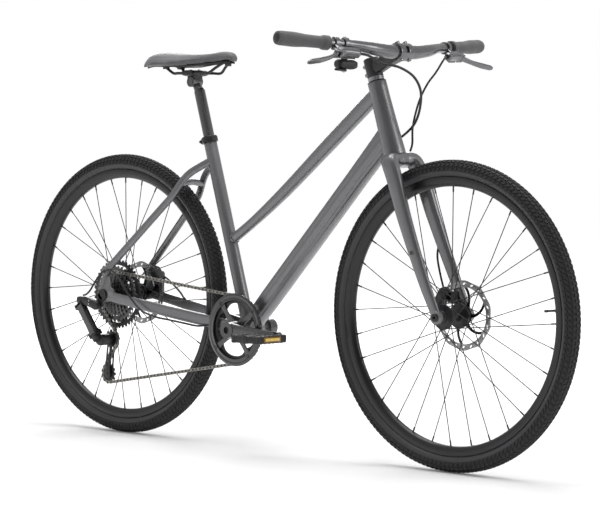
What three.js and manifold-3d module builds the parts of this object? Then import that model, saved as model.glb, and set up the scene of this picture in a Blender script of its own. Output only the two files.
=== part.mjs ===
import * as THREE from 'three';
import { mergeVertices } from 'three/addons/utils/BufferGeometryUtils.js';
import Module from 'manifold-3d';

const wasm = await Module();
wasm.setup();

// A step through hybrid bicycle with one chainring, disc brakes and an aluminium frame.
// +X is forward, +Z is up, and the chain side is at -Y. The origin lies on the ground,
// midway between the two axles. Lengths are in millimetres and angles in degrees.

// Overall layout
const wheelBase = 1070;
const tyreRadius = 353;
const bracketBehind = 100;
const bracketDrop = 64.5;
const bracketHeight = tyreRadius - bracketDrop;
const headAngle = 71.5;
const seatAngle = 73.2;
const forkLength = 395;
const forkRake = 52;

// Clearances
const seam = 0.3;
const runningGap = 1;
const overrun = 6;
const weldDistance = 0.001;

// Faces on round pieces
const wheelFaces = 28;
const roundFaces = 12;
const tubeFaces = 10;
const stayFaces = 8;
const hubFaces = 8;
const smallFaces = 6;
const barFaces = 8;
const guardFaces = 20;
const spokeFaces = 3;
const hoseFaces = 6;
const hoseSteps = 12;
const hoseLeadSteps = 3;

// Wheels
const tyreWidth = 41;
const tyreBeadWidth = 22;
const tyreArcShares = [-1, -0.62, -0.25, 0, 0.25, 0.62, 1];
const rimWidth = 25;
const rimNoseWidth = 9;
const rimDepth = 19.5;
const rimInnerRadius = tyreRadius - tyreWidth - rimDepth;
const rimSlope = 9;
const rimCheekStep = 1.5;
const valveRadius = 3;
const valveLength = 32;
const spokeCount = 32;
const spokeRadius = 1;
const spokeCrossings = 3;
const spokeSplay = 1.05;
const spokeRimOffset = 1.5;
const nippleRadius = 1.5;
const flangeRadius = 29;
const flangeThickness = 2.4;
const flangeEdge = 1.2;
const hubBarrelRadius = 12;
const hubEndRadius = 10;
const hubSeatRadius = 15;
const hubSeatLength = 6;
const axleRadius = 6;
const axleHeadRadius = 9;
const axleHeadLength = 3;
const frontHubWidth = 100;
const rearHubWidth = 142;
const frontFlangeRight = 33;
const frontFlangeLeft = 23;
const rearFlangeRight = 20;
const rearFlangeLeft = 33;

// Disc brakes
const rotorRadius = 80;
const rotorWave = 1.4;
const rotorWaves = 12;
const rotorBand = 14;
const rotorThickness = 1.8;
const rotorArms = 6;
const rotorArmWidth = 6;
const rotorCentreRadius = 24;
const frontRotorInset = 10.5;
const rearRotorInset = 15.3;
const rotorArmSweep = 26;
const caliperGap = 0.8;
const caliperLength = 46;
const caliperHeight = 26;
const caliperWidth = 30;
const rearCaliperAngle = 40;
const frontCaliperAngle = 148;
const caliperShares = [[-0.5, 0.7], [-0.36, 1], [0.36, 1], [0.5, 0.7]];
const caliperSquareShare = 0.6;
const caliperPotShares = [0.4, 0.62];
const caliperPotWidthShare = 0.4;
const caliperArmShares = [0.55, 0.42, 1.1];
const caliperArmDropShare = 1.15;
const caliperBaseShare = 0.27;
const frontLeadSetback = 2;

// Frame
const headTubeLength = 178;
const headTubeTopRadius = 22;
const headTubeBottomRadius = 26.5;
const headTubeWall = 2.6;
const bearingDepth = 8;
const seatTubeLength = 477;
const seatTubeRadius = 16;
const seatPostRadius = 13.6;
const bracketRadius = 23;
const bracketHalfWidth = 34;
const bracketCupLength = 6.5;
const bracketCupRadius = 22;
const bracketBore = 18.5;
const topTubeSeatHeight = 219;
const topTubeHeadDrop = 22;
const topTubeHeadHeight = headTubeLength - topTubeHeadDrop;
const topTubeSag = 12;
const topTubeSeatRadius = 12;
const topTubeHeadDepth = 34;
const topTubeHeadWidth = 32;
// Each station of the top tube: its place, its sag, its growth towards the head and its squareness
const topTubeShares = [[0, 0, 0, 1], [0.16, 0.7, 0, 0.95], [0.36, 1, 0.4, 0.85], [0.68, 0.5, 0.8, 0.75],
  [1, 0, 1, 0.75]];
const downTubeHeadHeight = 52;
const downTubeWidth = 50;
const downTubeDepth = 46;
const downTubeHeadDepth = 54;
const downTubeHeadWidth = 42;
const downTubeFootDepth = 40;
const downTubeFootShare = 0.14;
const downTubeHeadShare = 0.8;
// The down tube's section: a flat back, flat sides and a creased belly
const downTubeShares = [
  [-0.28, 0.5], [-0.46, 0.36], [-0.5, 0.1], [-0.5, -0.2], [-0.4, -0.36], [-0.2, -0.5],
  [0.2, -0.5], [0.4, -0.36], [0.5, -0.2], [0.5, 0.1], [0.46, 0.36], [0.28, 0.5],
];
const stayMeetHeight = 424;
const stayMeetSpread = 9;
const stayShoulderAhead = 251;
const stayShoulderUp = 303;
const stayShoulderSpread = 31;
const stayKinkAhead = 213;
const stayKinkUp = 251;
const stayKinkSpread = 46;
const stayDepth = 19;
const stayWidth = 13;
const stayBridgeRadius = 8;
const stayBendShare = 0.12;
const staySquareShare = 0.85;
const bridgePlaceShare = 0.4;
const bridgeRiseShare = 0.3;
const bridgeToolShares = [-0.6, 1.5];
const bridgeToolSquareShare = 0.7;
const lugAhead = 8;
const lugUp = 60;
const lugRadius = 12;
const lugProud = 2;
const dropoutThickness = 8;
const dropoutEyeRadius = 15;
// Dropout plate: places ahead of the axle and above it, as shares of the lug's height
const dropoutShares = [
  [0.62, -0.22], [0.62, 0.2], [0.42, 0.34], [0.34, 0.8], [0, 0.9], [-0.1, 0.6],
  [-0.25, 0.1], [-0.2, -0.2], [0.05, -0.32],
];
const chainStayDepth = 29;
const chainStayRearDepth = 25;
const chainStayWidth = 13;
const chainStayBracketSpread = 25;
const chainStayTyreSpread = 35;
const chainStayRearAhead = 30;
const chainStayShares = [0.2, 0.58, 0.8, 0.95];
const chainStaySpreadShare = 0.55;
const chainStaySquareShare = 0.6;
const collarHeight = 15;
const collarWall = 4;
const collarBoltRadius = 3.6;
const collarBoltShare = 1.6;
const bossRadius = 6;
const bossHeight = 2.4;
const bossSpacing = 65;
const bossPlace = 348;

// Seat
const seatPostHeadHeight = 627;
const seatPostSetback = 9;
const seatPostInsertion = 165;
const seatHeadRadius = 13;
const seatHeadWidth = 32;
const railRise = 21;
const railSpacing = 44;
const railRadius = 3.5;
const railFront = 68;
const railRear = 52;
const railNoseRise = 24;
const railNoseReach = 38;
const railTailRise = 14;
const railTailReach = 22;
const clampLength = 38;
const clampWall = 4;
const saddleLength = 264;
const saddleTail = 124;
const saddleWidth = 148;
const saddleTop = 50;
const saddleDip = 5;
const saddleDroop = 34;
const saddleCrown = 9;
const saddlePadThickness = 15;
const saddleShellThickness = 5;
const saddlePadGap = 1;
// Half width, height of the top and drop of the edge along the saddle, as shares
const saddleShares = [
  [0, 0.7, -0.6, 0.75], [0.04, 0.93, 0.2, 1], [0.14, 1, 1, 1], [0.27, 0.93, 0.6, 0.85],
    [0.42, 0.66, 0.1, 0.62],
  [0.56, 0.41, 0.1, 0.42], [0.7, 0.28, 0.5, 0.34], [0.86, 0.25, 1, 0.32], [0.96, 0.21, 0.7, 0.34],
    [1, 0.13, -0.9, 0.25],
];
const postNeckShares = [0.9, 0.6];
const jawShares = [[-1, 0.7], [-0.8, 1], [0.8, 1], [1, 0.7]];
const jawSquareShare = 0.6;
// Half widths across the saddle's top
const saddleCrestShares = [-1, -0.86, -0.55, -0.2, 0.2, 0.55, 0.86, 1];
const railTailShare = 1.2;
const railNoseShares = [0.75, 0.35];
const socketSpreadShare = 0.6;
const socketRadiusShare = 2.4;
const noseBlockShare = 0.5;
const tailRoomShares = [1.1, 0.61];
const noseRoomShare = 0.7;

// Fork and steering
const steererRadius = 14.3;
const crownSteererRadius = 19;
const steererTaper = 90;
const crownDepth = 50;
const crownHeight = 34;
const forkShoulderSpread = 46;
const forkShoulderAhead = 21;
const forkShoulderDrop = 22;
const forkLegSpread = 57;
const forkLegDepth = 36;
const forkLegWidth = 22;
const forkTipDepth = 24;
const forkTipWidth = 15;
const forkTipThickness = 12;
const forkEyeRadius = 15;
const eyeletRadius = 6;
const eyeletHeight = 2;
const eyeletShare = 0.58;
const eyeletSinkShare = 1.25;
const crownLead = 2;
const crownOverlap = 4;
const crownNeckShares = [0.45, 0.96, 0.95];
const crownBendShares = [0.7, 0.88, 0.82, 0.9];
const forkLegShares = [0.1, 0.35, 0.75, 0.985];
const forkTopDepthShare = 0.8;
const forkTopWidthShare = 1.2;
const forkTaperShare = 0.6;
const forkAnkleShare = 1.15;
const forkSquareShare = 0.8;
const forkBowShare = 0.12;
const forkSpreadShare = 0.25;
const headCoverHeight = 3;
const spacerHeight = 10;
const stemReach = 92;
const stemRise = 9;
const stemClampHeight = 40;
const stemWall = 4.5;
const stemWidth = 34;
const facePlateThickness = 5;
const stemArmShare = 0.9;
const stemBarShare = 1.3;
const stemHalfShare = 0.65;
const stemSquareShares = [0.6, 0.6, 0.5];
const stemBoltShares = [-0.25, 0.25];
const plateBoltShare = 0.6;
const plateLugShare = 0.9;
const plateWindowShare = 0.5;
const barRadius = 15.9;
const barEndRadius = 11.1;
const barHalfWidth = 350;
const barClampHalfWidth = 45;
const barShoulder = 100;
const barBend = 150;
const gripRadius = 16.5;
const gripLength = 140;
const gripSwell = 2.5;
const gripEndWall = 4;
const barRisePerSide = 40;
const barSweepPerSide = 47;
const barFlatShare = 0.55;
const barTaperShare = 0.35;
const barRiseShares = [0.17, 0.45, 0.64];
const barSweepShares = [0.05, 0.3, 0.6];
// Places along a grip, and how much of its swell the grip has there
const gripShares = [0, 0.08, 0.16, 0.4, 0.7, 0.93, 1];
const gripSwellShares = [1, 1, 0, 0.1, 1, 0.9, 0.4];
const gripOvalShare = 0.08;

// Brake levers and shifter, measured from the bar at each clamp
const gripStart = barHalfWidth + gripEndWall - gripLength;
const leverClampGap = 21;
const leverClampPlace = gripStart - leverClampGap;
const leverClampWidth = 12;
const leverClampWall = 4;
const leverDrop = 36;
const leverBodyReach = 35;
const leverBodyLength = 66;
const leverBodyRadius = 11;
const leverPivotOut = 20;
const leverPivotReach = 41;
const leverBladeLength = 96;
const leverBladeFlare = 38;
const leverBladeWidth = 13;
const leverBladeThickness = 7;
const leverPinRadius = 2.5;
const leverEarThickness = 3.5;
const leverBodyStep = 2;
const leverPivotStep = 4;
const leverInnerShare = 0.72;
const leverShoulderShare = 0.9;
const leverBodyShares = [[1.2, 1.2, 1], [1.8, 1.8, 0.8], [2.1, 2.1, 0.7], [1.9, 2, 0.7]];
const leverNeckShares = [1.6, 2.2];
const leverNeckSquareShare = 0.6;
// Places along the blade, how far it flares there and how much of its width it has
const leverBladeShares = [[0, 0, 1], [0.25, 0.42, 0.85], [0.6, 0.78, 1.05], [0.92, 1, 1], [1, 1.08, 0.6]];
const leverBladeSquareShare = 0.8;
const leverEyeShare = 0.8;
const controlSpacing = 25;
const shifterClampPlace = leverClampPlace - controlSpacing;
const shifterDrop = 45;
const shifterLength = 52;
const shifterWidth = 30;
const shifterHeight = 22;
const thumbLeverLength = 44;
const thumbLeverThickness = 5;
const thumbLeverWidth = 12;
const shifterTurn = 90;
const shifterNeckShare = 0.6;
const shifterNeckSquareShare = 0.6;
const shifterOffsetShare = 0.1;
// Places along the shifter's body, and how much of its height and width it has there
const shifterShares = [[-0.5, 0.6, 0.6], [-0.38, 1, 1], [0.3, 1, 0.9], [0.5, 0.7, 0.6]];
const shifterSquareShare = 0.7;
// Places along and across the thumb lever, as shares of its length
const thumbLeverShares = [[0, 0], [0.6, 0.35], [0.8, 0.6]];
const thumbLeverSquareShare = 0.6;
const thumbEyeShare = 0.55;

// Crankset and pedals
const chainPitch = 12.7;
const chainringTeeth = 40;
const toothHeight = 2.6;
const toothRoot = 3.9;
const toothThickness = 2;
const chainLine = 45;
const chainringBand = 17;
const chainringLobe = 8;
const guardOuterRadius = 88;
const guardBand = 17;
const guardThickness = 3;
const spindleRadius = 12;
const spiderArms = 4;
const spiderTurn = 37;
const spiderReach = 75;
const spiderArmWidth = 17;
const spiderThickness = 3.4;
const crankLength = 170;
const crankTilt = 2;
const crankBossRadius = 20;
const crankEyeRadius = 13;
const crankThickness = 15;
const crankHubInner = 57;
const crankHubOuter = 80;
const crankTipInner = 76;
const crankTipOuter = 90;
const crankBoltBore = 7;
const crankHubInset = 4;
const spindleInset = 2;
// Each station of a crank arm: its place and its depth
const crankShares = [[0, 0.9], [0.3, 0.72], [1, 0.9]];
const crankSquareShare = 0.7;
const guardBevelShares = [0.3, 0.6];
const pedalAxleRadius = 5;
const pedalGap = 5;
const pedalWidth = 98;
const pedalLength = 90;
const pedalThickness = 20;
const pedalRail = 14;
const pedalCoreRadius = 10;
const pedalCoreWall = 4;
const pedalStep = 2;
const pedalFlatsShare = 1.5;
const pedalStrutShares = [0.05, 0.5, 0.95];
const pedalStrutSizeShares = [0.6, 0.8];

// Cassette, chain and derailleur, measured from the rear axle
const sprocketTeeth = [42, 34, 28, 24, 21, 18, 15, 13, 11];
const sprocketSpacing = 4.35;
const sprocketThickness = 1.8;
const largestSprocketPlace = 27.6;
const engagedSprocket = 2;
const cassetteCoreWall = 14;
const cassetteCoreShares = [0.55, 0.6];
const lockringRadius = 16;
const lockringLength = 3;
const chainHalfWidth = 3.3;
const chainInnerHalfWidth = 2.6;
const chainHalfHeight = 4.4;
const chainRoomFaceShare = 0.6;
const pulleyTeeth = 11;
const pulleyBodyRadius = 9;
const pulleyWidth = 7;
const pulleyBoltRadius = 2.5;
const guideBehind = 12;
const guideDrop = 115;
const tensionBehind = 22;
const tensionDrop = 203;
const cageThickness = 1.8;
const cageGap = 11.6;
const cageTopRadius = 13;
const cageFootRadius = 11;
const cageWaist = 13;
const cagePivotRadius = 4;
const hangerThickness = 4;
const hangerEyeRadius = 14;
const hangerBoltBehind = 13;
const hangerBoltDrop = 28;
const hangerBoltRadius = 8;
const linkPivotBehind = 72;
const linkPivotDrop = 33;
const linkFootBehind = 24;
const linkFootDrop = 97;
const linkPlace = 92;
const linkSpacing = 15;
const linkWidth = 20;
const linkThickness = 4.5;
const linkBossRadius = 4.6;
const linkPinRadius = 2;
const linkEarThickness = 3;
const knuckleHeight = 22;
const knuckleWidth = 20;
const knuckleBodyRadius = 14;
const knuckleInset = 2;
// Each station of the upper knuckle: its place, drop, depth and width
const knuckleShares = [[1, 1, 0.8, 0.5], [1, 0.9, 1, 0.8], [0.75, 0.55, 1, 1], [1, 0.5, 0.8, 1]];
const knuckleSquareShare = 0.6;
const knuckleNeckSquareShares = [0.5, 0.6];
const knuckleNeckShare = 1.1;
const hangerArmShare = 1.2;
const hangerBarrelShare = 1.3;
const innerLinkShare = 0.8;
const controlHoseShare = 1.2;
const crownPortShares = [0.2, 0.7, 0.86];
const hoseRadius = 2.5;

// Materials
const paint = (colour, roughness, metalness) =>
  new THREE.MeshStandardMaterial({ color: colour, roughness, metalness });
const framePaint = paint(0x5d5e60, 0.45, 0.3);
const blackAlloy = paint(0x1c1c1e, 0.45, 0.5);
const darkAlloy = paint(0x38393c, 0.35, 0.6);
const silverAlloy = paint(0xa8a9ac, 0.35, 0.9);
const steel = paint(0x8d8d8c, 0.4, 0.9);
const tyreRubber = paint(0x262627, 0.85, 0);
const gripRubber = paint(0x3b3c3d, 0.8, 0);
const blackPlastic = paint(0x1f1f20, 0.55, 0);
const saddleSkin = paint(0x5f6062, 0.7, 0);
const hoseSkin = paint(0x202122, 0.5, 0);

// Vectors
const at = (x, y, z) => new THREE.Vector3(x, y, z);
const radians = THREE.MathUtils.degToRad;
const sideways = at(0, 1, 0);
const forward = at(1, 0, 0);
const upward = at(0, 0, 1);
const counted = (count) => Array.from({ length: count }, (_, index) => index);
const blend = (from, to, share) => from + (to - from) * share;

// Solids
function solid(geometry) {
  const bare = geometry.clone();
  bare.deleteAttribute('normal');
  bare.deleteAttribute('uv');
  const merged = mergeVertices(bare, weldDistance);
  const points = merged.attributes.position;
  const corner = (index) => at(points.getX(index), points.getY(index), points.getZ(index));
  const faces = [];
  let volume = 0;
  for (let first = 0; first < merged.index.count; first += 3) {
    const [a, b, c] = [0, 1, 2].map((step) => merged.index.getX(first + step));
    if (a === b || b === c || c === a) continue;
    faces.push([a, b, c]);
    volume += corner(a).dot(corner(b).cross(corner(c)));
  }
  const outward = volume < 0 ? faces.map(([a, b, c]) => [a, c, b]) : faces;
  return new wasm.Manifold(new wasm.Mesh({
    numProp: 3,
    vertProperties: Float32Array.from(points.array),
    triVerts: Uint32Array.from(outward.flat()),
  }));
}

const join = (...parts) => parts.flat().reduce((whole, part) => whole.add(part));
const cut = (body, ...tools) => tools.flat().reduce((left, tool) => left.subtract(tool), body);

function piece(name, body, material, group) {
  const { vertProperties, triVerts } = body.getMesh();
  const geometry = new THREE.BufferGeometry();
  geometry.setAttribute('position', new THREE.BufferAttribute(Float32Array.from(vertProperties), 3));
  geometry.setIndex(new THREE.BufferAttribute(Uint32Array.from(triVerts), 1));
  geometry.computeVertexNormals();
  const mesh = new THREE.Mesh(geometry, material);
  mesh.name = name;
  group.add(mesh);
  return mesh;
}

// A straight round bar between two points
function rod(from, to, radius, faces = tubeFaces, endRadius = radius) {
  const along = to.clone().sub(from);
  const geometry = new THREE.CylinderGeometry(endRadius, radius, along.length(), faces);
  geometry.translate(0, along.length() / 2, 0);
  geometry.applyQuaternion(new THREE.Quaternion().setFromUnitVectors(sideways,
    along.clone().normalize()));
  geometry.translate(from.x, from.y, from.z);
  return solid(geometry);
}

// A round hole whose flats lie at the stated radius
const hole = (from, to, radius, faces = tubeFaces) =>
  rod(from, to, radius / Math.cos(Math.PI / faces), faces);

// A box turned to three perpendicular directions
function block(centre, across, deep, high, size) {
  const geometry = new THREE.BoxGeometry(...size);
  geometry.applyMatrix4(new THREE.Matrix4().makeBasis(across, deep, high));
  geometry.translate(centre.x, centre.y, centre.z);
  return solid(geometry);
}
const crate = (centre, size) => block(centre, forward, sideways, upward, size);

// A ring or disc turned about an axis, from pairs of radius and place along it
function turned(profile, centre = at(0, 0, 0), direction = sideways, faces = tubeFaces) {
  const open = profile[0][0] === 0;
  const points = (open ? profile : [...profile, profile[0]]).map(([r, y]) => new THREE.Vector2(r, y));
  const geometry = new THREE.LatheGeometry(points, faces);
  geometry.applyQuaternion(new THREE.Quaternion().setFromUnitVectors(sideways, direction));
  geometry.translate(centre.x, centre.y, centre.z);
  return solid(geometry);
}
const collarProfile = (inner, outer, low, high) =>
  [[inner, low], [outer, low], [outer, high], [inner, high]];

// A flat plate in the plane of the wheels, from pairs of x and z
function plate(outline, low, high, holes = []) {
  const toPath = (pairs, Kind) => new Kind(pairs.map(([x, z]) => new THREE.Vector2(x, z)));
  const shape = toPath(outline, THREE.Shape);
  shape.holes = holes.map((hole) => toPath(hole, THREE.Path));
  const geometry = new THREE.ExtrudeGeometry(shape, { depth: high - low, bevelEnabled: false });
  geometry.rotateX(Math.PI / 2);
  geometry.translate(0, high, 0);
  return solid(geometry);
}

// A skin through rings of equally many points, closed by a strip across each end
function loft(rings) {
  const count = rings[0].length;
  const index = [];
  rings.slice(1).forEach((_, row) => counted(count).forEach((i) => {
    const next = (i + 1) % count;
    const [a, b, c, d] = [row * count + i, row * count + next, (row + 1) * count + next,
      (row + 1) * count + i];
    index.push(a, b, c, a, c, d);
  }));
  const last = (rings.length - 1) * count;
  counted(count - 2).forEach((i) => {
    const low = Math.ceil(i / 2);
    const high = count - 1 - Math.floor(i / 2);
    const [a, b, c] = i % 2 ? [low, high - 1, high] : [low, low + 1, high];
    index.push(c, b, a, last + a, last + b, last + c);
  });
  const geometry = new THREE.BufferGeometry();
  geometry.setAttribute('position',
    new THREE.Float32BufferAttribute(rings.flat().flatMap((p) => p.toArray()), 3));
  geometry.setIndex(index);
  return solid(geometry);
}

// Section of a tube: squareness 1 is an ellipse and smaller is closer to a rectangle
function oval(across, deep, faces, squareness = 1) {
  return counted(faces).map((i) => {
    const angle = (i + 0.5) * 2 * Math.PI / faces;
    const stretch = (value) => Math.sign(value) * Math.abs(value) ** squareness;
    return [across / 2 * stretch(Math.cos(angle)), deep / 2 * stretch(Math.sin(angle))];
  });
}

// A bent tube through stations, each with its place and its two widths
function tube(stations,
  { steps = stations.length - 1, faces = tubeFaces, reference = sideways, shape = oval } = {}) {
  const curve = new THREE.CatmullRomCurve3(stations.map((station) => station.at), false, 'centripetal');
  const rings = counted(steps + 1).map((step) => {
    const share = step / steps;
    const place = share * (stations.length - 1);
    const low = Math.min(Math.floor(place), stations.length - 2);
    const mix = place - low;
    const value = (key, fallback) =>
      blend(stations[low][key] ?? fallback, stations[low + 1][key] ?? fallback, mix);
    const ahead = curve.getTangent(share);
    const side = reference.clone().addScaledVector(ahead, -reference.dot(ahead)).normalize();
    const other = ahead.clone().cross(side);
    const centre = curve.getPoint(share);
    return shape(value('across'), value('deep'), faces, value('squareness', 1))
      .map(([u, v]) => centre.clone().addScaledVector(side, u).addScaledVector(other, v));
  });
  return loft(rings);
}

// A hose of one thickness along a smooth route
function hose(route, radius = hoseRadius, steps = hoseSteps) {
  const ring = new THREE.Shape(oval(2 * radius, 2 * radius,
    hoseFaces).map(([u, v]) => new THREE.Vector2(u, v)));
  const extrudePath = new THREE.CatmullRomCurve3(route);
  return solid(new THREE.ExtrudeGeometry(ring, { steps, extrudePath }));
}

// Places that the frame and the steering share
const frontAxle = at(wheelBase / 2, 0, tyreRadius);
const rearAxle = at(-wheelBase / 2, 0, tyreRadius);
const bracket = at(-bracketBehind, 0, bracketHeight);
const steerUp = at(-Math.cos(radians(headAngle)), 0, Math.sin(radians(headAngle)));
const steerAhead = at(steerUp.z, 0, -steerUp.x);
const headFoot = frontAxle.clone().addScaledVector(steerAhead, -forkRake).addScaledVector(steerUp,
  forkLength);
const seatUp = at(-Math.cos(radians(seatAngle)), 0, Math.sin(radians(seatAngle)));
const seatAhead = at(seatUp.z, 0, -seatUp.x);
const steerPoint = (along, ahead = 0, side = 0) =>
  headFoot.clone().addScaledVector(steerUp, along).addScaledVector(steerAhead, ahead).add(at(0, side, 0));
const seatPoint = (along, ahead = 0, side = 0) =>
  bracket.clone().addScaledVector(seatUp, along).addScaledVector(seatAhead, ahead).add(at(0, side, 0));
const fromRearAxle = (ahead, side, up) => rearAxle.clone().add(at(ahead, side, up));

const bicycle = new THREE.Group();
const frameGroup = new THREE.Group();
const seatGroup = new THREE.Group();
const steeringGroup = new THREE.Group();
const drivetrainGroup = new THREE.Group();
bicycle.add(frameGroup, seatGroup, steeringGroup, drivetrainGroup);

// Wheels
const facetShare = 1 - Math.cos(Math.PI / wheelFaces);

function tyreProfile() {
  const radius = tyreWidth / 2;
  const centre = tyreRadius - radius;
  const bead = Math.PI - Math.asin(tyreBeadWidth / tyreWidth);
  return tyreArcShares.map((share) =>
    [centre + radius * Math.cos(share * bead), radius * Math.sin(share * bead)]);
}
const beadRadius = tyreProfile()[0][0];
const rimOuterRadius = beadRadius - seam;

function rimProfile() {
  const wall = rimWidth / 2;
  const nose = rimNoseWidth / 2;
  return [
    [rimOuterRadius, -wall], [rimOuterRadius, wall],
    [rimInnerRadius + rimSlope, wall - rimCheekStep], [rimInnerRadius, nose],
    [rimInnerRadius, -nose], [rimInnerRadius + rimSlope, rimCheekStep - wall],
  ];
}

// One spoke, tangent to its hub flange, with its nipple at the rim
function spoke(index, flanges) {
  const side = index % 2 ? 1 : -1;
  const turn = Math.floor(index / 2) % 2 ? 1 : -1;
  const rimAngle = index * 2 * Math.PI / spokeCount;
  const hubAngle = rimAngle + turn * spokeCrossings * 4 * Math.PI / spokeCount;
  const flangePlace = side > 0 ? flanges.left : -flanges.right;
  const polar = (radius, angle, y) => at(radius * Math.cos(angle), y, radius * Math.sin(angle));
  const root = polar(flangeRadius - flangeEdge, hubAngle, flangePlace + turn * spokeSplay);
  const reach = rimInnerRadius * (1 - facetShare) - seam;
  const tip = polar(reach, rimAngle, side * spokeRimOffset);
  const out = sideways.clone().cross(tip.clone().sub(root)).normalize();
  const ring = (centre, radius) => counted(spokeFaces).map((i) => {
    const angle = i * 2 * Math.PI / spokeFaces;
    return centre.clone().add(at(0, side * radius * Math.cos(angle), 0)).addScaledVector(out,
      radius * Math.sin(angle));
  });
  return loft([ring(root, spokeRadius), ring(tip, nippleRadius)]);
}

function rotorOutline() {
  const points = rotorWaves * 2;
  return counted(points).map((i) => {
    const angle = i * 2 * Math.PI / points;
    const radius = rotorRadius - rotorWave / 2 * (1 + Math.cos(rotorWaves * angle));
    return [radius * Math.cos(angle), radius * Math.sin(angle)];
  });
}

// The open window between two swept arms of a brake rotor
function rotorWindow(index) {
  const inner = rotorCentreRadius;
  const outer = rotorRadius - rotorBand;
  const pitch = 2 * Math.PI / rotorArms;
  const start = index * pitch;
  const sweep = radians(rotorArmSweep);
  const corner = (radius, angle) => [radius * Math.cos(angle), radius * Math.sin(angle)];
  const shares = [0, 1];
  const edge = (base, sign) => shares.map((share) => {
    const radius = blend(inner, outer, share);
    return corner(radius, base + sweep * share + sign * rotorArmWidth / 2 / radius);
  });
  const arc = [0.5].map((share) => corner(outer, start + sweep + pitch * share));
  return [...edge(start, 1), ...arc, ...edge(start + pitch, -1).reverse()];
}

function rotor(place) {
  const windows = counted(rotorArms).map(rotorWindow);
  const bore = oval(2 * (hubEndRadius + runningGap), 2 * (hubEndRadius + runningGap), hubFaces);
  return plate(rotorOutline(), place - rotorThickness / 2, place + rotorThickness / 2,
    [...windows, bore]);
}

function hubProfile(width, flanges, rotorPlace, driveEnd) {
  const half = width / 2 - seam;
  const flange = (y) => [
    [hubBarrelRadius, y - flangeThickness], [flangeRadius, y - flangeThickness],
    [flangeRadius, y + flangeThickness], [hubBarrelRadius, y + flangeThickness],
  ];
  const mount = rotorPlace - rotorThickness / 2 - seam;
  const bore = (axleRadius + seam) / Math.cos(Math.PI / hubFaces);
  const right = driveEnd ? [[bore, -driveEnd], [hubSeatRadius, -driveEnd]]
    : [[bore, -half], [hubEndRadius, -half], [hubEndRadius, -half + hubSeatLength],
      [hubSeatRadius, -half + hubSeatLength]];
  const left = [
    [rotorCentreRadius - rotorArmWidth / 2, mount - hubSeatLength],
      [rotorCentreRadius - rotorArmWidth / 2, mount],
    [hubEndRadius, mount], [hubEndRadius, half], [bore, half],
  ];
  return [...right, ...flange(-flanges.right), ...flange(flanges.left), ...left];
}

function wheel(name, centre, width, flanges, rotorPlace, driveEnd) {
  const group = new THREE.Group();
  group.position.copy(centre);
  bicycle.add(group);
  const spokes = counted(spokeCount).flatMap((index) => spoke(index, flanges));
  const hub = turned(hubProfile(width, flanges, rotorPlace, driveEnd), at(0, 0, 0), sideways, hubFaces);
  const rim = turned(rimProfile(), at(0, 0, 0), sideways, wheelFaces);
  const valveAngle = Math.PI / spokeCount;
  const valveAt = (radius) => at(radius * Math.cos(valveAngle), 0, radius * Math.sin(valveAngle));
  const valve = rod(valveAt(rimInnerRadius - valveLength), valveAt(rimInnerRadius + rimSlope),
    valveRadius, 6);
  piece(`${name}_tyre`, turned(tyreProfile(), at(0, 0, 0), sideways, wheelFaces), tyreRubber, group);
  piece(`${name}_rim`, join(rim, valve), blackAlloy, group);
  piece(`${name}_hub`, join(hub, spokes), steel, group);
  piece(`${name}_rotor`, rotor(rotorPlace), steel, group);
}
const freehubPlace = rearFlangeRight + flangeThickness + runningGap;
const frontRotorPlace = frontHubWidth / 2 - frontRotorInset;
const rearRotorPlace = rearHubWidth / 2 - rearRotorInset;
wheel('front', frontAxle, frontHubWidth, { right: frontFlangeRight, left: frontFlangeLeft },
  frontRotorPlace);
wheel('rear', rearAxle, rearHubWidth, { right: rearFlangeRight, left: rearFlangeLeft }, rearRotorPlace,
  freehubPlace);

// A through axle with its head on one side
function throughAxle(name, centre, side, tailLength, headLength, group) {
  const along = (distance) => centre.clone().add(at(0, side * distance, 0));
  const neck = headLength + seam;
  const shaft = rod(along(-tailLength), along(neck + axleHeadLength / 2), axleRadius);
  const head = rod(along(neck), along(neck + axleHeadLength), axleHeadRadius);
  piece(name, join(shaft, head), blackAlloy, group);
}
const axleBore = (centre) => {
  const reach = at(0, rearHubWidth, 0);
  return hole(centre.clone().sub(reach), centre.clone().add(reach), axleRadius + seam);
};

// Main frame
const grown = (radius) => radius + seam;
const headTubeWallAt = (share) => blend(headTubeBottomRadius, headTubeTopRadius, share);
const headTubeSolid = (extra) => rod(steerPoint(-extra), steerPoint(headTubeLength + extra),
  headTubeBottomRadius + extra, roundFaces, headTubeTopRadius + extra);
const seatTubeSolid = (extra) =>
  rod(seatPoint(0), seatPoint(seatTubeLength + extra), seatTubeRadius + extra,
  roundFaces);
const bracketEnd = (side, extra = 0) => bracket.clone().add(at(0, side * (bracketHalfWidth + extra), 0));
const bracketSolid = (extra) =>
  rod(bracketEnd(-1, extra), bracketEnd(1, extra), bracketRadius + extra, roundFaces);

function headTube() {
  const bore = rod(steerPoint(-overrun), steerPoint(headTubeLength + overrun),
    headTubeBottomRadius - headTubeWall, roundFaces, headTubeTopRadius - headTubeWall);
  piece('head_tube', cut(headTubeSolid(0), bore), framePaint, frameGroup);
}

// A headset bearing pressed into one end of the head tube
function headsetBearing(name, low, share, shaftRadius) {
  const outer = headTubeWallAt(share) - headTubeWall - 3 * seam;
  const profile = collarProfile(shaftRadius + runningGap, outer, low, low + bearingDepth);
  piece(name, turned(profile, headFoot, steerUp), steel, frameGroup);
}

function seatTube() {
  const bore = rod(seatPoint(0), seatPoint(seatTubeLength + overrun), grown(seatPostRadius), roundFaces);
  piece('seat_tube', cut(seatTubeSolid(0), bore, bracketSolid(seam)), framePaint, frameGroup);
}

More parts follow.
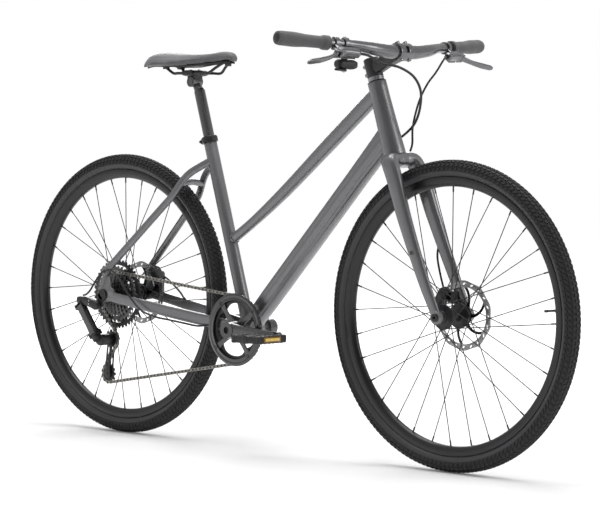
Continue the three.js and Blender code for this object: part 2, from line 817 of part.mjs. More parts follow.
const topTubeFoot = seatPoint(topTubeSeatHeight);
const topTubeHead = steerPoint(topTubeHeadHeight);
function topTube() {
  const round = 2 * topTubeSeatRadius;
  const stations = topTubeShares.map(([share, sag, growth, squareness]) => ({
    at: topTubeFoot.clone().lerp(topTubeHead, share).add(at(0, 0, -topTubeSag * sag)),
    across: blend(round, topTubeHeadWidth, growth),
    deep: blend(round, topTubeHeadDepth, growth),
    squareness,
  }));
  piece('top_tube', cut(tube(stations, { steps: 6 }), headTubeSolid(seam), seatTubeSolid(seam)),
    framePaint, frameGroup);
}

// Down tube
const creased = (across, deep) => downTubeShares.map(([u, v]) => [u * across, v * deep]);
const downTubeFoot = bracket.clone();
const downTubeHead = steerPoint(downTubeHeadHeight);
const downTubeAlong = downTubeHead.clone().sub(downTubeFoot).normalize();
const downTubeUp = at(-downTubeAlong.z, 0, downTubeAlong.x);
function bottleBoss(place, extra) {
  const face = downTubeFoot.clone().addScaledVector(downTubeAlong, place).addScaledVector(downTubeUp,
    downTubeDepth / 2);
  return rod(face.clone().addScaledVector(downTubeUp, -extra),
    face.clone().addScaledVector(downTubeUp, bossHeight),
    bossRadius, smallFaces);
}
function downTube() {
  const along = (share, across, deep) =>
    ({ at: downTubeFoot.clone().lerp(downTubeHead, share), across, deep });
  const stations = [
    along(0, downTubeWidth, downTubeFootDepth), along(downTubeFootShare, downTubeWidth, downTubeDepth),
    along(downTubeHeadShare, downTubeWidth, downTubeDepth),
      along(1, downTubeHeadWidth, downTubeHeadDepth),
  ];
  const body = tube(stations, { shape: creased, faces: downTubeShares.length });
  const bosses = [-0.5, 0.5].map((share) => bottleBoss(bossPlace + share * bossSpacing, bossHeight));
  const tools = [headTubeSolid(seam), seatTubeSolid(seam), bracketSolid(seam)];
  piece('down_tube', cut(join(body, bosses), tools), framePaint, frameGroup);
}

function bottomBracket() {
  const cups = [-1,
    1].map((side) =>
    rod(bracketEnd(side, -seam), bracketEnd(side, bracketCupLength), bracketCupRadius, roundFaces));
  const hollow = rod(bracketEnd(-1, -bracketCupLength), bracketEnd(1, -bracketCupLength), bracketBore);
  const reach = 2 * bracketCupLength;
  const bore = hole(bracketEnd(-1, reach), bracketEnd(1, reach), spindleRadius + seam, roundFaces);
  piece('bottom_bracket', cut(join(bracketSolid(0), cups), hollow, bore), framePaint, frameGroup);
}

// Rear triangle. side is -1 on the chain side and 1 on the brake side.
const dropoutPlace = rearHubWidth / 2;
const lugCentre = (side, reach) => fromRearAxle(lugAhead, side * (dropoutPlace + reach), lugUp);
const lugSolid = (side, extra) =>
  rod(lugCentre(side, -dropoutThickness / 4 - extra),
    lugCentre(side, dropoutThickness + lugProud + extra), lugRadius + extra, tubeFaces);

function stayCentres(side) {
  return [
    seatPoint(stayMeetHeight, 0, side * stayMeetSpread),
    fromRearAxle(stayShoulderAhead, side * stayShoulderSpread, stayShoulderUp),
    fromRearAxle(stayKinkAhead, side * stayKinkSpread, stayKinkUp),
    lugCentre(side, dropoutThickness / 2),
  ];
}

function seatStay(name, side, extras) {
  const [meet, shoulder, kink, lug] = stayCentres(side);
  const station = (point) =>
    ({ at: point, across: stayWidth, deep: stayDepth, squareness: staySquareShare });
  const nearKink = kink.clone().lerp(lug, stayBendShare);
  const body = tube([meet, shoulder, kink, nearKink, lug].map(station), { steps: 6, faces: stayFaces });
  piece(name, cut(join(body, lugSolid(side, 0), extras), seatTubeSolid(seam)), framePaint, frameGroup);
}

function stayBridge() {
  const crown = at(0, 0, 2 * stayBridgeRadius);
  const [, shoulder, kink] = stayCentres(1);
  const left = shoulder.clone().lerp(kink, bridgePlaceShare);
  const right = left.clone().setY(-left.y);
  const middle = left.clone().setY(0).addScaledVector(crown, bridgeRiseShare);
  const station = (point) => ({ at: point, across: 2 * stayBridgeRadius, deep: 2 * stayBridgeRadius });
  return tube([right, middle, left].map(station), { steps: 4, faces: smallFaces, reference: forward });
}

function rightStayForBridge() {
  const [, shoulder, kink] = stayCentres(-1);
  const grow = 2 * seam;
  const station = (point) =>
    ({ at: point, across: stayWidth + grow, deep: stayDepth + grow, squareness: bridgeToolSquareShare });
  const [before, after] = bridgeToolShares.map((share) => shoulder.clone().lerp(kink, share));
  return tube([before, shoulder, kink, after].map(station), { faces: stayFaces });
}

// Dropout plate with its eye
function dropout(side) {
  const outline = dropoutShares.map(([x, z]) => [rearAxle.x + x * lugUp, rearAxle.z + z * lugUp]);
  const inner = side * dropoutPlace;
  const outer = side * (dropoutPlace + dropoutThickness);
  const eye = rod(fromRearAxle(0, inner, 0), fromRearAxle(0, outer, 0), dropoutEyeRadius);
  return join(plate(outline, Math.min(inner, outer), Math.max(inner, outer)), eye);
}

function chainStayTube(side, extra) {
  const end = dropoutPlace + dropoutThickness / 2;
  const toBracket = bracket.clone().sub(rearAxle);
  const station = (share, spread, deep, across) => ({
    at: rearAxle.clone().addScaledVector(toBracket, share).add(at(0, side * spread, 0)),
    across: across + 2 * extra, deep: deep + 2 * extra, squareness: chainStaySquareShare,
  });
  const rearShare = chainStayRearAhead / wheelBase;
  const [nearShare, bendShare, tyreShare, footShare] = chainStayShares;
  const stations = [
    station(rearShare, end, chainStayRearDepth, dropoutThickness),
    station(nearShare, end - chainStayWidth / 3, chainStayRearDepth, chainStayWidth),
    station(bendShare, blend(end, chainStayTyreSpread, chainStaySpreadShare), chainStayDepth,
      chainStayWidth),
    station(tyreShare, chainStayTyreSpread, chainStayDepth, chainStayWidth),
    station(footShare, chainStayBracketSpread, chainStayDepth, chainStayWidth),
  ];
  return tube(stations, { steps: 6, faces: stayFaces });
}
function chainStay(name, side) {
  const tools = [bracketSolid(seam), lugSolid(side, seam), seatTubeSolid(seam), axleBore(rearAxle)];
  piece(name, cut(join(chainStayTube(side, 0), dropout(side)), tools), framePaint, frameGroup);
}

function seatCollar() {
  const low = seatTubeLength - collarHeight / 2;
  const wall = seatTubeRadius + collarWall;
  const ring = rod(seatPoint(low), seatPoint(low + collarHeight), wall, roundFaces);
  const boltPlace = low + collarHeight / 2;
  const ear = (side) => seatPoint(boltPlace, -wall, side * 2 * collarBoltRadius);
  const lug = rod(ear(-1), ear(1), collarHeight / 2, smallFaces);
  const head = rod(ear(-collarBoltShare), ear(0), collarBoltRadius, smallFaces);
  const bore = rod(seatPoint(0), seatPoint(seatTubeLength + collarHeight), grown(seatPostRadius),
    roundFaces);
  piece('seat_collar', cut(join(ring, lug, head), seatTubeSolid(seam), bore), blackAlloy, frameGroup);
}

// A brake caliper that straddles its rotor
function caliper(name, centre, along, arm, group, tools, hoseRoute) {
  const up = along.clone().cross(sideways).normalize();
  const size = [caliperLength, caliperWidth, caliperHeight];
  const body = tube(caliperShares.map(([share, size]) => ({
    at: centre.clone().addScaledVector(along, share * caliperLength),
    across: caliperWidth * size,
    deep: caliperHeight * size,
    squareness: caliperSquareShare,
  })), { faces: stayFaces });
  const [potFoot,
    potTop] = caliperPotShares.map((share) => centre.clone().add(at(0, caliperWidth * share, 0)));
  const pot = rod(potFoot, potTop, caliperHeight * caliperPotWidthShare, smallFaces);
  const slotSize = [caliperLength * 2, rotorThickness + 2 * caliperGap, 2 * caliperHeight];
  const slotTop = rotorBand / 2 + runningGap;
  const slot = block(centre.clone().addScaledVector(up, slotTop - caliperHeight), along, sideways, up,
    slotSize);
  const armSolid = crate(centre.clone().add(arm.offset),
    size.map((value, axis) => value * arm.shares[axis]));
  const lead = hose(hoseRoute, hoseRadius, hoseLeadSteps);
  piece(name, cut(join(body, pot, armSolid, lead), slot, tools), blackAlloy, group);
}

// Fork
const legPlace = (share, side) => {
  const shoulder = steerPoint(-forkShoulderDrop, forkShoulderAhead, side * forkShoulderSpread);
  const tip = frontAxle.clone().add(at(0, side * (frontHubWidth / 2 + forkTipThickness / 2), 0));
  const straight = shoulder.lerp(tip, share);
  const bow = Math.sin(Math.PI * share);
  const spread = side * bow * (forkLegSpread - forkShoulderSpread) * forkSpreadShare;
  return straight.addScaledVector(steerAhead, -bow * forkRake * forkBowShare).add(at(0, spread, 0));
};
function forkLeg(side, extra) {
  const grow = 2 * extra;
  const station = (point, across, deep) =>
    ({ at: point, across: across + grow, deep: deep + grow, squareness: forkSquareShare });
  const [neckSide, neckDepth, neckHeight] = crownNeckShares;
  const [bendAhead, bendSide, bendDepth, bendHeight] = crownBendShares;
  const [shoulderShare, kneeShare, ankleShare, tipShare] = forkLegShares;
  const crown = (drop, ahead, place) => steerPoint(-crownHeight / drop, ahead, place);
  const stations = [
    station(crown(3, crownLead, -side * crownOverlap), crownDepth, crownHeight),
    station(crown(3, 2 * crownLead, side * forkShoulderSpread * neckSide), crownDepth * neckDepth,
      crownHeight * neckHeight),
    station(crown(2, forkShoulderAhead * bendAhead, side * forkShoulderSpread * bendSide),
      crownDepth * bendDepth,
      crownHeight * bendHeight),
    station(legPlace(shoulderShare, side), crownDepth * forkTopDepthShare,
      forkLegWidth * forkTopWidthShare),
    station(legPlace(kneeShare, side), forkLegDepth, forkLegWidth),
    station(legPlace(ankleShare, side), blend(forkLegDepth, forkTipDepth, forkTaperShare),
      forkTipWidth * forkAnkleShare),
    station(legPlace(tipShare, side), forkTipDepth, forkTipThickness),
  ];
  return tube(stations, { steps: 7, faces: stayFaces, reference: steerAhead });
}
function forkEye(side) {
  const face = frontHubWidth / 2;
  const point = (y) => frontAxle.clone().add(at(0, side * y, 0));
  return rod(point(face), point(face + forkTipThickness), forkEyeRadius);
}
const hubRoom = () => {
  const room = 2 * (forkEyeRadius + forkTipDepth);
  return crate(frontAxle, [room, frontHubWidth, room]);
};
function forkEyelet(side) {
  const centre = legPlace(eyeletShare, side);
  const out = forkTipWidth / 2 + eyeletHeight;
  return rod(centre, centre.clone().add(at(0, side * out * eyeletSinkShare, 0)), eyeletRadius,
    smallFaces);
}
function fork() {
  const steererTop = headTubeLength + headCoverHeight + spacerHeight + stemClampHeight - seam;
  const steerer = turned([
    [0, -crownHeight / 2], [crownSteererRadius, -crownHeight / 2],
      [crownSteererRadius, bearingDepth + seam],
    [steererRadius, steererTaper], [steererRadius, steererTop], [0, steererTop],
  ], headFoot, steerUp);
  const race = rod(steerPoint(-crownHeight / 3), steerPoint(-seam), headTubeBottomRadius - seam,
    roundFaces);
  const sides = [-1, 1].flatMap((side) => [forkLeg(side, 0), forkEye(side), forkEyelet(side)]);
  const turningRoom = hole(steerPoint(-seam), steerPoint(headTubeLength),
    headTubeBottomRadius + runningGap, roundFaces);
  const tools = [hubRoom(), turningRoom, axleBore(frontAxle)];
  const crown = cut(join(race, sides), tools);
  piece('fork', join(crown, steerer), framePaint, steeringGroup);
}

// Stem, with a clamp round the steerer and one round the bar
const stemFoot = headTubeLength + headCoverHeight + spacerHeight;
const stemMiddle = stemFoot + stemClampHeight / 2;
const barCentre = steerPoint(stemMiddle + stemRise, stemReach);
const barClampRadius = barRadius + stemWall;
function headsetSpacers() {
  const bore = steererRadius + seam;
  const cover = headTubeTopRadius;
  const low = headTubeLength + seam;
  const high = stemFoot - seam;
  const profile = [
    [bore, low], [cover, low], [cover, low + headCoverHeight / 2],
      [steererRadius + stemWall, low + headCoverHeight],
    [steererRadius + stemWall, high], [bore, high],
  ];
  piece('headset_spacers', turned(profile, headFoot, steerUp), silverAlloy, steeringGroup);
}
function stem() {
  const clampWall = steererRadius + stemWall;
  const clamp = rod(steerPoint(stemFoot), steerPoint(stemFoot + stemClampHeight), clampWall, roundFaces);
  const capTop = steerPoint(stemFoot + stemClampHeight + facePlateThickness);
  const cap = rod(steerPoint(stemFoot + stemClampHeight - seam), capTop, clampWall, roundFaces,
    clampWall - seam * 4);
  const station = (point, across, deep, row) =>
    ({ at: point, across, deep, squareness: stemSquareShares[row] });
  const arm = tube([
    station(steerPoint(stemMiddle), stemWidth * stemArmShare, stemClampHeight * stemArmShare, 0),
    station(steerPoint(stemMiddle + stemRise / 2, stemReach / 2), stemWidth * stemArmShare,
      stemWidth * stemArmShare, 1),
    station(barCentre, stemWidth * stemBarShare, 2 * barRadius, 2),
  ], { steps: 4, faces: stayFaces });
  const half = stemWidth * stemHalfShare;
  const clampEnd = (side, extra = 0) => barCentre.clone().add(at(0, side * (half + extra), 0));
  const barClamp = rod(clampEnd(-1), clampEnd(1), barClampRadius, roundFaces);
  const front = block(barCentre.clone().addScaledVector(steerAhead, stemReach / 2 - seam), steerAhead,
    sideways, steerUp,
    [stemReach, 4 * half, 2 * stemReach]);
  const bolts = stemBoltShares.map((share) => {
    const bolt = (y) => steerPoint(stemMiddle + share * stemClampHeight, -clampWall, y * stemWall);
    return rod(bolt(-2), bolt(2), stemWall, smallFaces);
  });
  const bores = [
    hole(steerPoint(0), steerPoint(stemFoot + stemClampHeight), steererRadius + seam, roundFaces),
    hole(clampEnd(-1, overrun), clampEnd(1, overrun), grown(barRadius), roundFaces),
  ];
  piece('stem', cut(join(clamp, cap, arm, barClamp, bolts), bores, front), blackAlloy, steeringGroup);
  const bandEnd = (side, share) => clampEnd(side * share);
  const band = rod(bandEnd(-1, 1), bandEnd(1, 1), barClampRadius, roundFaces);
  const screws = [-1, 1].flatMap((side) => [-1, 1].map((level) => {
    const place = barCentre.clone().add(at(0, side * half * plateBoltShare, 0)).addScaledVector(steerUp,
      level * barClampRadius);
    const reach = (distance) => place.clone().addScaledVector(steerAhead, distance);
    return rod(reach(seam * 2), reach(stemWall * 2), stemWall * plateLugShare, smallFaces);
  }));
  const rear = block(barCentre.clone().addScaledVector(steerAhead, -stemReach / 2), steerAhead, sideways,
    steerUp,
    [stemReach, 4 * half, 2 * stemReach]);
  const window = block(barCentre.clone().addScaledVector(steerAhead, barRadius), steerAhead, sideways,
    steerUp,
    [2 * stemWidth, half * plateWindowShare, barRadius]);
  piece('stem_faceplate', cut(join(band, screws), bores[1], rear, window), blackAlloy, steeringGroup);
}

// Handlebar: level at the clamp, then up and back to the grips
function barStation(y, riseShare, sweepShare, radius) {
  const rise = barRisePerSide * riseShare;
  const sweep = barSweepPerSide * sweepShare;
  const centre = barCentre.clone().addScaledVector(steerUp, rise).addScaledVector(steerAhead,
    -sweep).setY(y);
  return { at: centre, across: 2 * radius, deep: 2 * radius };
}
const barSide = (side) => [
  barStation(side * barClampHalfWidth * barFlatShare, 0, 0, barRadius),
  barStation(side * barClampHalfWidth, 0, 0, barRadius),
  barStation(side * barShoulder, barRiseShares[0], barSweepShares[0],
    blend(barRadius, barEndRadius, barTaperShare)),
  barStation(side * barBend, barRiseShares[1], barSweepShares[1], barEndRadius),
  barStation(side * gripStart, barRiseShares[2], barSweepShares[2], barEndRadius),
  barStation(side * barHalfWidth, 1, 1, barEndRadius),
];
function handlebar() {
  const stations = [...barSide(-1).reverse(), ...barSide(1)];
  piece('handlebar', tube(stations, { steps: 22, faces: barFaces, reference: steerUp }), darkAlloy,
    steeringGroup);
}
// The bar's middle at a distance from the centre, and its direction outwards
function barAt(y) {
  const side = Math.sign(y);
  const curve = new THREE.CatmullRomCurve3(
    [...barSide(-1).reverse(), ...barSide(1)].map((station) => station.at), false, 'centripetal');
  let [low, high] = [0, 1];
  for (let round = 0; round < 30; round += 1) {
    const middle = (low + high) / 2;
    if (curve.getPoint(middle).y < y) low = middle;
    else high = middle;
  }
  return { point: curve.getPoint(low), out: curve.getTangent(low).multiplyScalar(side) };
}
function grip(name, side) {
  const start = barAt(side * gripStart);
  const end = barAt(side * barHalfWidth);
  const reach = end.point.clone().addScaledVector(end.out, gripEndWall);
  const station = (share, index) => {
    const swell = gripSwellShares[index];
    const width = 2 * (gripRadius + gripSwell * (swell - 1));
    return { at: start.point.clone().lerp(reach, share), across: width,
      deep: width * (1 + gripOvalShare * swell) };
  };
  const body = tube(gripShares.map(station), { faces: barFaces, reference: steerUp });
  const width = 2 * grown(barEndRadius) + 2 * seam;
  const inside = gripShares.map((share) =>
    barAt(side * blend(gripStart - overrun, barHalfWidth, share)).point);
  const bottom = end.point.clone().addScaledVector(end.out, gripEndWall / 2);
  const liner = [...inside, bottom].map((point) => ({ at: point, across: width, deep: width }));
  piece(name, cut(body, tube(liner, { faces: barFaces, reference: steerUp })), gripRubber, steeringGroup);
}

// Directions at a control: out along the bar, ahead and down to the lever, and the pivot's own
function controlFrame(side, place, drop) {
  const { point, out } = barAt(side * place);
  const dive = radians(drop);
  const reach = at(Math.cos(dive), 0, -Math.sin(dive));
  reach.addScaledVector(out, -reach.dot(out)).normalize();
  const pivot = out.clone().cross(reach).multiplyScalar(side).normalize();
  const from = (t, d, n = 0) =>
    point.clone().addScaledVector(out, t).addScaledVector(reach, d).addScaledVector(pivot, n);
  return { side, point, out, reach, pivot, from };
}
const leverFrame = (side) => controlFrame(side, leverClampPlace, leverDrop);

function clampBand(frame, width, wall) {
  const half = width / 2;
  return {
    band: rod(frame.from(-half, 0), frame.from(half, 0), barEndRadius + wall, barFaces),
    bore: hole(frame.from(-width, 0), frame.from(width, 0), barEndRadius + 2 * seam, barFaces),
  };
}

function brakeLeverBody(name, side) {
  const frame = leverFrame(side);
  const { band, bore } = clampBand(frame, leverClampWidth, leverClampWall);
  const inner = leverBodyLength * leverInnerShare;
  const station = (point, row) => {
    const [wide, high, squareness] = leverBodyShares[row];
    return { at: point, across: leverBodyRadius * wide, deep: leverBodyRadius * high, squareness };
  };
  const body = tube([
    station(frame.from(-inner, leverBodyReach), 0),
    station(frame.from(-inner * leverShoulderShare, leverBodyReach), 1),
    station(frame.from(0, leverBodyReach - leverBodyStep), 2),
    station(frame.from(leverPivotOut - leverBladeThickness - leverPinRadius,
      leverPivotReach - leverPivotStep), 3),
  ], { faces: stayFaces, reference: frame.pivot });
  const neckEnds = [frame.from(0, barEndRadius), frame.from(-leverBodyStep, leverBodyReach)];
  const neck = tube(neckEnds.map((point, end) => ({
    at: point, across: leverClampWidth, deep: leverClampWidth * leverNeckShares[end],
      squareness: leverNeckSquareShare,
  })), { reference: frame.pivot, faces: smallFaces });
  const earOffset = leverBladeWidth / 2 + seam + leverEarThickness / 2;
  const earReach = leverPivotOut + 2 * leverPinRadius;
  const ears = [-1,
    1].map((level) => block(frame.from(earReach / 2, leverPivotReach - leverPinRadius, level * earOffset),
    frame.reach, frame.pivot, frame.out.clone().multiplyScalar(frame.side),
      [leverBodyRadius, leverEarThickness, earReach]));
  const pinEnd = (level) =>
    frame.from(leverPivotOut, leverPivotReach, level * (earOffset + leverEarThickness / 4));
  const pin = rod(pinEnd(-1), pinEnd(1), leverPinRadius, smallFaces);
  piece(name, cut(join(band, neck, body, ears, pin), bore), darkAlloy, steeringGroup);
}

function brakeLever(name, side) {
  const frame = leverFrame(side);
  const blade = tube(leverBladeShares.map(([share, flare, width]) => ({
    at: frame.from(leverPivotOut + share * leverBladeLength, leverPivotReach + flare * leverBladeFlare),
    across: leverBladeWidth * width,
    deep: leverBladeThickness * width,
    squareness: leverBladeSquareShare,
  })), { steps: 6, faces: smallFaces, reference: frame.pivot });
  const end = (level) => frame.from(leverPivotOut, leverPivotReach, level * leverBladeWidth / 2);
  const eye = rod(end(-1), end(1), leverBladeThickness * leverEyeShare, smallFaces);
  const bore = hole(end(-2), end(2), leverPinRadius + seam, smallFaces);
  piece(name, cut(join(blade, eye), bore), blackAlloy, steeringGroup);
}

const shifterFrame = controlFrame(-1, shifterClampPlace, shifterTurn);
const shifterStand = shifterHeight / 2 + thumbLeverThickness / 2 + seam;
function shifter() {
  const frame = shifterFrame;
  const { band, bore } = clampBand(frame, leverClampWidth, leverClampWall);
  const neckStation = (point, deep) =>
    ({ at: point, across: leverClampWidth, deep, squareness: shifterNeckSquareShare });
  const neck = tube([
    neckStation(frame.from(0, barEndRadius), leverClampWidth),
    neckStation(frame.from(0, shifterDrop), shifterWidth * shifterNeckShare),
  ], { reference: frame.out, faces: smallFaces });
  const body = tube(shifterShares.map(([share, high, wide]) => ({
    at: frame.from(-share * shifterLength - shifterLength * shifterOffsetShare, shifterDrop),
    across: shifterHeight * high,
    deep: shifterWidth * wide,
    squareness: shifterSquareShare,
  })), { faces: stayFaces, reference: frame.reach });
  const pin = rod(frame.from(0, shifterDrop),
    frame.from(0, shifterDrop + shifterStand + thumbLeverThickness), leverPinRadius, smallFaces);
  piece('shifter', cut(join(band, neck, body, pin), bore), blackPlastic, steeringGroup);
}
function thumbLever() {
  const frame = shifterFrame;
  const level = shifterDrop + shifterStand;
  const side = frame.pivot;
  const point = (t, n) => frame.from(t, level).addScaledVector(side, n);
  const arm = tube(thumbLeverShares.map(([along, aside]) => ({
    at: point(thumbLeverLength * along, -thumbLeverLength * aside),
    across: thumbLeverThickness,
    deep: thumbLeverWidth,
    squareness: thumbLeverSquareShare,
  })), { steps: 4, faces: smallFaces, reference: frame.reach });
  const eyeEnd = (share) => frame.from(0, level + share * thumbLeverThickness);
  const eye = rod(eyeEnd(-0.5), eyeEnd(0.5), thumbLeverWidth * thumbEyeShare, smallFaces);
  const bore = hole(eyeEnd(-2), eyeEnd(2), leverPinRadius + seam, smallFaces);
  piece('shift_lever', cut(join(arm, eye), bore), blackPlastic, steeringGroup);
}

// Seat post, clamp and saddle
const seatHead = seatPoint(seatPostHeadHeight, -seatPostSetback);
const saddlePoint = (ahead, side, up) => seatHead.clone().add(at(ahead, side, railRise + up));
function seatPost() {
  const foot = seatPoint(seatTubeLength - seatPostInsertion);
  const neck = seatPoint(seatPostHeadHeight - 2 * seatHeadRadius);
  const half = seatHeadWidth / 2;
  const head = rod(seatHead.clone().setY(-half), seatHead.clone().setY(half), seatHeadRadius, roundFaces);
  const station = (point, radius) => ({ at: point, across: 2 * radius, deep: 2 * radius });
  const shaft = rod(foot, neck, seatPostRadius, roundFaces);
  const shoulder = tube([
    station(neck.clone().addScaledVector(seatUp, -seam), seatPostRadius * postNeckShares[0]),
    station(seatHead, seatHeadRadius * postNeckShares[1]),
  ], { faces: smallFaces });
  piece('seat_post', join(shaft, shoulder, head), darkAlloy, seatGroup);
}
function saddleClamp() {
  const half = railSpacing / 2 + railRadius + clampWall;
  const lower = railRadius + clampWall;
  const jaw = tube(jawShares.map(([share, high]) => ({
    at: saddlePoint(0, share * half, 0), across: clampLength, deep: 2 * lower * high,
      squareness: jawSquareShare,
  })), { faces: stayFaces, reference: forward });
  const cradle = crate(saddlePoint(0, 0, -railRise / 2),
    [2 * seatHeadRadius, seatHeadWidth - clampWall, railRise]);
  const socket = hole(seatHead.clone().setY(-half), seatHead.clone().setY(half), grown(seatHeadRadius),
    roundFaces);
  const bores = [-1, 1].map((side) => {
    const y = side * railSpacing / 2;
    return hole(saddlePoint(-clampLength, y, 0), saddlePoint(clampLength, y, 0), grown(railRadius),
      smallFaces);
  });
  piece('saddle_clamp', cut(join(jaw, cradle), socket, bores), blackAlloy, seatGroup);
}
const padUnder = saddleTop - saddlePadThickness;
function railBend(extra, faces) {
  const y = railSpacing / 2;
  const side = (sign) => [
    saddlePoint(-railRear - railTailReach, sign * y * railTailShare, railTailRise),
      saddlePoint(-railRear, sign * y, 0),
    saddlePoint(-clampLength, sign * y, 0), saddlePoint(clampLength, sign * y, 0),
      saddlePoint(railFront, sign * y, 0),
    saddlePoint(railFront + railNoseReach / 2, sign * y * railNoseShares[0], railNoseRise / 2),
    saddlePoint(railFront + railNoseReach, sign * y * railNoseShares[1], railNoseRise),
  ];
  const width = 2 * (railRadius + extra);
  const station = (point) => ({ at: point, across: width, deep: width });
  return tube([...side(-1), ...side(1).reverse()].map(station), { steps: 20, faces, reference: upward });
}
function saddleRails() {
  piece('saddle_rails', railBend(0, smallFaces), blackAlloy, seatGroup);
}
function saddleRing([along, width, rise, droop]) {
  const half = saddleWidth / 2 * width;
  const x = blend(-saddleTail, saddleLength - saddleTail, along);
  const level = saddleTop + (rise - 1) * saddleDip;
  const edge = saddleDroop * droop;
  const upper = saddleCrestShares.map((share) => {
    const fall = saddleCrown * share ** 2 + (edge - saddleCrown) * Math.abs(share) ** 5;
    return saddlePoint(x, share * half, level - Math.max(fall, 0));
  });
  const lower = saddleCrestShares.slice(1, -1).map((share) => {
    const fall = saddleCrown * share ** 2 + (edge - saddleCrown) * Math.abs(share) ** 5;
    return saddlePoint(x, share * (half - saddlePadThickness / 3),
      level - Math.max(fall, 0) - saddlePadThickness);
  });
  return { upper, lower };
}
function saddleCover() {
  const rings = saddleShares.map(saddleRing).map(({ upper, lower }) => [...upper, ...lower.reverse()]);
  piece('saddle_cover', loft(rings), saddleSkin, seatGroup);
}
function saddleBase() {
  const lowered = (points, drop) => [0, 2, 3, 5].map((i) => points[i].clone().add(at(0, 0, -drop)));
  const rings = saddleShares.slice(1, -1).map(saddleRing).map(({ lower }) => [
    ...lowered(lower, saddlePadGap), ...lowered(lower, saddlePadGap + saddleShellThickness).reverse(),
  ]);
  const socketTop = padUnder - saddleDip;
  const sockets = [-1, 1].map((sign) => {
    const tip = saddlePoint(-railRear - railTailReach, sign * railSpacing * socketSpreadShare,
      railTailRise);
    const foot = tip.clone().add(at(0, 0, -railRadius));
    return rod(foot, tip.clone().add(at(0, 0, socketTop - railTailRise)), railRadius * socketRadiusShare,
      smallFaces);
  });
  const nose = crate(saddlePoint(railFront + railNoseReach, 0, railNoseRise - 3 * saddlePadGap),
    [railNoseReach * noseBlockShare, railSpacing * noseBlockShare, saddleShellThickness * 2]);
  const tailRoom = [-1, 1].map((sign) => rod(
    saddlePoint(-railRear, sign * railSpacing / 2, 0),
    saddlePoint(-railRear - railTailReach * tailRoomShares[0], sign * railSpacing * tailRoomShares[1],
      railTailRise * tailRoomShares[0]),
    railRadius + saddlePadGap, smallFaces));
  const noseRoom = crate(saddlePoint(railFront + railNoseReach * noseRoomShare, 0, railNoseRise / 2),
    [railNoseReach, railSpacing, railNoseRise + 2 * (railRadius + saddlePadGap)]);
  piece('saddle_base', cut(join(loft(rings), sockets, nose), tailRoom, noseRoom), blackPlastic,
    seatGroup);
}

// Toothed wheels
const pitchRadius = (teeth) => chainPitch / 2 / Math.sin(Math.PI / teeth);
function toothedOutline(teeth) {
  return counted(2 * teeth).map((step) => {
    const angle = step * Math.PI / teeth;
    const radius = pitchRadius(teeth) + (step % 2 ? -toothRoot : toothHeight);
    return [radius * Math.cos(angle), radius * Math.sin(angle)];
  });
}
const circle = (radius, faces) => oval(2 * radius, 2 * radius, faces);

// Crankset, built round its own axis
const crankGroup = new THREE.Group();
crankGroup.position.copy(bracket);
drivetrainGroup.add(crankGroup);
const ringFace = chainLine + toothThickness / 2;
const spiderInner = ringFace + seam;
const guardInner = spiderInner + spiderThickness + seam;
const spiderAngles = counted(spiderArms).map((i) => radians(spiderTurn) + i * 2 * Math.PI / spiderArms);
function chainring() {
  const inner = pitchRadius(chainringTeeth) - chainringBand;
  const points = spiderArms * 6;
  const hole = counted(points).map((i) => {
    const angle = radians(spiderTurn) + i * 2 * Math.PI / points;
    const near = Math.max(...spiderAngles.map((arm) => Math.cos(angle - arm)), 0) ** 30;
    return [(inner - chainringLobe * near) * Math.cos(angle),
      (inner - chainringLobe * near) * Math.sin(angle)];
  });
  const ring = plate(toothedOutline(chainringTeeth), -ringFace, -ringFace + toothThickness, [hole]);
  piece('chainring', ring, blackAlloy, crankGroup);
}
function chainringGuard() {
  const inner = guardOuterRadius - guardBand;
  const profile = [
    [inner, -guardInner], [guardOuterRadius, -guardInner],
      [guardOuterRadius, -guardInner - guardThickness * guardBevelShares[1]],
    [guardOuterRadius - guardBand * guardBevelShares[0], -guardInner - guardThickness],
      [inner, -guardInner - guardThickness],
  ];
  piece('chainring_guard', turned(profile, at(0, 0, 0), sideways, guardFaces), blackPlastic, crankGroup);
}
function crankArm(side, direction) {
  const place = (share, y) => direction.clone().multiplyScalar(share * crankLength).setY(side * y);
  const middle = (share) =>
    (blend(crankHubInner, crankTipInner, share) + blend(crankHubOuter, crankTipOuter, share)) / 2;
  const station = (share, deep, across) =>
    ({ at: place(share, middle(share)), across, deep, squareness: crankSquareShare });
  const [[hubShare, hubDeep], [waistShare, waistDeep], [eyeShare, eyeDeep]] = crankShares;
  const arm = tube([
    station(hubShare, 2 * crankBossRadius * hubDeep, crankHubOuter - crankHubInner - crankHubInset),
    station(waistShare, 2 * crankBossRadius * waistDeep, crankThickness),
    station(eyeShare, 2 * crankEyeRadius * eyeDeep, crankTipOuter - crankTipInner),
  ], { steps: 4, faces: stayFaces });
  const boss = rod(at(0, side * crankHubInner, 0), at(0, side * crankHubOuter, 0), crankBossRadius,
    roundFaces);
  const eye = rod(place(1, crankTipInner), place(1, crankTipOuter), crankEyeRadius);
  return join(arm, boss, eye);
}
const crankDirection = (side) => {
  const angle = radians(crankTilt);
  const ahead = at(Math.cos(angle), 0, -Math.sin(angle));
  return side < 0 ? ahead : ahead.negate();
};
const pedalBore = (side) => {
  const centre = crankDirection(side).multiplyScalar(crankLength);
  return hole(centre.clone().setY(side * (crankTipInner - overrun)),
    centre.clone().setY(side * (crankTipOuter + overrun)),
    pedalAxleRadius + seam);
};
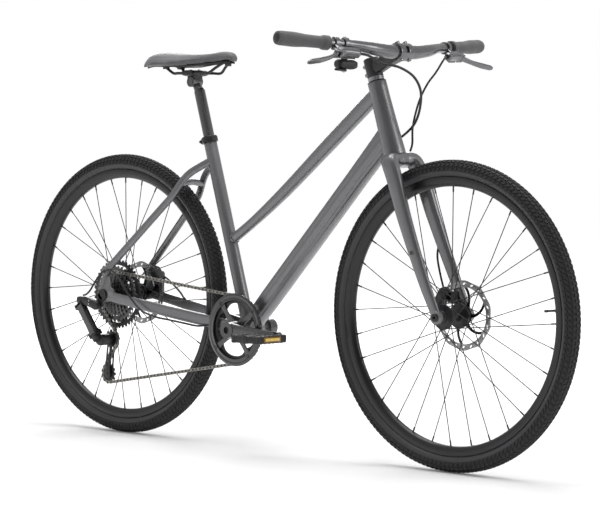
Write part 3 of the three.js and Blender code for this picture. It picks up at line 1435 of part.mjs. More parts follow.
function rightCrank() {
  const arms = spiderAngles.map((angle) => {
    const point = (radius, y) => at(radius * Math.cos(angle), y, radius * Math.sin(angle));
    const outward = point(1, 0);
    const middle = point(spiderReach / 2, -spiderInner - spiderThickness / 2);
    return block(middle, outward, sideways, outward.clone().cross(sideways),
      [spiderReach, spiderThickness, spiderArmWidth]);
  });
  const hub = rod(at(0, -spiderInner - seam, 0), at(0, -crankHubInner - seam, 0), crankBossRadius,
    roundFaces);
  const spindle = rod(at(0, -crankHubInner - seam, 0), at(0, crankHubOuter - spindleInset, 0),
    spindleRadius);
  const boltHole = rod(at(0, -crankHubOuter - overrun, 0), at(0, -crankHubOuter + overrun, 0),
    crankBoltBore, smallFaces);
  const body = cut(join(arms, hub, crankArm(-1, crankDirection(-1))), boltHole, pedalBore(-1));
  piece('crank_right', join(body, spindle), darkAlloy, crankGroup);
}
function leftCrank() {
  const bore = hole(at(0, 0, 0), at(0, crankHubOuter + overrun, 0), spindleRadius + seam);
  piece('crank_left', cut(crankArm(1, crankDirection(1)), bore, pedalBore(1)), darkAlloy, crankGroup);
}

// Flat pedal: two rails, a core round the axle and a strip for each reflector
function pedal(name, side) {
  const axleCentre = crankDirection(side).multiplyScalar(crankLength);
  const start = crankTipOuter + pedalGap;
  const point = (ahead, y, up = 0) => axleCentre.clone().setY(side * y).add(at(ahead, 0, up));
  const middle = start + pedalWidth / 2;
  const railCentre = (pedalLength - pedalRail) / 2;
  const rails = [-1,
    1].map((end) => crate(point(end * railCentre, middle), [pedalRail, pedalWidth, pedalThickness]));
  const [strutWide, strutHigh] = pedalStrutSizeShares;
  const strutSize = [pedalLength - pedalRail, pedalRail * strutWide, pedalThickness * strutHigh];
  const struts = pedalStrutShares.map((share) => crate(point(0, start + pedalWidth * share), strutSize));
  const core = rod(point(0, start), point(0, start + pedalWidth), pedalCoreRadius, smallFaces);
  const axle = rod(point(0, crankTipInner + pedalStep), point(0, start + pedalWidth - pedalCoreWall),
    pedalAxleRadius, tubeFaces);
  const flats = rod(point(0, crankTipOuter + seam), point(0, start + pedalStep),
    pedalAxleRadius * pedalFlatsShare, smallFaces);
  piece(name, join(rails, struts, core, axle, flats), blackPlastic, crankGroup);
}

// Cassette and freehub, turning on the rear axle
const cassetteGroup = new THREE.Group();
cassetteGroup.position.copy(rearAxle);
drivetrainGroup.add(cassetteGroup);
const sprocketPlace = (index) => largestSprocketPlace + index * sprocketSpacing;
function cassette() {
  const last = sprocketTeeth.length - 1;
  const sprockets = sprocketTeeth.map((teeth, index) => {
    const centre = -sprocketPlace(index);
    const tips = circle(pitchRadius(teeth) + toothHeight, teeth);
    return plate(index ? tips : toothedOutline(teeth), centre - sprocketThickness / 2,
      centre + sprocketThickness / 2);
  });
  const end = rearHubWidth / 2 - seam;
  const core = turned([
    [0, -freehubPlace - seam], [hubSeatRadius, -freehubPlace - seam],
    [pitchRadius(sprocketTeeth[0]) * cassetteCoreShares[0], -sprocketPlace(0)],
      [pitchRadius(sprocketTeeth[3]) - cassetteCoreWall * cassetteCoreShares[1], -sprocketPlace(3)],
    [lockringRadius, -sprocketPlace(last)], [lockringRadius, -sprocketPlace(last) - lockringLength],
    [hubEndRadius, -sprocketPlace(last) - lockringLength], [hubEndRadius, -end], [0, -end],
  ], at(0, 0, 0), sideways, stayFaces);
  const bore = hole(at(0, -end - overrun, 0), at(0, 0, 0), axleRadius + seam);
  piece('cassette', cut(join(core, sprockets), bore), steel, cassetteGroup);
}

// Chain: a belt of links round four wheels. sense is 1 where the chain passes over the wheel's
// top going forward, and -1 where it passes the other way.
const engagedTeeth = sprocketTeeth[engagedSprocket];
const chainWheels = [
  { centre: rearAxle, teeth: engagedTeeth, sense: 1, y: -sprocketPlace(engagedSprocket) },
  { centre: bracket, teeth: chainringTeeth, sense: 1, y: -chainLine },
  { centre: fromRearAxle(-tensionBehind, 0, -tensionDrop), teeth: pulleyTeeth, sense: 1,
    y: -sprocketPlace(engagedSprocket) },
  { centre: fromRearAxle(-guideBehind, 0, -guideDrop), teeth: pulleyTeeth, sense: -1,
    y: -sprocketPlace(engagedSprocket) },
];
function chainRun(from, to) {
  const [r1, r2] = [from.sense * pitchRadius(from.teeth), to.sense * pitchRadius(to.teeth)];
  const apart = to.centre.clone().sub(from.centre).setY(0);
  const heading = Math.atan2(apart.z, apart.x) - Math.asin((r1 - r2) / apart.length());
  const left = at(-Math.sin(heading), 0, Math.cos(heading));
  return {
    start: from.centre.clone().setY(from.y).addScaledVector(left, r1),
    end: to.centre.clone().setY(to.y).addScaledVector(left, r2),
    heading,
  };
}
function chainCurve() {
  const runs = chainWheels.map((wheelOf, index) =>
    chainRun(wheelOf, chainWheels[(index + 1) % chainWheels.length]));
  const stretches = runs.flatMap((run, index) => {
    const wheelOf = chainWheels[(index + 1) % chainWheels.length];
    const next = runs[(index + 1) % runs.length];
    const full = 2 * Math.PI;
    const turn = ((wheelOf.sense * (run.heading - next.heading)) % full + full) % full;
    const radius = pitchRadius(wheelOf.teeth);
    const arcPoint = (share) => {
      const heading = run.heading - wheelOf.sense * turn * share;
      return wheelOf.centre.clone().setY(wheelOf.y)
        .add(at(-Math.sin(heading), 0, Math.cos(heading)).multiplyScalar(wheelOf.sense * radius));
    };
    return [
      { length: run.start.distanceTo(run.end), point: (share) => run.start.clone().lerp(run.end, share),
        heading: () => run.heading },
      { length: turn * radius, point: arcPoint,
        heading: (share) => run.heading - wheelOf.sense * turn * share },
    ];
  });
  const total = stretches.reduce((sum, stretch) => sum + stretch.length, 0);
  return { stretches, total };
}
function chain() {
  const { stretches, total } = chainCurve();
  const links = 2 * Math.round(total / chainPitch / 2);
  const stations = counted(links).map((pin) => {
    let distance = pin * total / links;
    const stretch = stretches.find((candidate) => {
      if (distance <= candidate.length) return true;
      distance -= candidate.length;
      return false;
    }) ?? stretches.at(-1);
    const share = Math.min(distance / stretch.length, 1);
    const heading = stretch.heading(share);
    const up = at(-Math.sin(heading), 0, Math.cos(heading));
    const wide = pin % 2 ? chainHalfWidth : chainInnerHalfWidth;
    const centre = stretch.point(share);
    return [[-1, -1], [1, -1], [1, 1], [-1, 1]]
      .map(([y, z]) => centre.clone().addScaledVector(up, z * chainHalfHeight).add(at(0, y * wide, 0)));
  });
  const index = [];
  stations.forEach((_, row) => counted(4).forEach((i) => {
    const next = (i + 1) % 4;
    const after = (row + 1) % stations.length;
    const [a, b, c, d] = [row * 4 + i, row * 4 + next, after * 4 + next, after * 4 + i];
    index.push(a, b, c, a, c, d);
  }));
  const geometry = new THREE.BufferGeometry();
  geometry.setAttribute('position',
    new THREE.Float32BufferAttribute(stations.flat().flatMap((p) => p.toArray()), 3));
  geometry.setIndex(index);
  const teethRoom = chainWheels.map((wheelOf) => {
    const half = toothThickness / 2 + seam;
    const point = (side) => wheelOf.centre.clone().setY(wheelOf.y + side * half);
    const faces = Math.max(Math.round(wheelOf.teeth * chainRoomFaceShare), tubeFaces);
    const radius = (pitchRadius(wheelOf.teeth) + toothHeight + seam) / Math.cos(Math.PI / faces);
    return rod(point(-1), point(1), radius, faces);
  });
  piece('chain', cut(solid(geometry), teethRoom), steel, drivetrainGroup);
}

// Rear derailleur
const chainPlane = -sprocketPlace(engagedSprocket);
const linkTop = fromRearAxle(-linkPivotBehind, -linkPlace, -linkPivotDrop);
const linkFoot = fromRearAxle(-linkFootBehind, -linkPlace, -linkFootDrop);
const linkAlong = linkFoot.clone().sub(linkTop).normalize();
const linkPivotAxis = at(-linkAlong.z, 0, linkAlong.x);
const guideCentre = fromRearAxle(-guideBehind, chainPlane, -guideDrop);
const tensionCentre = fromRearAxle(-tensionBehind, chainPlane, -tensionDrop);
const alongLink = (origin, along, across, side = 0) =>
  origin.clone().addScaledVector(linkAlong, along).addScaledVector(linkPivotAxis,
    across).add(at(0, side, 0));

// Two ears and two pins at one end of the parallelogram. sign points away from the links.
function linkEars(origin, sign) {
  const earPlace = linkWidth / 2 + seam + linkEarThickness / 2;
  const webPlace = linkBossRadius + runningGap + linkEarThickness / 2;
  const spread = linkSpacing + 2 * linkBossRadius;
  const ears = [-1, 1].map((level) => block(
    alongLink(origin, sign * webPlace / 2, level * earPlace, linkSpacing / 2), linkAlong, linkPivotAxis,
      sideways,
    [webPlace + linkEarThickness + linkPinRadius * 2, linkEarThickness, spread]));
  const web = block(alongLink(origin, sign * webPlace, 0, linkSpacing / 2), linkAlong, linkPivotAxis,
    sideways,
    [linkEarThickness, linkWidth + 2 * linkEarThickness + 2 * seam, spread]);
  const pins = [0, linkSpacing].map((y) =>
    rod(alongLink(origin, 0, -earPlace, y), alongLink(origin, 0, earPlace, y), linkPinRadius,
      smallFaces));
  return join(ears, web, pins);
}

function derailleurLink(name, y, width) {
  const length = linkTop.distanceTo(linkFoot);
  const body = block(alongLink(linkTop, length / 2, 0, y), linkAlong, linkPivotAxis, sideways,
    [length, width, linkThickness]);
  const ends = [0, length].map((along) =>
    rod(alongLink(linkTop, along, -linkWidth / 2, y), alongLink(linkTop, along, linkWidth / 2, y),
      linkBossRadius, smallFaces));
  const bores = [0, length].map((along) =>
    hole(alongLink(linkTop, along, -linkWidth, y), alongLink(linkTop, along, linkWidth, y),
      linkPinRadius + seam, smallFaces));
  piece(name, cut(join(body, ends), bores), blackAlloy, drivetrainGroup);
}

// Hanger and upper knuckle: from the axle down to the bolt and back to the links
const hangerInner = dropoutPlace + dropoutThickness + seam;
const hangerOuter = hangerInner + hangerThickness;
function upperKnuckle() {
  const boltAt = (y) => fromRearAxle(-hangerBoltBehind, -y, -hangerBoltDrop);
  const eye = rod(fromRearAxle(0, -hangerInner, 0), fromRearAxle(0, -hangerOuter, 0), hangerEyeRadius);
  const arm = block(fromRearAxle(-hangerBoltBehind / 2, -(hangerInner + hangerOuter) / 2,
    -hangerBoltDrop / 2),
    forward, sideways, upward, [2 * hangerBoltRadius, hangerThickness, hangerBoltDrop * hangerArmShare]);
  const knuckleY = (linkPlace + linkPlace - linkSpacing) / 2;
  const station = (row, ahead, y, up) => {
    const [place, drop, deep, across] = knuckleShares[row];
    return {
      at: fromRearAxle(-ahead * place, -y, -up * drop),
      across: knuckleWidth * across,
      deep: knuckleHeight * deep,
      squareness: knuckleSquareShare,
    };
  };
  const boltBarrel = rod(boltAt(hangerInner), boltAt(linkPlace + linkBossRadius),
    hangerBoltRadius * hangerBarrelShare, smallFaces);
  const body = tube([
    station(0, hangerBoltBehind - hangerBoltRadius, linkPlace - knuckleInset, hangerBoltDrop),
    station(1, hangerBoltBehind + hangerBoltRadius, linkPlace - knuckleInset, hangerBoltDrop),
    station(2, linkPivotBehind, knuckleY, linkPivotDrop),
    station(3, linkPivotBehind + 2 * linkBossRadius, knuckleY, linkPivotDrop),
  ], { steps: 3, faces: stayFaces });
  const linkSweep = block(alongLink(linkTop, linkBossRadius * 2 - seam, 0, linkSpacing / 2), linkAlong,
    linkPivotAxis, sideways,
    [linkBossRadius * 6, linkWidth + 2 * seam, linkSpacing * 6]);
  const shell = cut(join(body, eye, arm, boltBarrel), linkSweep, axleBore(rearAxle));
  piece('derailleur_knuckle', join(shell, linkEars(linkTop, -1)), blackAlloy, drivetrainGroup);
}

function lowerKnuckle() {
  const inner = chainPlane - cageGap / 2 - cageThickness - runningGap;
  const outer = -linkPlace + linkSpacing - linkBossRadius;
  const centre = (y) => guideCentre.clone().setY(y);
  const barrel = rod(centre(inner), centre(outer), knuckleBodyRadius);
  const webPlace = linkBossRadius + runningGap + linkEarThickness;
  const neckFoot = alongLink(linkFoot, webPlace, 0, linkSpacing / 2);
  const neck = tube([
    { at: neckFoot, across: linkSpacing + 2 * linkBossRadius, deep: linkWidth,
      squareness: knuckleNeckSquareShares[0] },
    {
      at: centre(outer).add(at(0, -linkSpacing / 3, 0)),
      across: linkSpacing,
      deep: linkWidth * knuckleNeckShare,
      squareness: knuckleNeckSquareShares[1],
    },
  ], { faces: smallFaces });
  const linkSweep = block(alongLink(linkFoot, -linkBossRadius * 2 + seam, 0, linkSpacing / 2), linkAlong,
    linkPivotAxis, sideways,
    [linkBossRadius * 6, linkWidth + 2 * seam, linkSpacing * 6]);
  const bore = hole(centre(inner + overrun), centre(inner - overrun * 2), cagePivotRadius + seam,
    smallFaces);
  const shell = cut(join(barrel, neck), linkSweep, bore);
  piece('derailleur_lower_knuckle', join(shell, linkEars(linkFoot, 1)), blackAlloy, drivetrainGroup);
}

function derailleurCage() {
  const toward = tensionCentre.clone().sub(guideCentre);
  const across = at(-toward.z, 0, toward.x).normalize();
  const outline = (low, high) => {
    const place = (centre, y) => centre.clone().setY(y);
    const middle = guideCentre.clone().lerp(tensionCentre, 0.5).setY((low + high) / 2);
    return join(
      rod(place(guideCentre, low), place(guideCentre, high), cageTopRadius, barFaces),
      rod(place(tensionCentre, low), place(tensionCentre, high), cageFootRadius, barFaces),
      block(middle, toward.clone().normalize(), sideways, across,
        [toward.length(), high - low, cageWaist]));
  };
  const inner = chainPlane + cageGap / 2;
  const outer = chainPlane - cageGap / 2;
  const plates = [outline(inner, inner + cageThickness), outline(outer - cageThickness, outer)];
  const bolts = [guideCentre, tensionCentre].map((centre) =>
    rod(centre.clone().setY(outer - seam), centre.clone().setY(inner + seam), pulleyBoltRadius,
      smallFaces));
  const pivot = rod(guideCentre.clone().setY(outer - seam),
    guideCentre.clone().setY(outer - cageThickness - runningGap - overrun), cagePivotRadius, smallFaces);
  piece('derailleur_cage', join(plates, bolts, pivot), blackAlloy, drivetrainGroup);
}
function pulley(name, centre) {
  const group = new THREE.Group();
  group.position.copy(centre);
  drivetrainGroup.add(group);
  const teeth = plate(toothedOutline(pulleyTeeth), -toothThickness / 2, toothThickness / 2);
  const body = rod(at(0, -pulleyWidth / 2, 0), at(0, pulleyWidth / 2, 0), pulleyBodyRadius, smallFaces);
  const bore = hole(at(0, -pulleyWidth, 0), at(0, pulleyWidth, 0), pulleyBoltRadius + seam, smallFaces);
  piece(name, cut(join(teeth, body), bore), blackPlastic, group);
}

// Hoses and housings, along routes chosen by hand
function controlHoses() {
  const right = leverFrame(-1);
  const start = right.from(-leverBodyLength * leverInnerShare - 3 * seam, leverBodyReach);
  const route = [
    start, start.clone().addScaledVector(right.out, -18).add(at(4, 0, -3)),
    at(398, -92, 922), at(416, -50, 912), at(428, -16, 892), at(428, 8, 862), at(412, 26, 822),
      at(386, 38, 786),
    at(352, 41, 760), at(322, 36, 742), at(304, 29.5, 731),
  ];
  piece('control_hoses', hose(route, hoseRadius * controlHoseShare), hoseSkin, steeringGroup);
}
function frontBrakeHose() {
  const left = leverFrame(1);
  const start = left.from(-leverBodyLength * leverInnerShare - 3 * seam, leverBodyReach);
  const route = [
    start, start.clone().addScaledVector(left.out, -14).add(at(2, 0, -2)),
    at(386, 112, 904), at(380, 92, 880), at(374, 74, 848), at(371, 60, 812), at(371, 49, 775),
      at(376, 42, 738),
  ];
  const [portUp, portAhead, portSide] = crownPortShares;
  const crownPort = steerPoint(crownHeight * portUp, forkShoulderAhead * portAhead,
    forkShoulderSpread * portSide);
  piece('front_brake_hose', hose([...route, crownPort]), hoseSkin, steeringGroup);
}
function rearShiftHousing() {
  const route = [
    at(-597, -88, 349), at(-583, -92, 352), at(-566, -95, 362), at(-545, -96, 386), at(-519, -94, 412),
      at(-489, -91, 416),
    at(-455, -89, 386), at(-427, -88, 353), at(-390, -85, 322), at(-347, -80, 308), at(-301, -74, 302),
      at(-256, -66, 296),
    at(-224, -56, 291),
  ];
  piece('rear_shift_housing', hose(route), hoseSkin, frameGroup);
}

headTube();
headsetBearing('upper_headset_bearing', headTubeLength - bearingDepth - seam, 1, steererRadius);
headsetBearing('lower_headset_bearing', seam, bearingDepth / headTubeLength, crownSteererRadius);
seatTube();
topTube();
downTube();
bottomBracket();
seatStay('seatstay_right', -1, []);
seatStay('seatstay_left', 1, [cut(stayBridge(), rightStayForBridge())]);
chainStay('chainstay_right', -1);
chainStay('chainstay_left', 1);
seatCollar();
throughAxle('rear_axle', rearAxle, 1, hangerOuter + seam, dropoutPlace + dropoutThickness, frameGroup);
const forkOuter = frontHubWidth / 2 + forkTipThickness;
throughAxle('front_axle', frontAxle, -1, forkOuter, forkOuter, steeringGroup);
fork();
headsetSpacers();
stem();
handlebar();
grip('grip_right', -1);
grip('grip_left', 1);
brakeLeverBody('brake_lever_body_right', -1);
brakeLeverBody('brake_lever_body_left', 1);
brakeLever('brake_lever_right', -1);
brakeLever('brake_lever_left', 1);
shifter();
thumbLever();
seatPost();
saddleClamp();
saddleRails();
saddleCover();
saddleBase();
chainring();
chainringGuard();
rightCrank();
leftCrank();
pedal('pedal_right', -1);
pedal('pedal_left', 1);
cassette();
chain();
upperKnuckle();
derailleurLink('derailleur_outer_link', 0, linkWidth);
derailleurLink('derailleur_inner_link', linkSpacing, linkWidth * innerLinkShare);
lowerKnuckle();
derailleurCage();
pulley('guide_pulley', guideCentre);
pulley('tension_pulley', tensionCentre);
controlHoses();
frontBrakeHose();
rearShiftHousing();

// Brake calipers on their rotors, each with the first stretch of its hose
const rotorEdge = rotorRadius - rotorBand / 2;
const caliperCentre = (axle, place, angle) => axle.clone()
  .add(at(rotorEdge * Math.cos(angle), place, rotorEdge * Math.sin(angle)));
const tangentOf = (angle) => at(-Math.sin(angle), 0, Math.cos(angle));
const caliperSide = rotorThickness / 2 + caliperGap;
const armPlace = caliperSide + caliperWidth * caliperArmShares[1] / 2;
const caliperBase = caliperWidth * caliperBaseShare;

const rearAngle = radians(rearCaliperAngle);
const rearCaliperAt = caliperCentre(rearAxle, rearRotorPlace, rearAngle);
const rearLead = (ahead, up) => rearCaliperAt.clone().add(at(ahead, caliperBase, up));
caliper('rear_caliper', rearCaliperAt, tangentOf(rearAngle).negate(),
  { offset: at(0, armPlace, -caliperHeight * caliperArmDropShare), shares: caliperArmShares }, frameGroup,
    [chainStayTube(1, seam)],
  [rearLead(caliperLength * 0.25, 0), rearLead(caliperLength * 0.8, -caliperHeight * 0.5),
    rearLead(caliperLength * 1.3, -caliperHeight * 1.1)]);

const frontAngle = radians(frontCaliperAngle);
const frontCaliperAt = caliperCentre(frontAxle, frontRotorPlace, frontAngle);
const frontLead = (ahead, up) => frontCaliperAt.clone().add(at(ahead, caliperBase, up));
caliper('front_caliper', frontCaliperAt, tangentOf(frontAngle).negate(),
  { offset: at(caliperHeight, armPlace, 0), shares: caliperArmShares }, steeringGroup, [forkLeg(1, seam)],
  [frontLead(-frontLeadSetback, caliperHeight * 0.5),
    frontLead(-caliperHeight * 0.6, caliperLength * 1.2),
    frontLead(-caliperHeight * 0.9, caliperLength * 2)]);

export default bicycle;
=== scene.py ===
import math
import bpy
import bmesh
from mathutils import Matrix, Vector


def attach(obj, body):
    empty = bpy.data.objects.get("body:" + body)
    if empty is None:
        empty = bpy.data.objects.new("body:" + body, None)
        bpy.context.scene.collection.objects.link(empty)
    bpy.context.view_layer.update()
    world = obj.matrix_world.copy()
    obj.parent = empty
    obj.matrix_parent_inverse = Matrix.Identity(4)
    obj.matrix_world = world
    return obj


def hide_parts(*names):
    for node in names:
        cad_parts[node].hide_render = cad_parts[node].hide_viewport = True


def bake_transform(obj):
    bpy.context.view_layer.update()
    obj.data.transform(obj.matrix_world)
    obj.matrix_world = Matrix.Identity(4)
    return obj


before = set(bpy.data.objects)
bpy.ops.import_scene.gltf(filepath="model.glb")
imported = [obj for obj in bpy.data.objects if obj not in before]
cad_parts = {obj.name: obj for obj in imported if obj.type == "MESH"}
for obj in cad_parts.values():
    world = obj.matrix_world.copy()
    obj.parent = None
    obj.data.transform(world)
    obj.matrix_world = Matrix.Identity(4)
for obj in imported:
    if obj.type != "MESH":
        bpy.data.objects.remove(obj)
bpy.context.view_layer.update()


class Look(dict):
    # a dictionary whose values also read as look.width
    __getattr__ = dict.__getitem__


# Everything is drawn in millimetres and brought to metres when a piece is settled.
layout = Look(wheelBase=1070, tyreRadius=353, bracketBehind=100, bracketHeight=288.5, headAngle=71.5,
    seatAngle=73.2, forkLength=395, forkRake=52, headTubeLength=178, seatTubeLength=477,
    hubFrontWidth=100, hubRearWidth=142, chainPitch=12.7, chainLine=45)
across, forward, upward = Vector((0, 1, 0)), Vector((1, 0, 0)), Vector((0, 0, 1))
fullTurn = 2 * math.pi
clearance = 0.3


def spot(x, y, z):
    return Vector((x, y, z))


def onCircle(radius, angle):
    return radius * math.cos(angle), radius * math.sin(angle)


def polar(radius, angle, y=0):
    return spot(radius * math.cos(angle), y, radius * math.sin(angle))


def mix(low, high, share):
    return low + (high - low) * share


frontAxle = spot(layout.wheelBase / 2, 0, layout.tyreRadius)
rearAxle = spot(-layout.wheelBase / 2, 0, layout.tyreRadius)
bracket = spot(-layout.bracketBehind, 0, layout.bracketHeight)
headTilt = math.radians(layout.headAngle)
seatTilt = math.radians(layout.seatAngle)
steerUp = spot(-math.cos(headTilt), 0, math.sin(headTilt))
steerAhead = spot(steerUp.z, 0, -steerUp.x)
seatUp = spot(-math.cos(seatTilt), 0, math.sin(seatTilt))
seatAhead = spot(seatUp.z, 0, -seatUp.x)
headFoot = frontAxle - steerAhead * layout.forkRake + steerUp * layout.forkLength


def steerPoint(along, ahead=0, side=0):
    return headFoot + steerUp * along + steerAhead * ahead + across * side


def seatPoint(along, ahead=0, side=0):
    return bracket + seatUp * along + seatAhead * ahead + across * side


def fromRear(ahead, side, up):
    return rearAxle + spot(ahead, side, up)


# Camera at the photograph's place
view = Look(place=(4158.02, -4423.89, 773.87), yaw=42.7686, dip=2.8439, roll=0.3682, focal=2541.85,
    frameWidth=600, sensor=36)


def addCamera():
    yaw, dip, roll = (math.radians(view[key]) for key in ("yaw", "dip", "roll"))
    ahead = spot(-math.sin(yaw) * math.cos(dip), math.cos(yaw) * math.cos(dip), -math.sin(dip))
    flat = spot(math.cos(yaw), math.sin(yaw), 0)
    rise = flat.cross(ahead)
    right = flat * math.cos(roll) + rise * math.sin(roll)
    up = rise * math.cos(roll) - flat * math.sin(roll)
    bpy.ops.object.camera_add()
    camera = bpy.context.object
    camera.name = "photoCamera"
    turn = Matrix((right, up, -ahead)).transposed().to_4x4()
    camera.matrix_world = Matrix.Translation(Vector(view.place) / 1000) @ turn
    camera.data.sensor_width = view.sensor
    camera.data.lens = view.focal * view.sensor / view.frameWidth
    camera.data.clip_start, camera.data.clip_end = 0.1, 100
    bpy.context.scene.camera = camera


addCamera()
print("camera placed")


# Modelling helpers
def clear():
    if bpy.context.object and bpy.context.object.mode != "OBJECT":
        bpy.ops.object.mode_set(mode="OBJECT")
    bpy.ops.object.select_all(action="DESELECT")


def choose(*pieces):
    clear()
    for piece in pieces:
        piece.select_set(True)
    bpy.context.view_layer.objects.active = pieces[0]


def named(name):
    piece = bpy.context.object
    piece.name = piece.data.name = name
    return piece


def startEdit():
    bpy.ops.object.mode_set(mode="EDIT")
    bpy.ops.mesh.select_all(action="SELECT")
    return bmesh.from_edit_mesh(bpy.context.object.data)


def faceOutwards(merge=0):
    # the last steps in edit mode
    bpy.ops.mesh.select_all(action="SELECT")
    if merge:
        bpy.ops.mesh.remove_doubles(threshold=merge)
    bpy.ops.mesh.normals_make_consistent(inside=False)
    bpy.ops.object.mode_set(mode="OBJECT")
    return bpy.context.object


def ringDirections(ahead, reference):
    side = (reference - ahead * reference.dot(ahead)).normalized()
    return side, ahead.cross(side)


def ovalRing(wide, deep, count, squareness=1.0):
    ring = []
    for index in range(count):
        angle = (index + 0.5) * fullTurn / count
        u, v = math.cos(angle), math.sin(angle)
        ring.append((wide / 2 * math.copysign(abs(u) ** squareness, u),
            deep / 2 * math.copysign(abs(v) ** squareness, v)))
    return ring


def smoothPath(points, share):
    # the same centripetal curve as the solids follow
    count = len(points)
    place = share * (count - 1)
    index = min(int(place), count - 2)
    weight = place - index
    p1, p2 = points[index], points[index + 1]
    p0 = points[index - 1] if index else p1 * 2 - p2
    p3 = points[index + 2] if index + 2 < count else p2 * 2 - p1
    d1 = math.sqrt((p2 - p1).length) or 1
    d0 = math.sqrt((p1 - p0).length) or d1
    d2 = math.sqrt((p3 - p2).length) or d1
    t1 = ((p1 - p0) / d0 - (p2 - p0) / (d0 + d1) + (p2 - p1) / d1) * d1
    t2 = ((p2 - p1) / d1 - (p3 - p1) / (d1 + d2) + (p3 - p2) / d2) * d1
    c2 = p1 * -3 + p2 * 3 - t1 * 2 - t2
    c3 = p1 * 2 - p2 * 2 + t1 + t2
    return p1 + t1 * weight + c2 * weight ** 2 + c3 * weight ** 3


def pathDirection(points, share):
    low, high = max(share - 0.0005, 0), min(share + 0.0005, 1)
    return (smoothPath(points, high) - smoothPath(points, low)).normalized()


def tubeRings(stations, steps, sides, reference=across, shape=ovalRing):
    # a station is (place, width, depth, squareness)
    points = [station[0] for station in stations]
    rings = []
    for step in range(steps + 1):
        share = step / steps
        place = share * (len(stations) - 1)
        low = min(int(place), len(stations) - 2)
        wide, deep, square = (mix(stations[low][key], stations[low + 1][key], place - low)
            for key in (1, 2, 3))
        centre = smoothPath(points, share)
        side, other = ringDirections(pathDirection(points, share), reference)
        rings.append([centre + side * u + other * v for u, v in shape(wide, deep, sides, square)])
    return rings


def placeSelected(oldRing, newRing):
    mesh = bmesh.from_edit_mesh(bpy.context.object.data)
    for vert in mesh.verts:
        if vert.select:
            index = min(range(len(oldRing)), key=lambda i: (oldRing[i] - vert.co).length_squared)
            vert.co = newRing[index]
    bmesh.update_edit_mesh(bpy.context.object.data)


def loft(name, rings, capped=True, closed=False):
    # a circle is drawn out ring by ring
    clear()
    bpy.ops.mesh.primitive_circle_add(vertices=len(rings[0]), radius=1)
    named(name)
    for vert, place in zip(startEdit().verts, rings[0]):
        vert.co = place
    for before, after in zip(rings, rings[1:]):
        bpy.ops.mesh.extrude_region_move()
        placeSelected(before, after)
    if closed:
        bpy.ops.mesh.select_all(action="SELECT")
        bpy.ops.mesh.select_non_manifold(extend=False)
        bpy.ops.mesh.bridge_edge_loops()
    if capped:
        bpy.ops.mesh.select_all(action="SELECT")
        bpy.ops.mesh.fill_holes(sides=0)
    return faceOutwards()


def tube(name, stations, steps=24, sides=24, reference=across, shape=ovalRing):
    return loft(name, tubeRings(stations, steps, sides, reference, shape))


def spun(name, profile, centre=Vector(), axis=across, sides=64, closed=True):
    # a profile of (radius, place along the axis) is spun round the axis; an open one starts and ends on
    # it
    clear()
    bpy.ops.mesh.primitive_circle_add(vertices=len(profile), radius=1)
    piece = named(name)
    outward, _ = ringDirections(axis, upward if abs(axis.z) < 0.9 else forward)
    bpy.ops.object.mode_set(mode="EDIT")
    mesh = bmesh.from_edit_mesh(piece.data)
    for vert, (radius, along) in zip(mesh.verts, profile):
        vert.co = centre + axis * along + outward * radius
    if not closed:
        mesh.edges.ensure_lookup_table()
        axisEdge = next(edge for edge in mesh.edges
            if {vert.index for vert in edge.verts} == {0, len(profile) - 1})
        bmesh.ops.delete(mesh, geom=[axisEdge], context="EDGES")
    bmesh.update_edit_mesh(piece.data)
    bpy.ops.mesh.select_all(action="SELECT")
    bpy.ops.mesh.spin(steps=sides, angle=fullTurn, center=centre, axis=axis)
    return faceOutwards(0.002)


def rod(name, start, end, radius, sides=24, edge=0.0, endRadius=None):
    # a cylinder between two points, with its rims bevelled
    along = end - start
    clear()
    bpy.ops.mesh.primitive_cone_add(vertices=sides, radius1=radius,
        radius2=radius if endRadius is None else endRadius, depth=along.length, end_fill_type="NGON")
    piece = named(name)
    if edge:
        bpy.ops.object.mode_set(mode="EDIT")
        mesh = bmesh.from_edit_mesh(piece.data)
        for face in mesh.faces:
            face.select_set(abs(face.normal.z) > 0.99)
        bmesh.update_edit_mesh(piece.data)
        bpy.ops.mesh.bevel(offset=edge, segments=2, affect="EDGES")
        bpy.ops.object.mode_set(mode="OBJECT")
    turn = along.normalized().to_track_quat("Z", "Y").to_matrix().to_4x4()
    piece.matrix_world = Matrix.Translation((start + end) / 2) @ turn
    choose(piece)
    bpy.ops.object.transform_apply()
    return piece


def boxAt(name, centre, size, directions=(forward, across, upward), edge=0.0, segments=2):
    clear()
    bpy.ops.mesh.primitive_cube_add(size=1)
    piece = named(name)
    basis = Matrix([direction * length for direction,
        length in zip(directions, size)]).transposed().to_4x4()
    piece.matrix_world = Matrix.Translation(centre) @ basis
    bpy.ops.object.transform_apply()
    if edge:
        softenEdges(piece, edge, segments)
    return piece


def applyAll(piece):
    choose(piece)
    for modifier in list(piece.modifiers):
        bpy.ops.object.modifier_apply(modifier=modifier.name)


def softenEdges(piece, width, segments=2, limit=35):
    bevel = piece.modifiers.new("edgeRound", "BEVEL")
    bevel.width, bevel.segments = width, segments
    bevel.limit_method, bevel.angle_limit = "ANGLE", math.radians(limit)
    applyAll(piece)
    return piece


def combine(operation, piece, tools):
    for tool in tools:
        work = piece.modifiers.new("combine", "BOOLEAN")
        work.operation, work.solver, work.object = operation, "EXACT", tool
        applyAll(piece)
        bpy.data.objects.remove(tool)
    return piece


def cutAway(piece, *tools):
    return combine("DIFFERENCE", piece, tools)


def unite(piece, *others):
    return combine("UNION", piece, others)


def together(name, *pieces):
    choose(*pieces)
    if len(pieces) > 1:
        bpy.ops.object.join()
    return named(name)


def copyOf(piece, matrix):
    twin = piece.copy()
    twin.data = piece.data.copy()
    bpy.context.collection.objects.link(twin)
    twin.data.transform(matrix)
    return twin


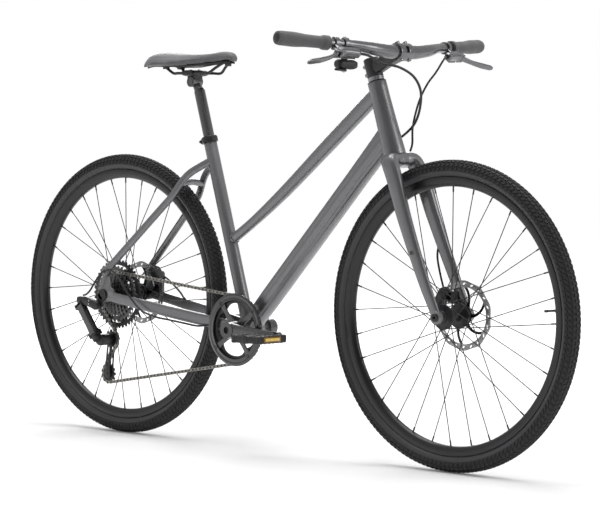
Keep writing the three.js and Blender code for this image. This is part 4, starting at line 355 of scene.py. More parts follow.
def turnedCopies(piece, count, centre):
    # copies of a piece spaced evenly round a wheel's axis
    copies = []
    for index in range(count):
        turn = Matrix.Rotation(index * fullTurn / count, 4, across)
        copies.append(copyOf(piece, Matrix.Translation(centre) @ turn @ Matrix.Translation(-centre)))
    bpy.data.objects.remove(piece)
    return copies


def newCurve(name, dimensions):
    curve = bpy.data.curves.new(name, "CURVE")
    curve.dimensions = dimensions
    return curve


def addLine(curve, points, cyclic=False):
    spline = curve.splines.new("POLY")
    spline.points.add(len(points) - 1)
    for corner, point in zip(spline.points, points):
        corner.co = (*point, 1)
    spline.use_cyclic_u = cyclic


def meshOf(curve):
    piece = bpy.data.objects.new(curve.name, curve)
    bpy.context.collection.objects.link(piece)
    choose(piece)
    bpy.ops.object.convert(target="MESH")
    return bpy.context.object


def flatPlate(name, outline, holes, middle, thickness, edge=0.2):
    # a plate across the wheels' plane: outlines of (x, z) become a filled curve with rounded rims
    curve = newCurve(name, "2D")
    curve.fill_mode, curve.bevel_resolution = "BOTH", 1
    curve.extrude, curve.bevel_depth, curve.offset = thickness / 2 - edge, edge, -edge
    for line in [outline] + holes:
        addLine(curve, [(x, z, 0) for x, z in line], True)
    piece = meshOf(curve)
    piece.matrix_world = Matrix.Translation(middle) @ Matrix.Rotation(math.pi / 2, 4, "X")
    bpy.ops.object.transform_apply()
    startEdit()
    return faceOutwards(0.01)


def hose(name, points, radius, steps, sides):
    curve = newCurve(name, "3D")
    curve.bevel_depth, curve.bevel_resolution, curve.use_fill_caps = radius, sides // 4, True
    addLine(curve, [smoothPath(points, index / steps) for index in range(steps + 1)])
    return paint(meshOf(curve), "hoseBlack")


def paint(piece, look):
    piece.data.materials.clear()
    piece.data.materials.append(looks[look])
    return piece


def socketBolt(name, start, end, radius, socket, depth, sides=24, edge=0.4):
    # a bolt with a hexagon socket in its outer end
    way = (end - start).normalized()
    return cutAway(rod(name, start, end, radius, sides, edge),
        rod("boltSocket", end - way * depth, end + way * 2, socket, 6))


def washerLine(bore, outer, low, high, edge):
    # the profile of a plain ring with its two outer rims bevelled
    return [(bore, low), (outer - edge, low), (outer, low + edge), (outer, high - edge),
        (outer - edge, high), (bore, high)]


settled = []


def settle(piece, body, node, look=None, angle=35):
    # to metres, shaded, finished, and set on its body in place of its solid
    choose(piece)
    piece.data.transform(Matrix.Scale(0.001, 4))
    if angle:
        bpy.ops.object.shade_smooth_by_angle(angle=math.radians(angle))
    if look:
        paint(piece, look)
    if body:
        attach(piece, body)
    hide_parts(node)
    settled.append(piece.name)
    return piece


# Finishes
class Wire:
    # a socket that can stand in a sum
    def __init__(self, finish, socket):
        self.finish, self.socket = finish, socket

    def work(self, operation, first, second):
        return self.finish.add("ShaderNodeMath", {"operation": operation}, {0: first, 1: second})

    def __add__(self, other):
        return self.work("ADD", self, other)

    def __radd__(self, other):
        return self.work("ADD", other, self)

    def __sub__(self, other):
        return self.work("SUBTRACT", self, other)

    def __rsub__(self, other):
        return self.work("SUBTRACT", other, self)

    def __mul__(self, other):
        return self.work("MULTIPLY", self, other)

    def __rmul__(self, other):
        return self.work("MULTIPLY", other, self)

    def __truediv__(self, other):
        return self.work("DIVIDE", self, other)

    def __pow__(self, other):
        return self.work("POWER", self, other)


class Finish:
    def __init__(self, name, color, roughness, metallic=0.0, fixed=None):
        self.material = bpy.data.materials.new(name)
        self.material.use_nodes = True
        self.tree = self.material.node_tree
        self.shader = next(node for node in self.tree.nodes if node.type == "BSDF_PRINCIPLED")
        self.color, self.roughness = color, roughness
        self.shader.inputs["Base Color"].default_value = (*color, 1)
        self.shader.inputs["Roughness"].default_value = roughness
        self.shader.inputs["Metallic"].default_value = metallic
        for socketName, value in (fixed or {}).items():
            self.shader.inputs[socketName].default_value = value

    def add(self, kind, settings=None, values=None, out=0):
        node = self.tree.nodes.new(kind)
        for key, value in (settings or {}).items():
            if key == "stops":
                while len(node.color_ramp.elements) < len(value):
                    node.color_ramp.elements.new(0.5)
                for element, (place, shade) in zip(node.color_ramp.elements, value):
                    element.position = place
                    element.color = (shade, shade, shade, 1) if isinstance(shade,
                        (int, float)) else (*shade, 1)
            else:
                setattr(node, key, value)
        for key, value in (values or {}).items():
            if isinstance(value, Wire):
                self.tree.links.new(value.socket, node.inputs[key])
            else:
                node.inputs[key].default_value = value
        return Wire(self, node.outputs[out])

    def place(self, scale=(1, 1, 1), move=(0, 0, 0), turn=(0, 0, 0)):
        coordinates = self.add("ShaderNodeTexCoord", out="Object")
        return self.add("ShaderNodeMapping", values={"Vector": coordinates, "Scale": scale,
            "Location": move, "Rotation": turn})

    def noise(self, scale, detail=2.0, stretch=(1, 1, 1)):
        return self.add("ShaderNodeTexNoise", values={"Vector": self.place(stretch), "Scale": scale,
            "Detail": detail})

    def feed(self, socketName, wire):
        self.tree.links.new(wire.socket, self.shader.inputs[socketName])

    def shade(self, mask, dark, light):
        blendNode = self.add("ShaderNodeMix", {"data_type": "RGBA"},
            {0: mask, 6: (*dark, 1), 7: (*light, 1)}, out=2)
        self.feed("Base Color", blendNode)

    def relief(self, height, distance, strength=1.0):
        self.feed("Normal", self.add("ShaderNodeBump",
            values={"Height": height, "Distance": distance, "Strength": strength}))


def tinted(color, factor):
    return tuple(channel * factor for channel in color)


def grainy(name, color, roughness, metallic=0.0, spread=0.12, scale=900, depth=0.00003, fixed=None,
        patch=18):
    # a finish with slow colour drift, fine grain and uneven gloss
    finish = Finish(name, color, roughness, metallic, fixed)
    drift = finish.noise(patch, 3)
    grain = finish.noise(scale, 2)
    finish.shade(drift, tinted(color, 1 - spread), tinted(color, 1 + spread))
    finish.feed("Roughness", roughness - 0.06 + drift * 0.08 + grain * 0.04)
    if depth:
        finish.relief(grain, depth, 0.5)
    return finish


def brushed(name, color, roughness, stretch, scale=400, metallic=0.9, depth=0.00002):
    finish = Finish(name, color, roughness, metallic, {"Anisotropic": 0.3})
    strokes = finish.noise(scale, 4, stretch)
    drift = finish.noise(25, 2)
    finish.shade(strokes * 0.6 + drift * 0.4, tinted(color, 0.72), tinted(color, 1.25))
    finish.feed("Roughness", roughness - 0.08 + strokes * 0.16)
    finish.relief(strokes, depth, 0.4)
    return finish


def inside(finish, edge, soft=0.0025):
    # 1 nearer to either wheel's axle than the edge, in metres, and 0 beyond it
    parts = finish.add("ShaderNodeSeparateXYZ", values={0: finish.add("ShaderNodeTexCoord",
        out="Object")})
    along, rise = (Wire(finish, parts.socket.node.outputs[axis]) for axis in "XZ")
    ahead = finish.add("ShaderNodeMath", {"operation": "ABSOLUTE"}, {0: along}) - layout.wheelBase / 2000
    level = rise - layout.tyreRadius / 1000
    reach = (ahead * ahead + level * level) ** 0.5
    return finish.add("ShaderNodeMapRange", {"clamp": True, "interpolation_type": "SMOOTHSTEP"},
        {"Value": reach, "From Min": edge - soft, "From Max": edge + soft, "To Min": 1, "To Max": 0})


def discFinish():
    # a ground steel ring on black arms
    finish = Finish("rotorSteel", (0.34, 0.34, 0.34), 0.34, 0.85)
    arms = inside(finish, 0.064, 0.0004)
    strokes = finish.noise(260, 4, (1, 40, 1))
    finish.shade(arms + strokes * (1 - arms) * 0.5, (0.42, 0.42, 0.42), (0.012, 0.012, 0.012))
    finish.feed("Roughness", 0.28 + strokes * 0.14)
    finish.relief(strokes, 0.00001, 0.3)
    return finish


def tyreFinish():
    # the tread is dusty black, and the smooth side wall shines a little towards the rim: it is glossier
    # there, and its lighter colour is painted sheen
    tread, wall = (0.02, 0.02, 0.021), (0.05, 0.05, 0.053)
    finish = Finish("tyreRubber", tread, 0.7, 0.0, {"Specular IOR Level": 0.45})
    side = inside(finish, 0.327)
    dust = finish.noise(40, 5)
    grain = finish.noise(1400, 2)
    # painted sheen: the side wall takes the lighter colour; the noise adds dust
    finish.shade(side * 0.8 + dust * 0.3 - 0.05, tread, wall)
    finish.feed("Roughness", 0.6 + dust * 0.2 - side * 0.22)
    finish.relief(grain, 0.00008, 0.5)
    return finish


def gripFinish():
    color = (0.095, 0.095, 0.098)
    finish = Finish("gripRubber", color, 0.8, 0.0, {"Sheen Weight": 0.15, "Sheen Roughness": 0.5})
    grain = finish.noise(1600, 2)
    drift = finish.noise(30, 3)
    finish.shade(drift, tinted(color, 0.8), tinted(color, 1.35))
    finish.feed("Roughness", 0.72 + drift * 0.16)
    finish.relief(grain, 0.0001, 0.6)
    return finish


def saddleFinish():
    color = (0.115, 0.116, 0.12)
    finish = Finish("saddleSkin", color, 0.55, 0.0,
        {"Sheen Weight": 0.1, "Sheen Roughness": 0.5, "Coat Weight": 0.05})
    cells = finish.add("ShaderNodeTexVoronoi", {"feature": "DISTANCE_TO_EDGE"},
        {"Vector": finish.place(), "Scale": 900.0})
    drift = finish.noise(14, 4)
    finish.shade(drift, tinted(color, 0.8), tinted(color, 1.25))
    finish.feed("Roughness", 0.46 + drift * 0.16)
    creases = finish.add("ShaderNodeValToRGB", {"stops": [(0.0, 0.0), (0.35, 1.0)]}, {0: cells})
    finish.relief(creases, 0.00012, 0.5)
    return finish


def reflectorFinish(name, color):
    finish = Finish(name, color, 0.18, 0.0, {"Coat Weight": 0.6, "Specular IOR Level": 0.7})
    facets = finish.add("ShaderNodeTexVoronoi", {"feature": "F1"},
        {"Vector": finish.place(), "Scale": 420.0})
    # painted glints and shade: each facet is painted brighter in its middle and darker at its rim; the
    # same cells raise a relief
    finish.shade(facets, tinted(color, 1.5), tinted(color, 0.6))
    finish.relief(facets, 0.0004, 0.6)
    return finish


finishes = {
    "framePaint": grainy("framePaint", (0.18, 0.182, 0.187), 0.36, 0.72, 0.05, 1500, 0.0,
                         {"Coat Weight": 0.5, "Coat Roughness": 0.18}, 9),
    "blackAlloy": grainy("blackAlloy", (0.012, 0.012, 0.013), 0.4, 0.0, 0.15, 1200, 0.00002),
    "glossPost": grainy("glossPost", (0.1, 0.1, 0.104), 0.24, 0.7, 0.1, 1200, 0.00001,
        {"Coat Weight": 0.5}),
    "greyAlloy": grainy("greyAlloy", (0.085, 0.087, 0.09), 0.34, 0.7, 0.12, 1200, 0.00002),
    "barAlloy": grainy("barAlloy", (0.17, 0.171, 0.177), 0.26, 0.85, 0.08, 1400, 0.00001),
    "leverSilver": grainy("leverSilver", (0.34, 0.342, 0.35), 0.34, 0.85, 0.08, 1400, 0.00001),
    "crankAlloy": grainy("crankAlloy", (0.095, 0.095, 0.098), 0.28, 0.8, 0.12, 1200, 0.00001,
        {"Coat Weight": 0.25}),
    "blackPlastic": grainy("blackPlastic", (0.012, 0.012, 0.0125), 0.48, 0.0, 0.18, 1500, 0.00004),
    "guardPlastic": grainy("guardPlastic", (0.01, 0.01, 0.0105), 0.2, 0.0, 0.12, 1500, 0.00001,
        {"Coat Weight": 0.9}),
    "rimBlack": grainy("rimBlack", (0.008, 0.008, 0.0085), 0.3, 0.0, 0.12, 1400, 0.00001, None, 30),
    "hoseBlack": grainy("hoseBlack", (0.01, 0.01, 0.0105), 0.34, 0.0, 0.12, 1800, 0.00002),
    "steel": brushed("steel", (0.5, 0.5, 0.5), 0.3, (1, 1, 1), 600),
    "spokeSteel": grainy("spokeSteel", (0.012, 0.012, 0.0125), 0.42, 0.0, 0.1, 1200, 0.0),
    "rotorSteel": discFinish(),
    "chainSteel": brushed("chainSteel", (0.26, 0.25, 0.23), 0.36, (1, 1, 1), 700),
    "innerLinkSteel": brushed("innerLinkSteel", (0.06, 0.058, 0.055), 0.4, (1, 1, 1), 700),
    "sprocketSteel": brushed("sprocketSteel", (0.13, 0.13, 0.13), 0.34, (1, 30, 1), 300),
    "tyreRubber": tyreFinish(),
    "gripRubber": gripFinish(),
    "saddleSkin": saddleFinish(),
    "reflectorGlass": reflectorFinish("reflectorGlass", (0.95, 0.68, 0.16)),
    "reflectorBed": grainy("reflectorBed", (0.24, 0.11, 0.01), 0.3, 0.0, 0.15, 900, 0.00002),
}
looks = {name: finish.material for name, finish in finishes.items()}
print("finishes made:", len(looks))


# Wheels
tyreLook = Look(width=41, bead=22, pitches=84, knob=2.2, crownRows=(-0.24, -0.08, 0.08, 0.24),
    sideRows=(0.42, 0.62), rowWidth=0.055, sideWidth=0.08)


def tyreSection(angle, radius):
    # round the tyre's section: 0 is the crown, and a full bead angle is 1
    half = tyreLook.width / 2
    bead = math.pi - math.asin(tyreLook.bead / tyreLook.width)
    centre = layout.tyreRadius - half
    return centre + radius * math.cos(angle * bead), radius * math.sin(angle * bead)


def tyreKnob(low, high, start, end, lean):
    # one block of the tread, between two places on the section and two turns round the wheel
    half = tyreLook.width / 2
    clear()
    bpy.ops.mesh.primitive_cube_add(size=2)
    knob = bpy.context.object
    for vert in knob.data.vertices:
        u, v, w = vert.co
        taper = 0.82 if w > 0 else 1.0
        angle = mix(low, high, 0.5 + 0.5 * u * taper)
        turn = mix(start, end, 0.5 + 0.5 * v * taper) + lean * (angle - (low + high) / 2)
        distance, side = tyreSection(angle, half - (0 if w > 0 else tyreLook.knob + 0.6))
        vert.co = polar(distance, turn, side)
    mesh = startEdit()
    bpy.ops.mesh.normals_make_consistent(inside=False)
    hidden = min(mesh.faces, key=lambda face: sum(vert.co.xz.length for vert in face.verts))
    bmesh.ops.delete(mesh, geom=[hidden], context="FACES")
    bmesh.update_edit_mesh(knob.data)
    bpy.ops.object.mode_set(mode="OBJECT")
    return knob


def makeTyre(name, centre, body, node):
    half = tyreLook.width / 2
    skin = half - tyreLook.knob
    pitch = fullTurn / tyreLook.pitches
    shares = [-1 + 2 * step / 40 for step in range(41)]
    outside = []
    for share in shares:
        bulge = skin + tyreLook.knob * min(max((abs(share) - 0.62) / 0.1, 0), 1) * 0.72
        outside.append(tyreSection(share, bulge))
    beadRing = [(distance - 1.2, side * 0.8) for distance, side in (outside[-1], outside[0])]
    carcass = spun(name, outside + beadRing, Vector(), across, 128)
    knobs = []
    for index, row in enumerate(tyreLook.crownRows):
        shift = pitch * (0.25 if index % 2 else 0)
        wide = tyreLook.rowWidth
        for part in (0, 0.5):
            knobs.append(tyreKnob(row - wide, row + wide, pitch * part + shift + pitch * 0.05,
                pitch * (part + 0.36) + shift + pitch * 0.05, 0.02 if row > 0 else -0.02))
    for side in (-1, 1):
        for index, row in enumerate(tyreLook.sideRows):
            wide = tyreLook.sideWidth
            for part in (0, 0.5):
                start = pitch * (part + 0.1 * index)
                knobs.append(tyreKnob(side * row - wide, side * row + wide, start,
                    start + pitch * (0.3 if index else 0.36), side * 0.12))
    segment = together("treadPitch", *knobs)
    tread = turnedCopies(segment, tyreLook.pitches, Vector())
    tyre = together(name, carcass, *tread)
    tyre.data.transform(Matrix.Translation(centre))
    settle(tyre, body, node, "tyreRubber", 40)


rimLook = Look(width=25, inner=292.5, spokes=32, crossings=3, spokeRadius=1.1, nippleLength=13, flange=29,
    flangeWidth=2.4, barrel=12, spokeOffset=1.5)


def rimShape():
    outer = tyreSection(1, tyreLook.width / 2)[0] - 0.3
    wall, inner = rimLook.width / 2, rimLook.inner
    return [(outer, -wall + 1), (outer - 0.3, -wall + 0.3), (outer - 1.2, -wall),
        (inner + 10, -wall + 1.0), (inner + 6, -wall + 2.2), (inner + 2.5, -6.6), (inner + 0.6, -4.2),
        (inner, -2), (inner, 2), (inner + 0.6, 4.2), (inner + 2.5, 6.6), (inner + 6, wall - 2.2),
        (inner + 10, wall - 1.0), (outer - 1.2, wall), (outer - 0.3, wall - 0.3), (outer, wall - 1),
        (outer - 3.5, wall - 2.2), (outer - 6, 4), (outer - 7, 0), (outer - 6, -4),
        (outer - 3.5, -wall + 2.2)]


def makeRim(name, centre, body, node):
    rim = spun(name, rimShape(), Vector(), across, 144)
    valveAngle = math.pi / rimLook.spokes
    out = polar(1, valveAngle)
    inner = rimLook.inner
    stem = rod("valveStem", out * (inner - 27), out * (inner + 4), 2.6, 16, 0.3)
    cap = rod("valveCap", out * (inner - 32), out * (inner - 22), 3.0, 16, 0.6)
    nut = rod("valveNut", out * (inner - 3), out * (inner + 1), 4.6, 6, 0.3)
    rim = together(name, rim, stem, cap, nut)
    rim.data.transform(Matrix.Translation(centre))
    settle(rim, body, node, "rimBlack")


def makeSpoke(index, flanges):
    side = 1 if index % 2 else -1
    turn = 1 if (index // 2) % 2 else -1
    rimAngle = index * fullTurn / rimLook.spokes
    hubAngle = rimAngle + turn * rimLook.crossings * 4 * math.pi / rimLook.spokes
    flange = flanges[1] if side > 0 else -flanges[0]

    head = polar(rimLook.flange - 3.4, hubAngle, flange + turn * 1.9)
    root = polar(rimLook.flange - 1.2, hubAngle, flange + turn * 1.6)
    tip = polar(rimLook.inner + 0.5, rimAngle, side * rimLook.spokeOffset)
    along = (tip - root).normalized()
    radius = rimLook.spokeRadius
    wire = rod("spokeWire", root, tip - along * 2, radius, 8)
    neck = tip - along * rimLook.nippleLength
    nipple = rod("nipple", neck, tip, 1.9, 8, 0.2)
    knob = rod("spokeHead", head + across * turn * 1.2, head - across * turn * 1.2, 2.0, 8, 0.4)
    return wire, nipple, knob


def makeHub(name, centre, body, node, width, flanges, discPlace, driveEnd):
    # barrel, two flanges, end caps and the disc's own seat
    half = width / 2 - 0.3
    thick = rimLook.flangeWidth
    bore, barrel, flangeRadius, seat = 6.6, rimLook.barrel, rimLook.flange, 15

    def flange(y):
        return [(barrel, y - thick * 2.2), (barrel + 3, y - thick * 1.5),
            (flangeRadius - 8, y - thick * 0.8), (flangeRadius - 1, y - thick * 0.8),
            (flangeRadius, y - thick * 0.4), (flangeRadius, y + thick * 0.4),
            (flangeRadius - 1, y + thick * 0.8), (flangeRadius - 8, y + thick * 0.8),
            (barrel + 3, y + thick * 1.5), (barrel, y + thick * 2.2)]

    if driveEnd:
        right = [(bore, -driveEnd + 0.3), (seat, -driveEnd + 0.3)]
    else:
        right = [(bore, -half), (9.4, -half), (10, -half + 0.6), (10, -half + 5), (13, -half + 6.5),
            (seat - 0.6, -half + 8), (seat, -half + 9), (seat, -flanges[0] - thick * 2.6)]
    mount = discPlace - 1.2
    left = [(seat, flanges[1] + thick * 2.6), (seat, mount - 6), (21, mount - 5), (21, mount),
        (10, mount), (10, half - 0.6), (9.4, half), (bore, half)]
    hub = spun(name, right + flange(-flanges[0]) + flange(flanges[1]) + left, Vector(), across, 64)
    bolts = rod("discBolt", spot(18.2, mount - 0.2, 0), spot(18.2, mount + 3.4, 0), 2.6, 12, 0.4)
    parts = turnedCopies(bolts, 6, Vector())
    together(name, hub, *parts)
    wires, nipples, heads = [], [], []
    for index in range(rimLook.spokes):
        wire, nipple, knob = makeSpoke(index, flanges)
        wires.append(wire)
        nipples.append(nipple)
        heads.append(knob)
    paint(hub, "blackAlloy")
    for piece in wires + heads:
        paint(piece, "spokeSteel")
    for piece in nipples:
        paint(piece, "blackAlloy")
    hub = together(name, hub, *wires, *nipples, *heads)
    hub.data.transform(Matrix.Translation(centre))
    settle(hub, body, node)


discLook = Look(radius=80, band=15, thickness=1.8, arms=6, armWidth=9, centre=24, sweep=26, waves=10,
    wave=2.6, slots=20, slotReach=72, slotLong=4.6, slotWide=2.1, slotLean=0.5)


def ringOf(radius, count):
    return [onCircle(radius, fullTurn * i / count) for i in range(count)]


def makeDisc(name, centre, body, node, place):
    outline = []
    for step in range(144):
        angle = step * fullTurn / 144
        radius = discLook.radius - discLook.wave / 2 * (1 + math.cos(discLook.waves * angle))
        outline.append(onCircle(radius, angle))
    inner, outer = discLook.centre, discLook.radius - discLook.band
    pitch, sweep = fullTurn / discLook.arms, math.radians(discLook.sweep)
    holes = []
    for arm in range(discLook.arms):
        start = arm * pitch
        edgeOne, edgeTwo = [], []
        for step in range(9):
            share = step / 8
            radius = mix(inner, outer, share)
            lean = sweep * share ** 1.4
            width = discLook.armWidth * (1 - 0.25 * math.sin(math.pi * share)) / 2 / radius
            edgeOne.append((radius, start + lean + width))
            edgeTwo.append((radius, start + pitch + lean - width))
        top = [(outer, mix(edgeOne[-1][1], edgeTwo[-1][1], step / 10)) for step in range(1, 10)]
        line = edgeOne + top + list(reversed(edgeTwo))
        holes.append([onCircle(radius, angle) for radius, angle in line])
    for index in range(discLook.slots):
        angle = index * fullTurn / discLook.slots
        middle = Vector((math.cos(angle), math.sin(angle))) * discLook.slotReach
        lean = angle + math.pi / 2 + discLook.slotLean
        long = Vector((math.cos(lean), math.sin(lean)))
        wide = Vector((-long.y, long.x))
        oval = ovalRing(2 * discLook.slotLong, 2 * discLook.slotWide, 16)
        holes.append([tuple(middle + long * u + wide * v) for u, v in oval])
    holes.append(ringOf(15.5, 40))
    disc = paint(flatPlate(name, outline, holes, spot(0, place, 0), discLook.thickness, 0.15),
        "rotorSteel")
    carrier = paint(spun("discCarrier", [(15.7, place - 1.2), (21.5, place - 1.2), (21.5, place + 1.2),
        (15.7, place + 1.2)], Vector(), across, 48), "blackAlloy")
    disc = together(name, disc, carrier)
    disc.data.transform(Matrix.Translation(centre))
    settle(disc, body, node)


wheelPlan = {
    "front": Look(centre=frontAxle, body="front_wheel", width=layout.hubFrontWidth, flanges=(33, 23),
        disc=39.5, drive=0),
    "rear": Look(centre=rearAxle, body="rear_wheel", width=layout.hubRearWidth, flanges=(20, 33),
        disc=55.7, drive=23.4),
}
for name, plan in wheelPlan.items():
    makeTyre(name + "Tyre", plan.centre, plan.body, name + "_tyre")
    makeRim(name + "Rim", plan.centre, plan.body, name + "_rim")
    makeHub(name + "Hub", plan.centre, plan.body, name + "_hub", plan.width, plan.flanges, plan.disc,
        plan.drive)
    makeDisc(name + "Disc", plan.centre, plan.body, name + "_rotor", plan.disc)
    print(name, "wheel made")


# Main frame
tubes = Look(headTop=22, headBottom=26.5, seat=16, post=13.6, bracket=23, bracketHalf=34, cup=6.5,
    topSeat=219, topHead=156, sag=12, topRadius=12, topHeadDepth=34, topHeadWidth=32, downHead=52,
    downWidth=50, downDepth=46, downHeadDepth=54, downHeadWidth=42, downFootDepth=40, bossRadius=6,
    bossHeight=2.4, bossPlace=348, bossSpacing=65)


def makeHeadTube():
    top, bottom, length = tubes.headTop, tubes.headBottom, layout.headTubeLength
    profile = [(bottom - 2.6, 0.4), (bottom - 1.2, 0), (bottom - 0.2, 0.6), (bottom, 2),
        (bottom - 0.1, 16), (bottom - 0.9, 34), (mix(bottom, top, 0.5) - 0.6, length / 2),
        (top + 0.2, length - 34), (top + 0.1, length - 14), (top, length - 2), (top - 0.3, length - 0.5),
        (top - 1.4, length), (top - 2.6, length - 0.4)]
    tubeBody = spun("headTube", profile, headFoot, steerUp, 72)
    settle(tubeBody, "frame", "head_tube", "framePaint")


def creasedRing(wide, deep, count, squareness=1.0):
    corners = [(-0.28, 0.5), (-0.46, 0.36), (-0.5, 0.1), (-0.5, -0.2), (-0.4, -0.36), (-0.2, -0.5),
        (0.2, -0.5), (0.4, -0.36), (0.5, -0.2), (0.5, 0.1), (0.46, 0.36), (0.28, 0.5)]
    ring = []
    for index, corner in enumerate(corners):
        before, after = corners[index - 1], corners[(index + 1) % len(corners)]
        for share in (-0.3, -0.12, 0.12, 0.3):
            near = after if share > 0 else before
            weight = abs(share)
            x, z = mix(corner[0], near[0], weight), mix(corner[1], near[1], weight)
            pull = 0.06 * (1 - weight * 3)
            ring.append(((x * (1 - pull)) * wide, (z * (1 - pull)) * deep))
    return ring


def clearSeatBore(piece):
    # the seat post slides through here
    return cutAway(piece, rod("seatRoom", seatPoint(-30), seatPoint(layout.seatTubeLength + 30),
        tubes.seat - 1, 48))


def makeTopTube():
    foot, head = seatPoint(tubes.topSeat), steerPoint(tubes.topHead)
    small = 2 * tubes.topRadius
    wide, deep = tubes.topHeadWidth, tubes.topHeadDepth

    def along(share, drop, width, depth, square):
        return (foot.lerp(head, share) - upward * drop, width, depth, square)

    stations = [along(0, 0, small, small, 1), along(0.16, tubes.sag * 0.7, small, small, 0.95),
        along(0.36, tubes.sag, mix(small, wide, 0.4), mix(small, deep, 0.4), 0.85),
        along(0.68, tubes.sag * 0.5, mix(small, wide, 0.8), mix(small, deep, 0.8), 0.75),
        along(1, 0, wide, deep, 0.75)]
    piece = clearSeatBore(tube("topTube", stations, 48, 32))
    heading = (smoothPath([station[0] for station in stations], 0.04) - foot).normalized()
    weld = clearSeatBore(weldRing("topTubeSeatWeld", foot, heading, 15.4, 13, 1.6))
    piece = together("topTube", piece, weld)
    settle(piece, "frame", "top_tube", "framePaint", 40)


def weldRing(name, centre, direction, away, radius, bead, count=56):
    # a bead of weld round a tube's end
    side, other = ringDirections(direction, across)
    rings = []
    for step in range(count):
        angle = step * fullTurn / count
        middle = (centre + direction * away + side * radius * math.cos(angle) + other * radius
            * math.sin(angle))
        outward = (side * math.cos(angle) + other * math.sin(angle)).normalized()
        ring = []
        for corner in range(6):
            turn = corner * math.pi / 3
            lean, rise = outward * bead * math.cos(turn) * 0.7, direction * bead * math.sin(turn)
            ring.append(middle + lean + rise)
        rings.append(ring)
    return loft(name, rings, False, True)


def makeDownTube():
    foot, head = bracket, steerPoint(tubes.downHead)
    axis = (head - foot).normalized()
    up = spot(-axis.z, 0, axis.x)

    def along(share, wide, deep):
        return (foot.lerp(head, share), wide, deep, 1.0)

    stations = [along(0, tubes.downWidth, tubes.downFootDepth),
        along(0.14, tubes.downWidth, tubes.downDepth), along(0.8, tubes.downWidth, tubes.downDepth),
        along(1, tubes.downHeadWidth, tubes.downHeadDepth)]
    piece = tube("downTube", stations, 36, 48, across, creasedRing)
    trims = []
    for share in (-0.5, 0.5):
        face = foot + axis * (tubes.bossPlace + share * tubes.bossSpacing) + up * tubes.downDepth / 2
        collar = paint(rod("bossCollar", face - up * 1.5, face + up * 1.0, tubes.bossRadius, 32, 0.5),
            "framePaint")
        screw = paint(socketBolt("bossScrew", face + up * 0.5, face + up * tubes.bossHeight, 4.3, 1.9,
            1.2, 24, 0.8), "blackAlloy")
        trims += [collar, screw]
    paint(piece, "framePaint")
    piece = together("downTube", piece, *trims)
    settle(piece, "frame", "down_tube", None, 28)


def makeSeatTube():
    radius, length = tubes.seat, layout.seatTubeLength
    profile = [(13.9, 26), (radius, 26), (radius, length - 1.2), (radius - 0.6, length - 0.3),
        (13.9, length - 0.3)]
    piece = spun("seatTube", profile, bracket, seatUp, 56)
    settle(piece, "frame", "seat_tube", "framePaint")


def makeBracket():
    half, cup, radius = tubes.bracketHalf, tubes.cup, tubes.bracket
    shell = paint(spun("bracketShell", washerLine(18.6, radius, -half, half, 0.8), bracket, across, 64),
        "framePaint")
    parts = [shell]
    for side in (-1, 1):
        profile = [(12.5, side * (half - 4)), (21, side * (half + 0.1)), (21.8, side * (half + 0.5)),
            (21.8, side * (half + 4.6)), (21.2, side * (half + 5.4)), (14.5, side * (half + cup)),
            (12.5, side * (half + cup))]
        ring = spun("bracketCup", profile, bracket, across, 64)
        notch = rod("cupNotch", bracket + across * side * (half + 0.8) + upward * 21.9,
            bracket + across * side * (half + 5) + upward * 21.9, 1.5, 12)
        notches = together("cupNotches", *turnedCopies(notch, 16, bracket))
        parts.append(paint(cutAway(ring, notches), "blackAlloy"))
    settle(together("bottomBracket", *parts), "frame", "bottom_bracket")


makeHeadTube()
makeTopTube()
makeDownTube()
makeSeatTube()
makeBracket()
print("main frame made")

# Rear triangle
stays = Look(meet=424, meetSpread=9, shoulder=(251, 31, 303), kink=(213, 46, 251), depth=19, width=13,
    dropout=8, lug=(8, 60), lugRadius=13, eye=15, chainDepth=29, chainRearDepth=25, chainWidth=13,
    bracketSpread=25, tyreSpread=35, rearAhead=30, bridge=8)
dropoutPlace = layout.hubRearWidth / 2


def lugCentre(side, reach):
    return fromRear(stays.lug[0], side * (dropoutPlace + reach), stays.lug[1])


def stayLine(side):
    return [seatPoint(stays.meet, 0, side * stays.meetSpread),
        fromRear(stays.shoulder[0], side * stays.shoulder[1], stays.shoulder[2]),
        fromRear(stays.kink[0], side * stays.kink[1], stays.kink[2]), lugCentre(side, stays.dropout / 2)]


def makeSeatStay(side, name, node):
    meet, shoulder, kink, lug = stayLine(side)
    line = [meet, shoulder, kink, kink.lerp(lug, 0.12), lug]
    shaft = tube(name, [(point, stays.width, stays.depth, 0.85) for point in line], 48, 24)
    cap = rod("stayLug", lugCentre(side, -stays.dropout / 4), lugCentre(side, stays.dropout + 2),
        stays.lugRadius, 40, 1.4)
    recess = rod("lugRecess", lugCentre(side, stays.dropout - 0.2), lugCentre(side, stays.dropout + 6),
        5.6, 32)
    cap = cutAway(cap, recess)
    bolt = socketBolt("lugBolt", lugCentre(side, stays.dropout - 2), lugCentre(side, stays.dropout + 1),
        4.4, 2.2, 1, 28, 0.5)
    for part, look in ((shaft, "framePaint"), (cap, "framePaint"), (bolt, "blackAlloy")):
        paint(part, look)
    parts = [shaft, cap, bolt]
    if side > 0:
        left = shoulder.lerp(kink, 0.4)
        right = spot(left.x, -left.y, left.z)
        middle = spot(left.x, 0, left.z + 0.3 * 2 * stays.bridge)
        wide = 2 * stays.bridge
        parts.append(tube("stayBridge", [(right, wide, wide, 1), (middle, wide, wide, 1),
            (left, wide, wide, 1)], 24, 20, forward))
        paint(parts[-1], "framePaint")
    piece = together(name, *parts)
    settle(piece, "frame", node, None, 40)


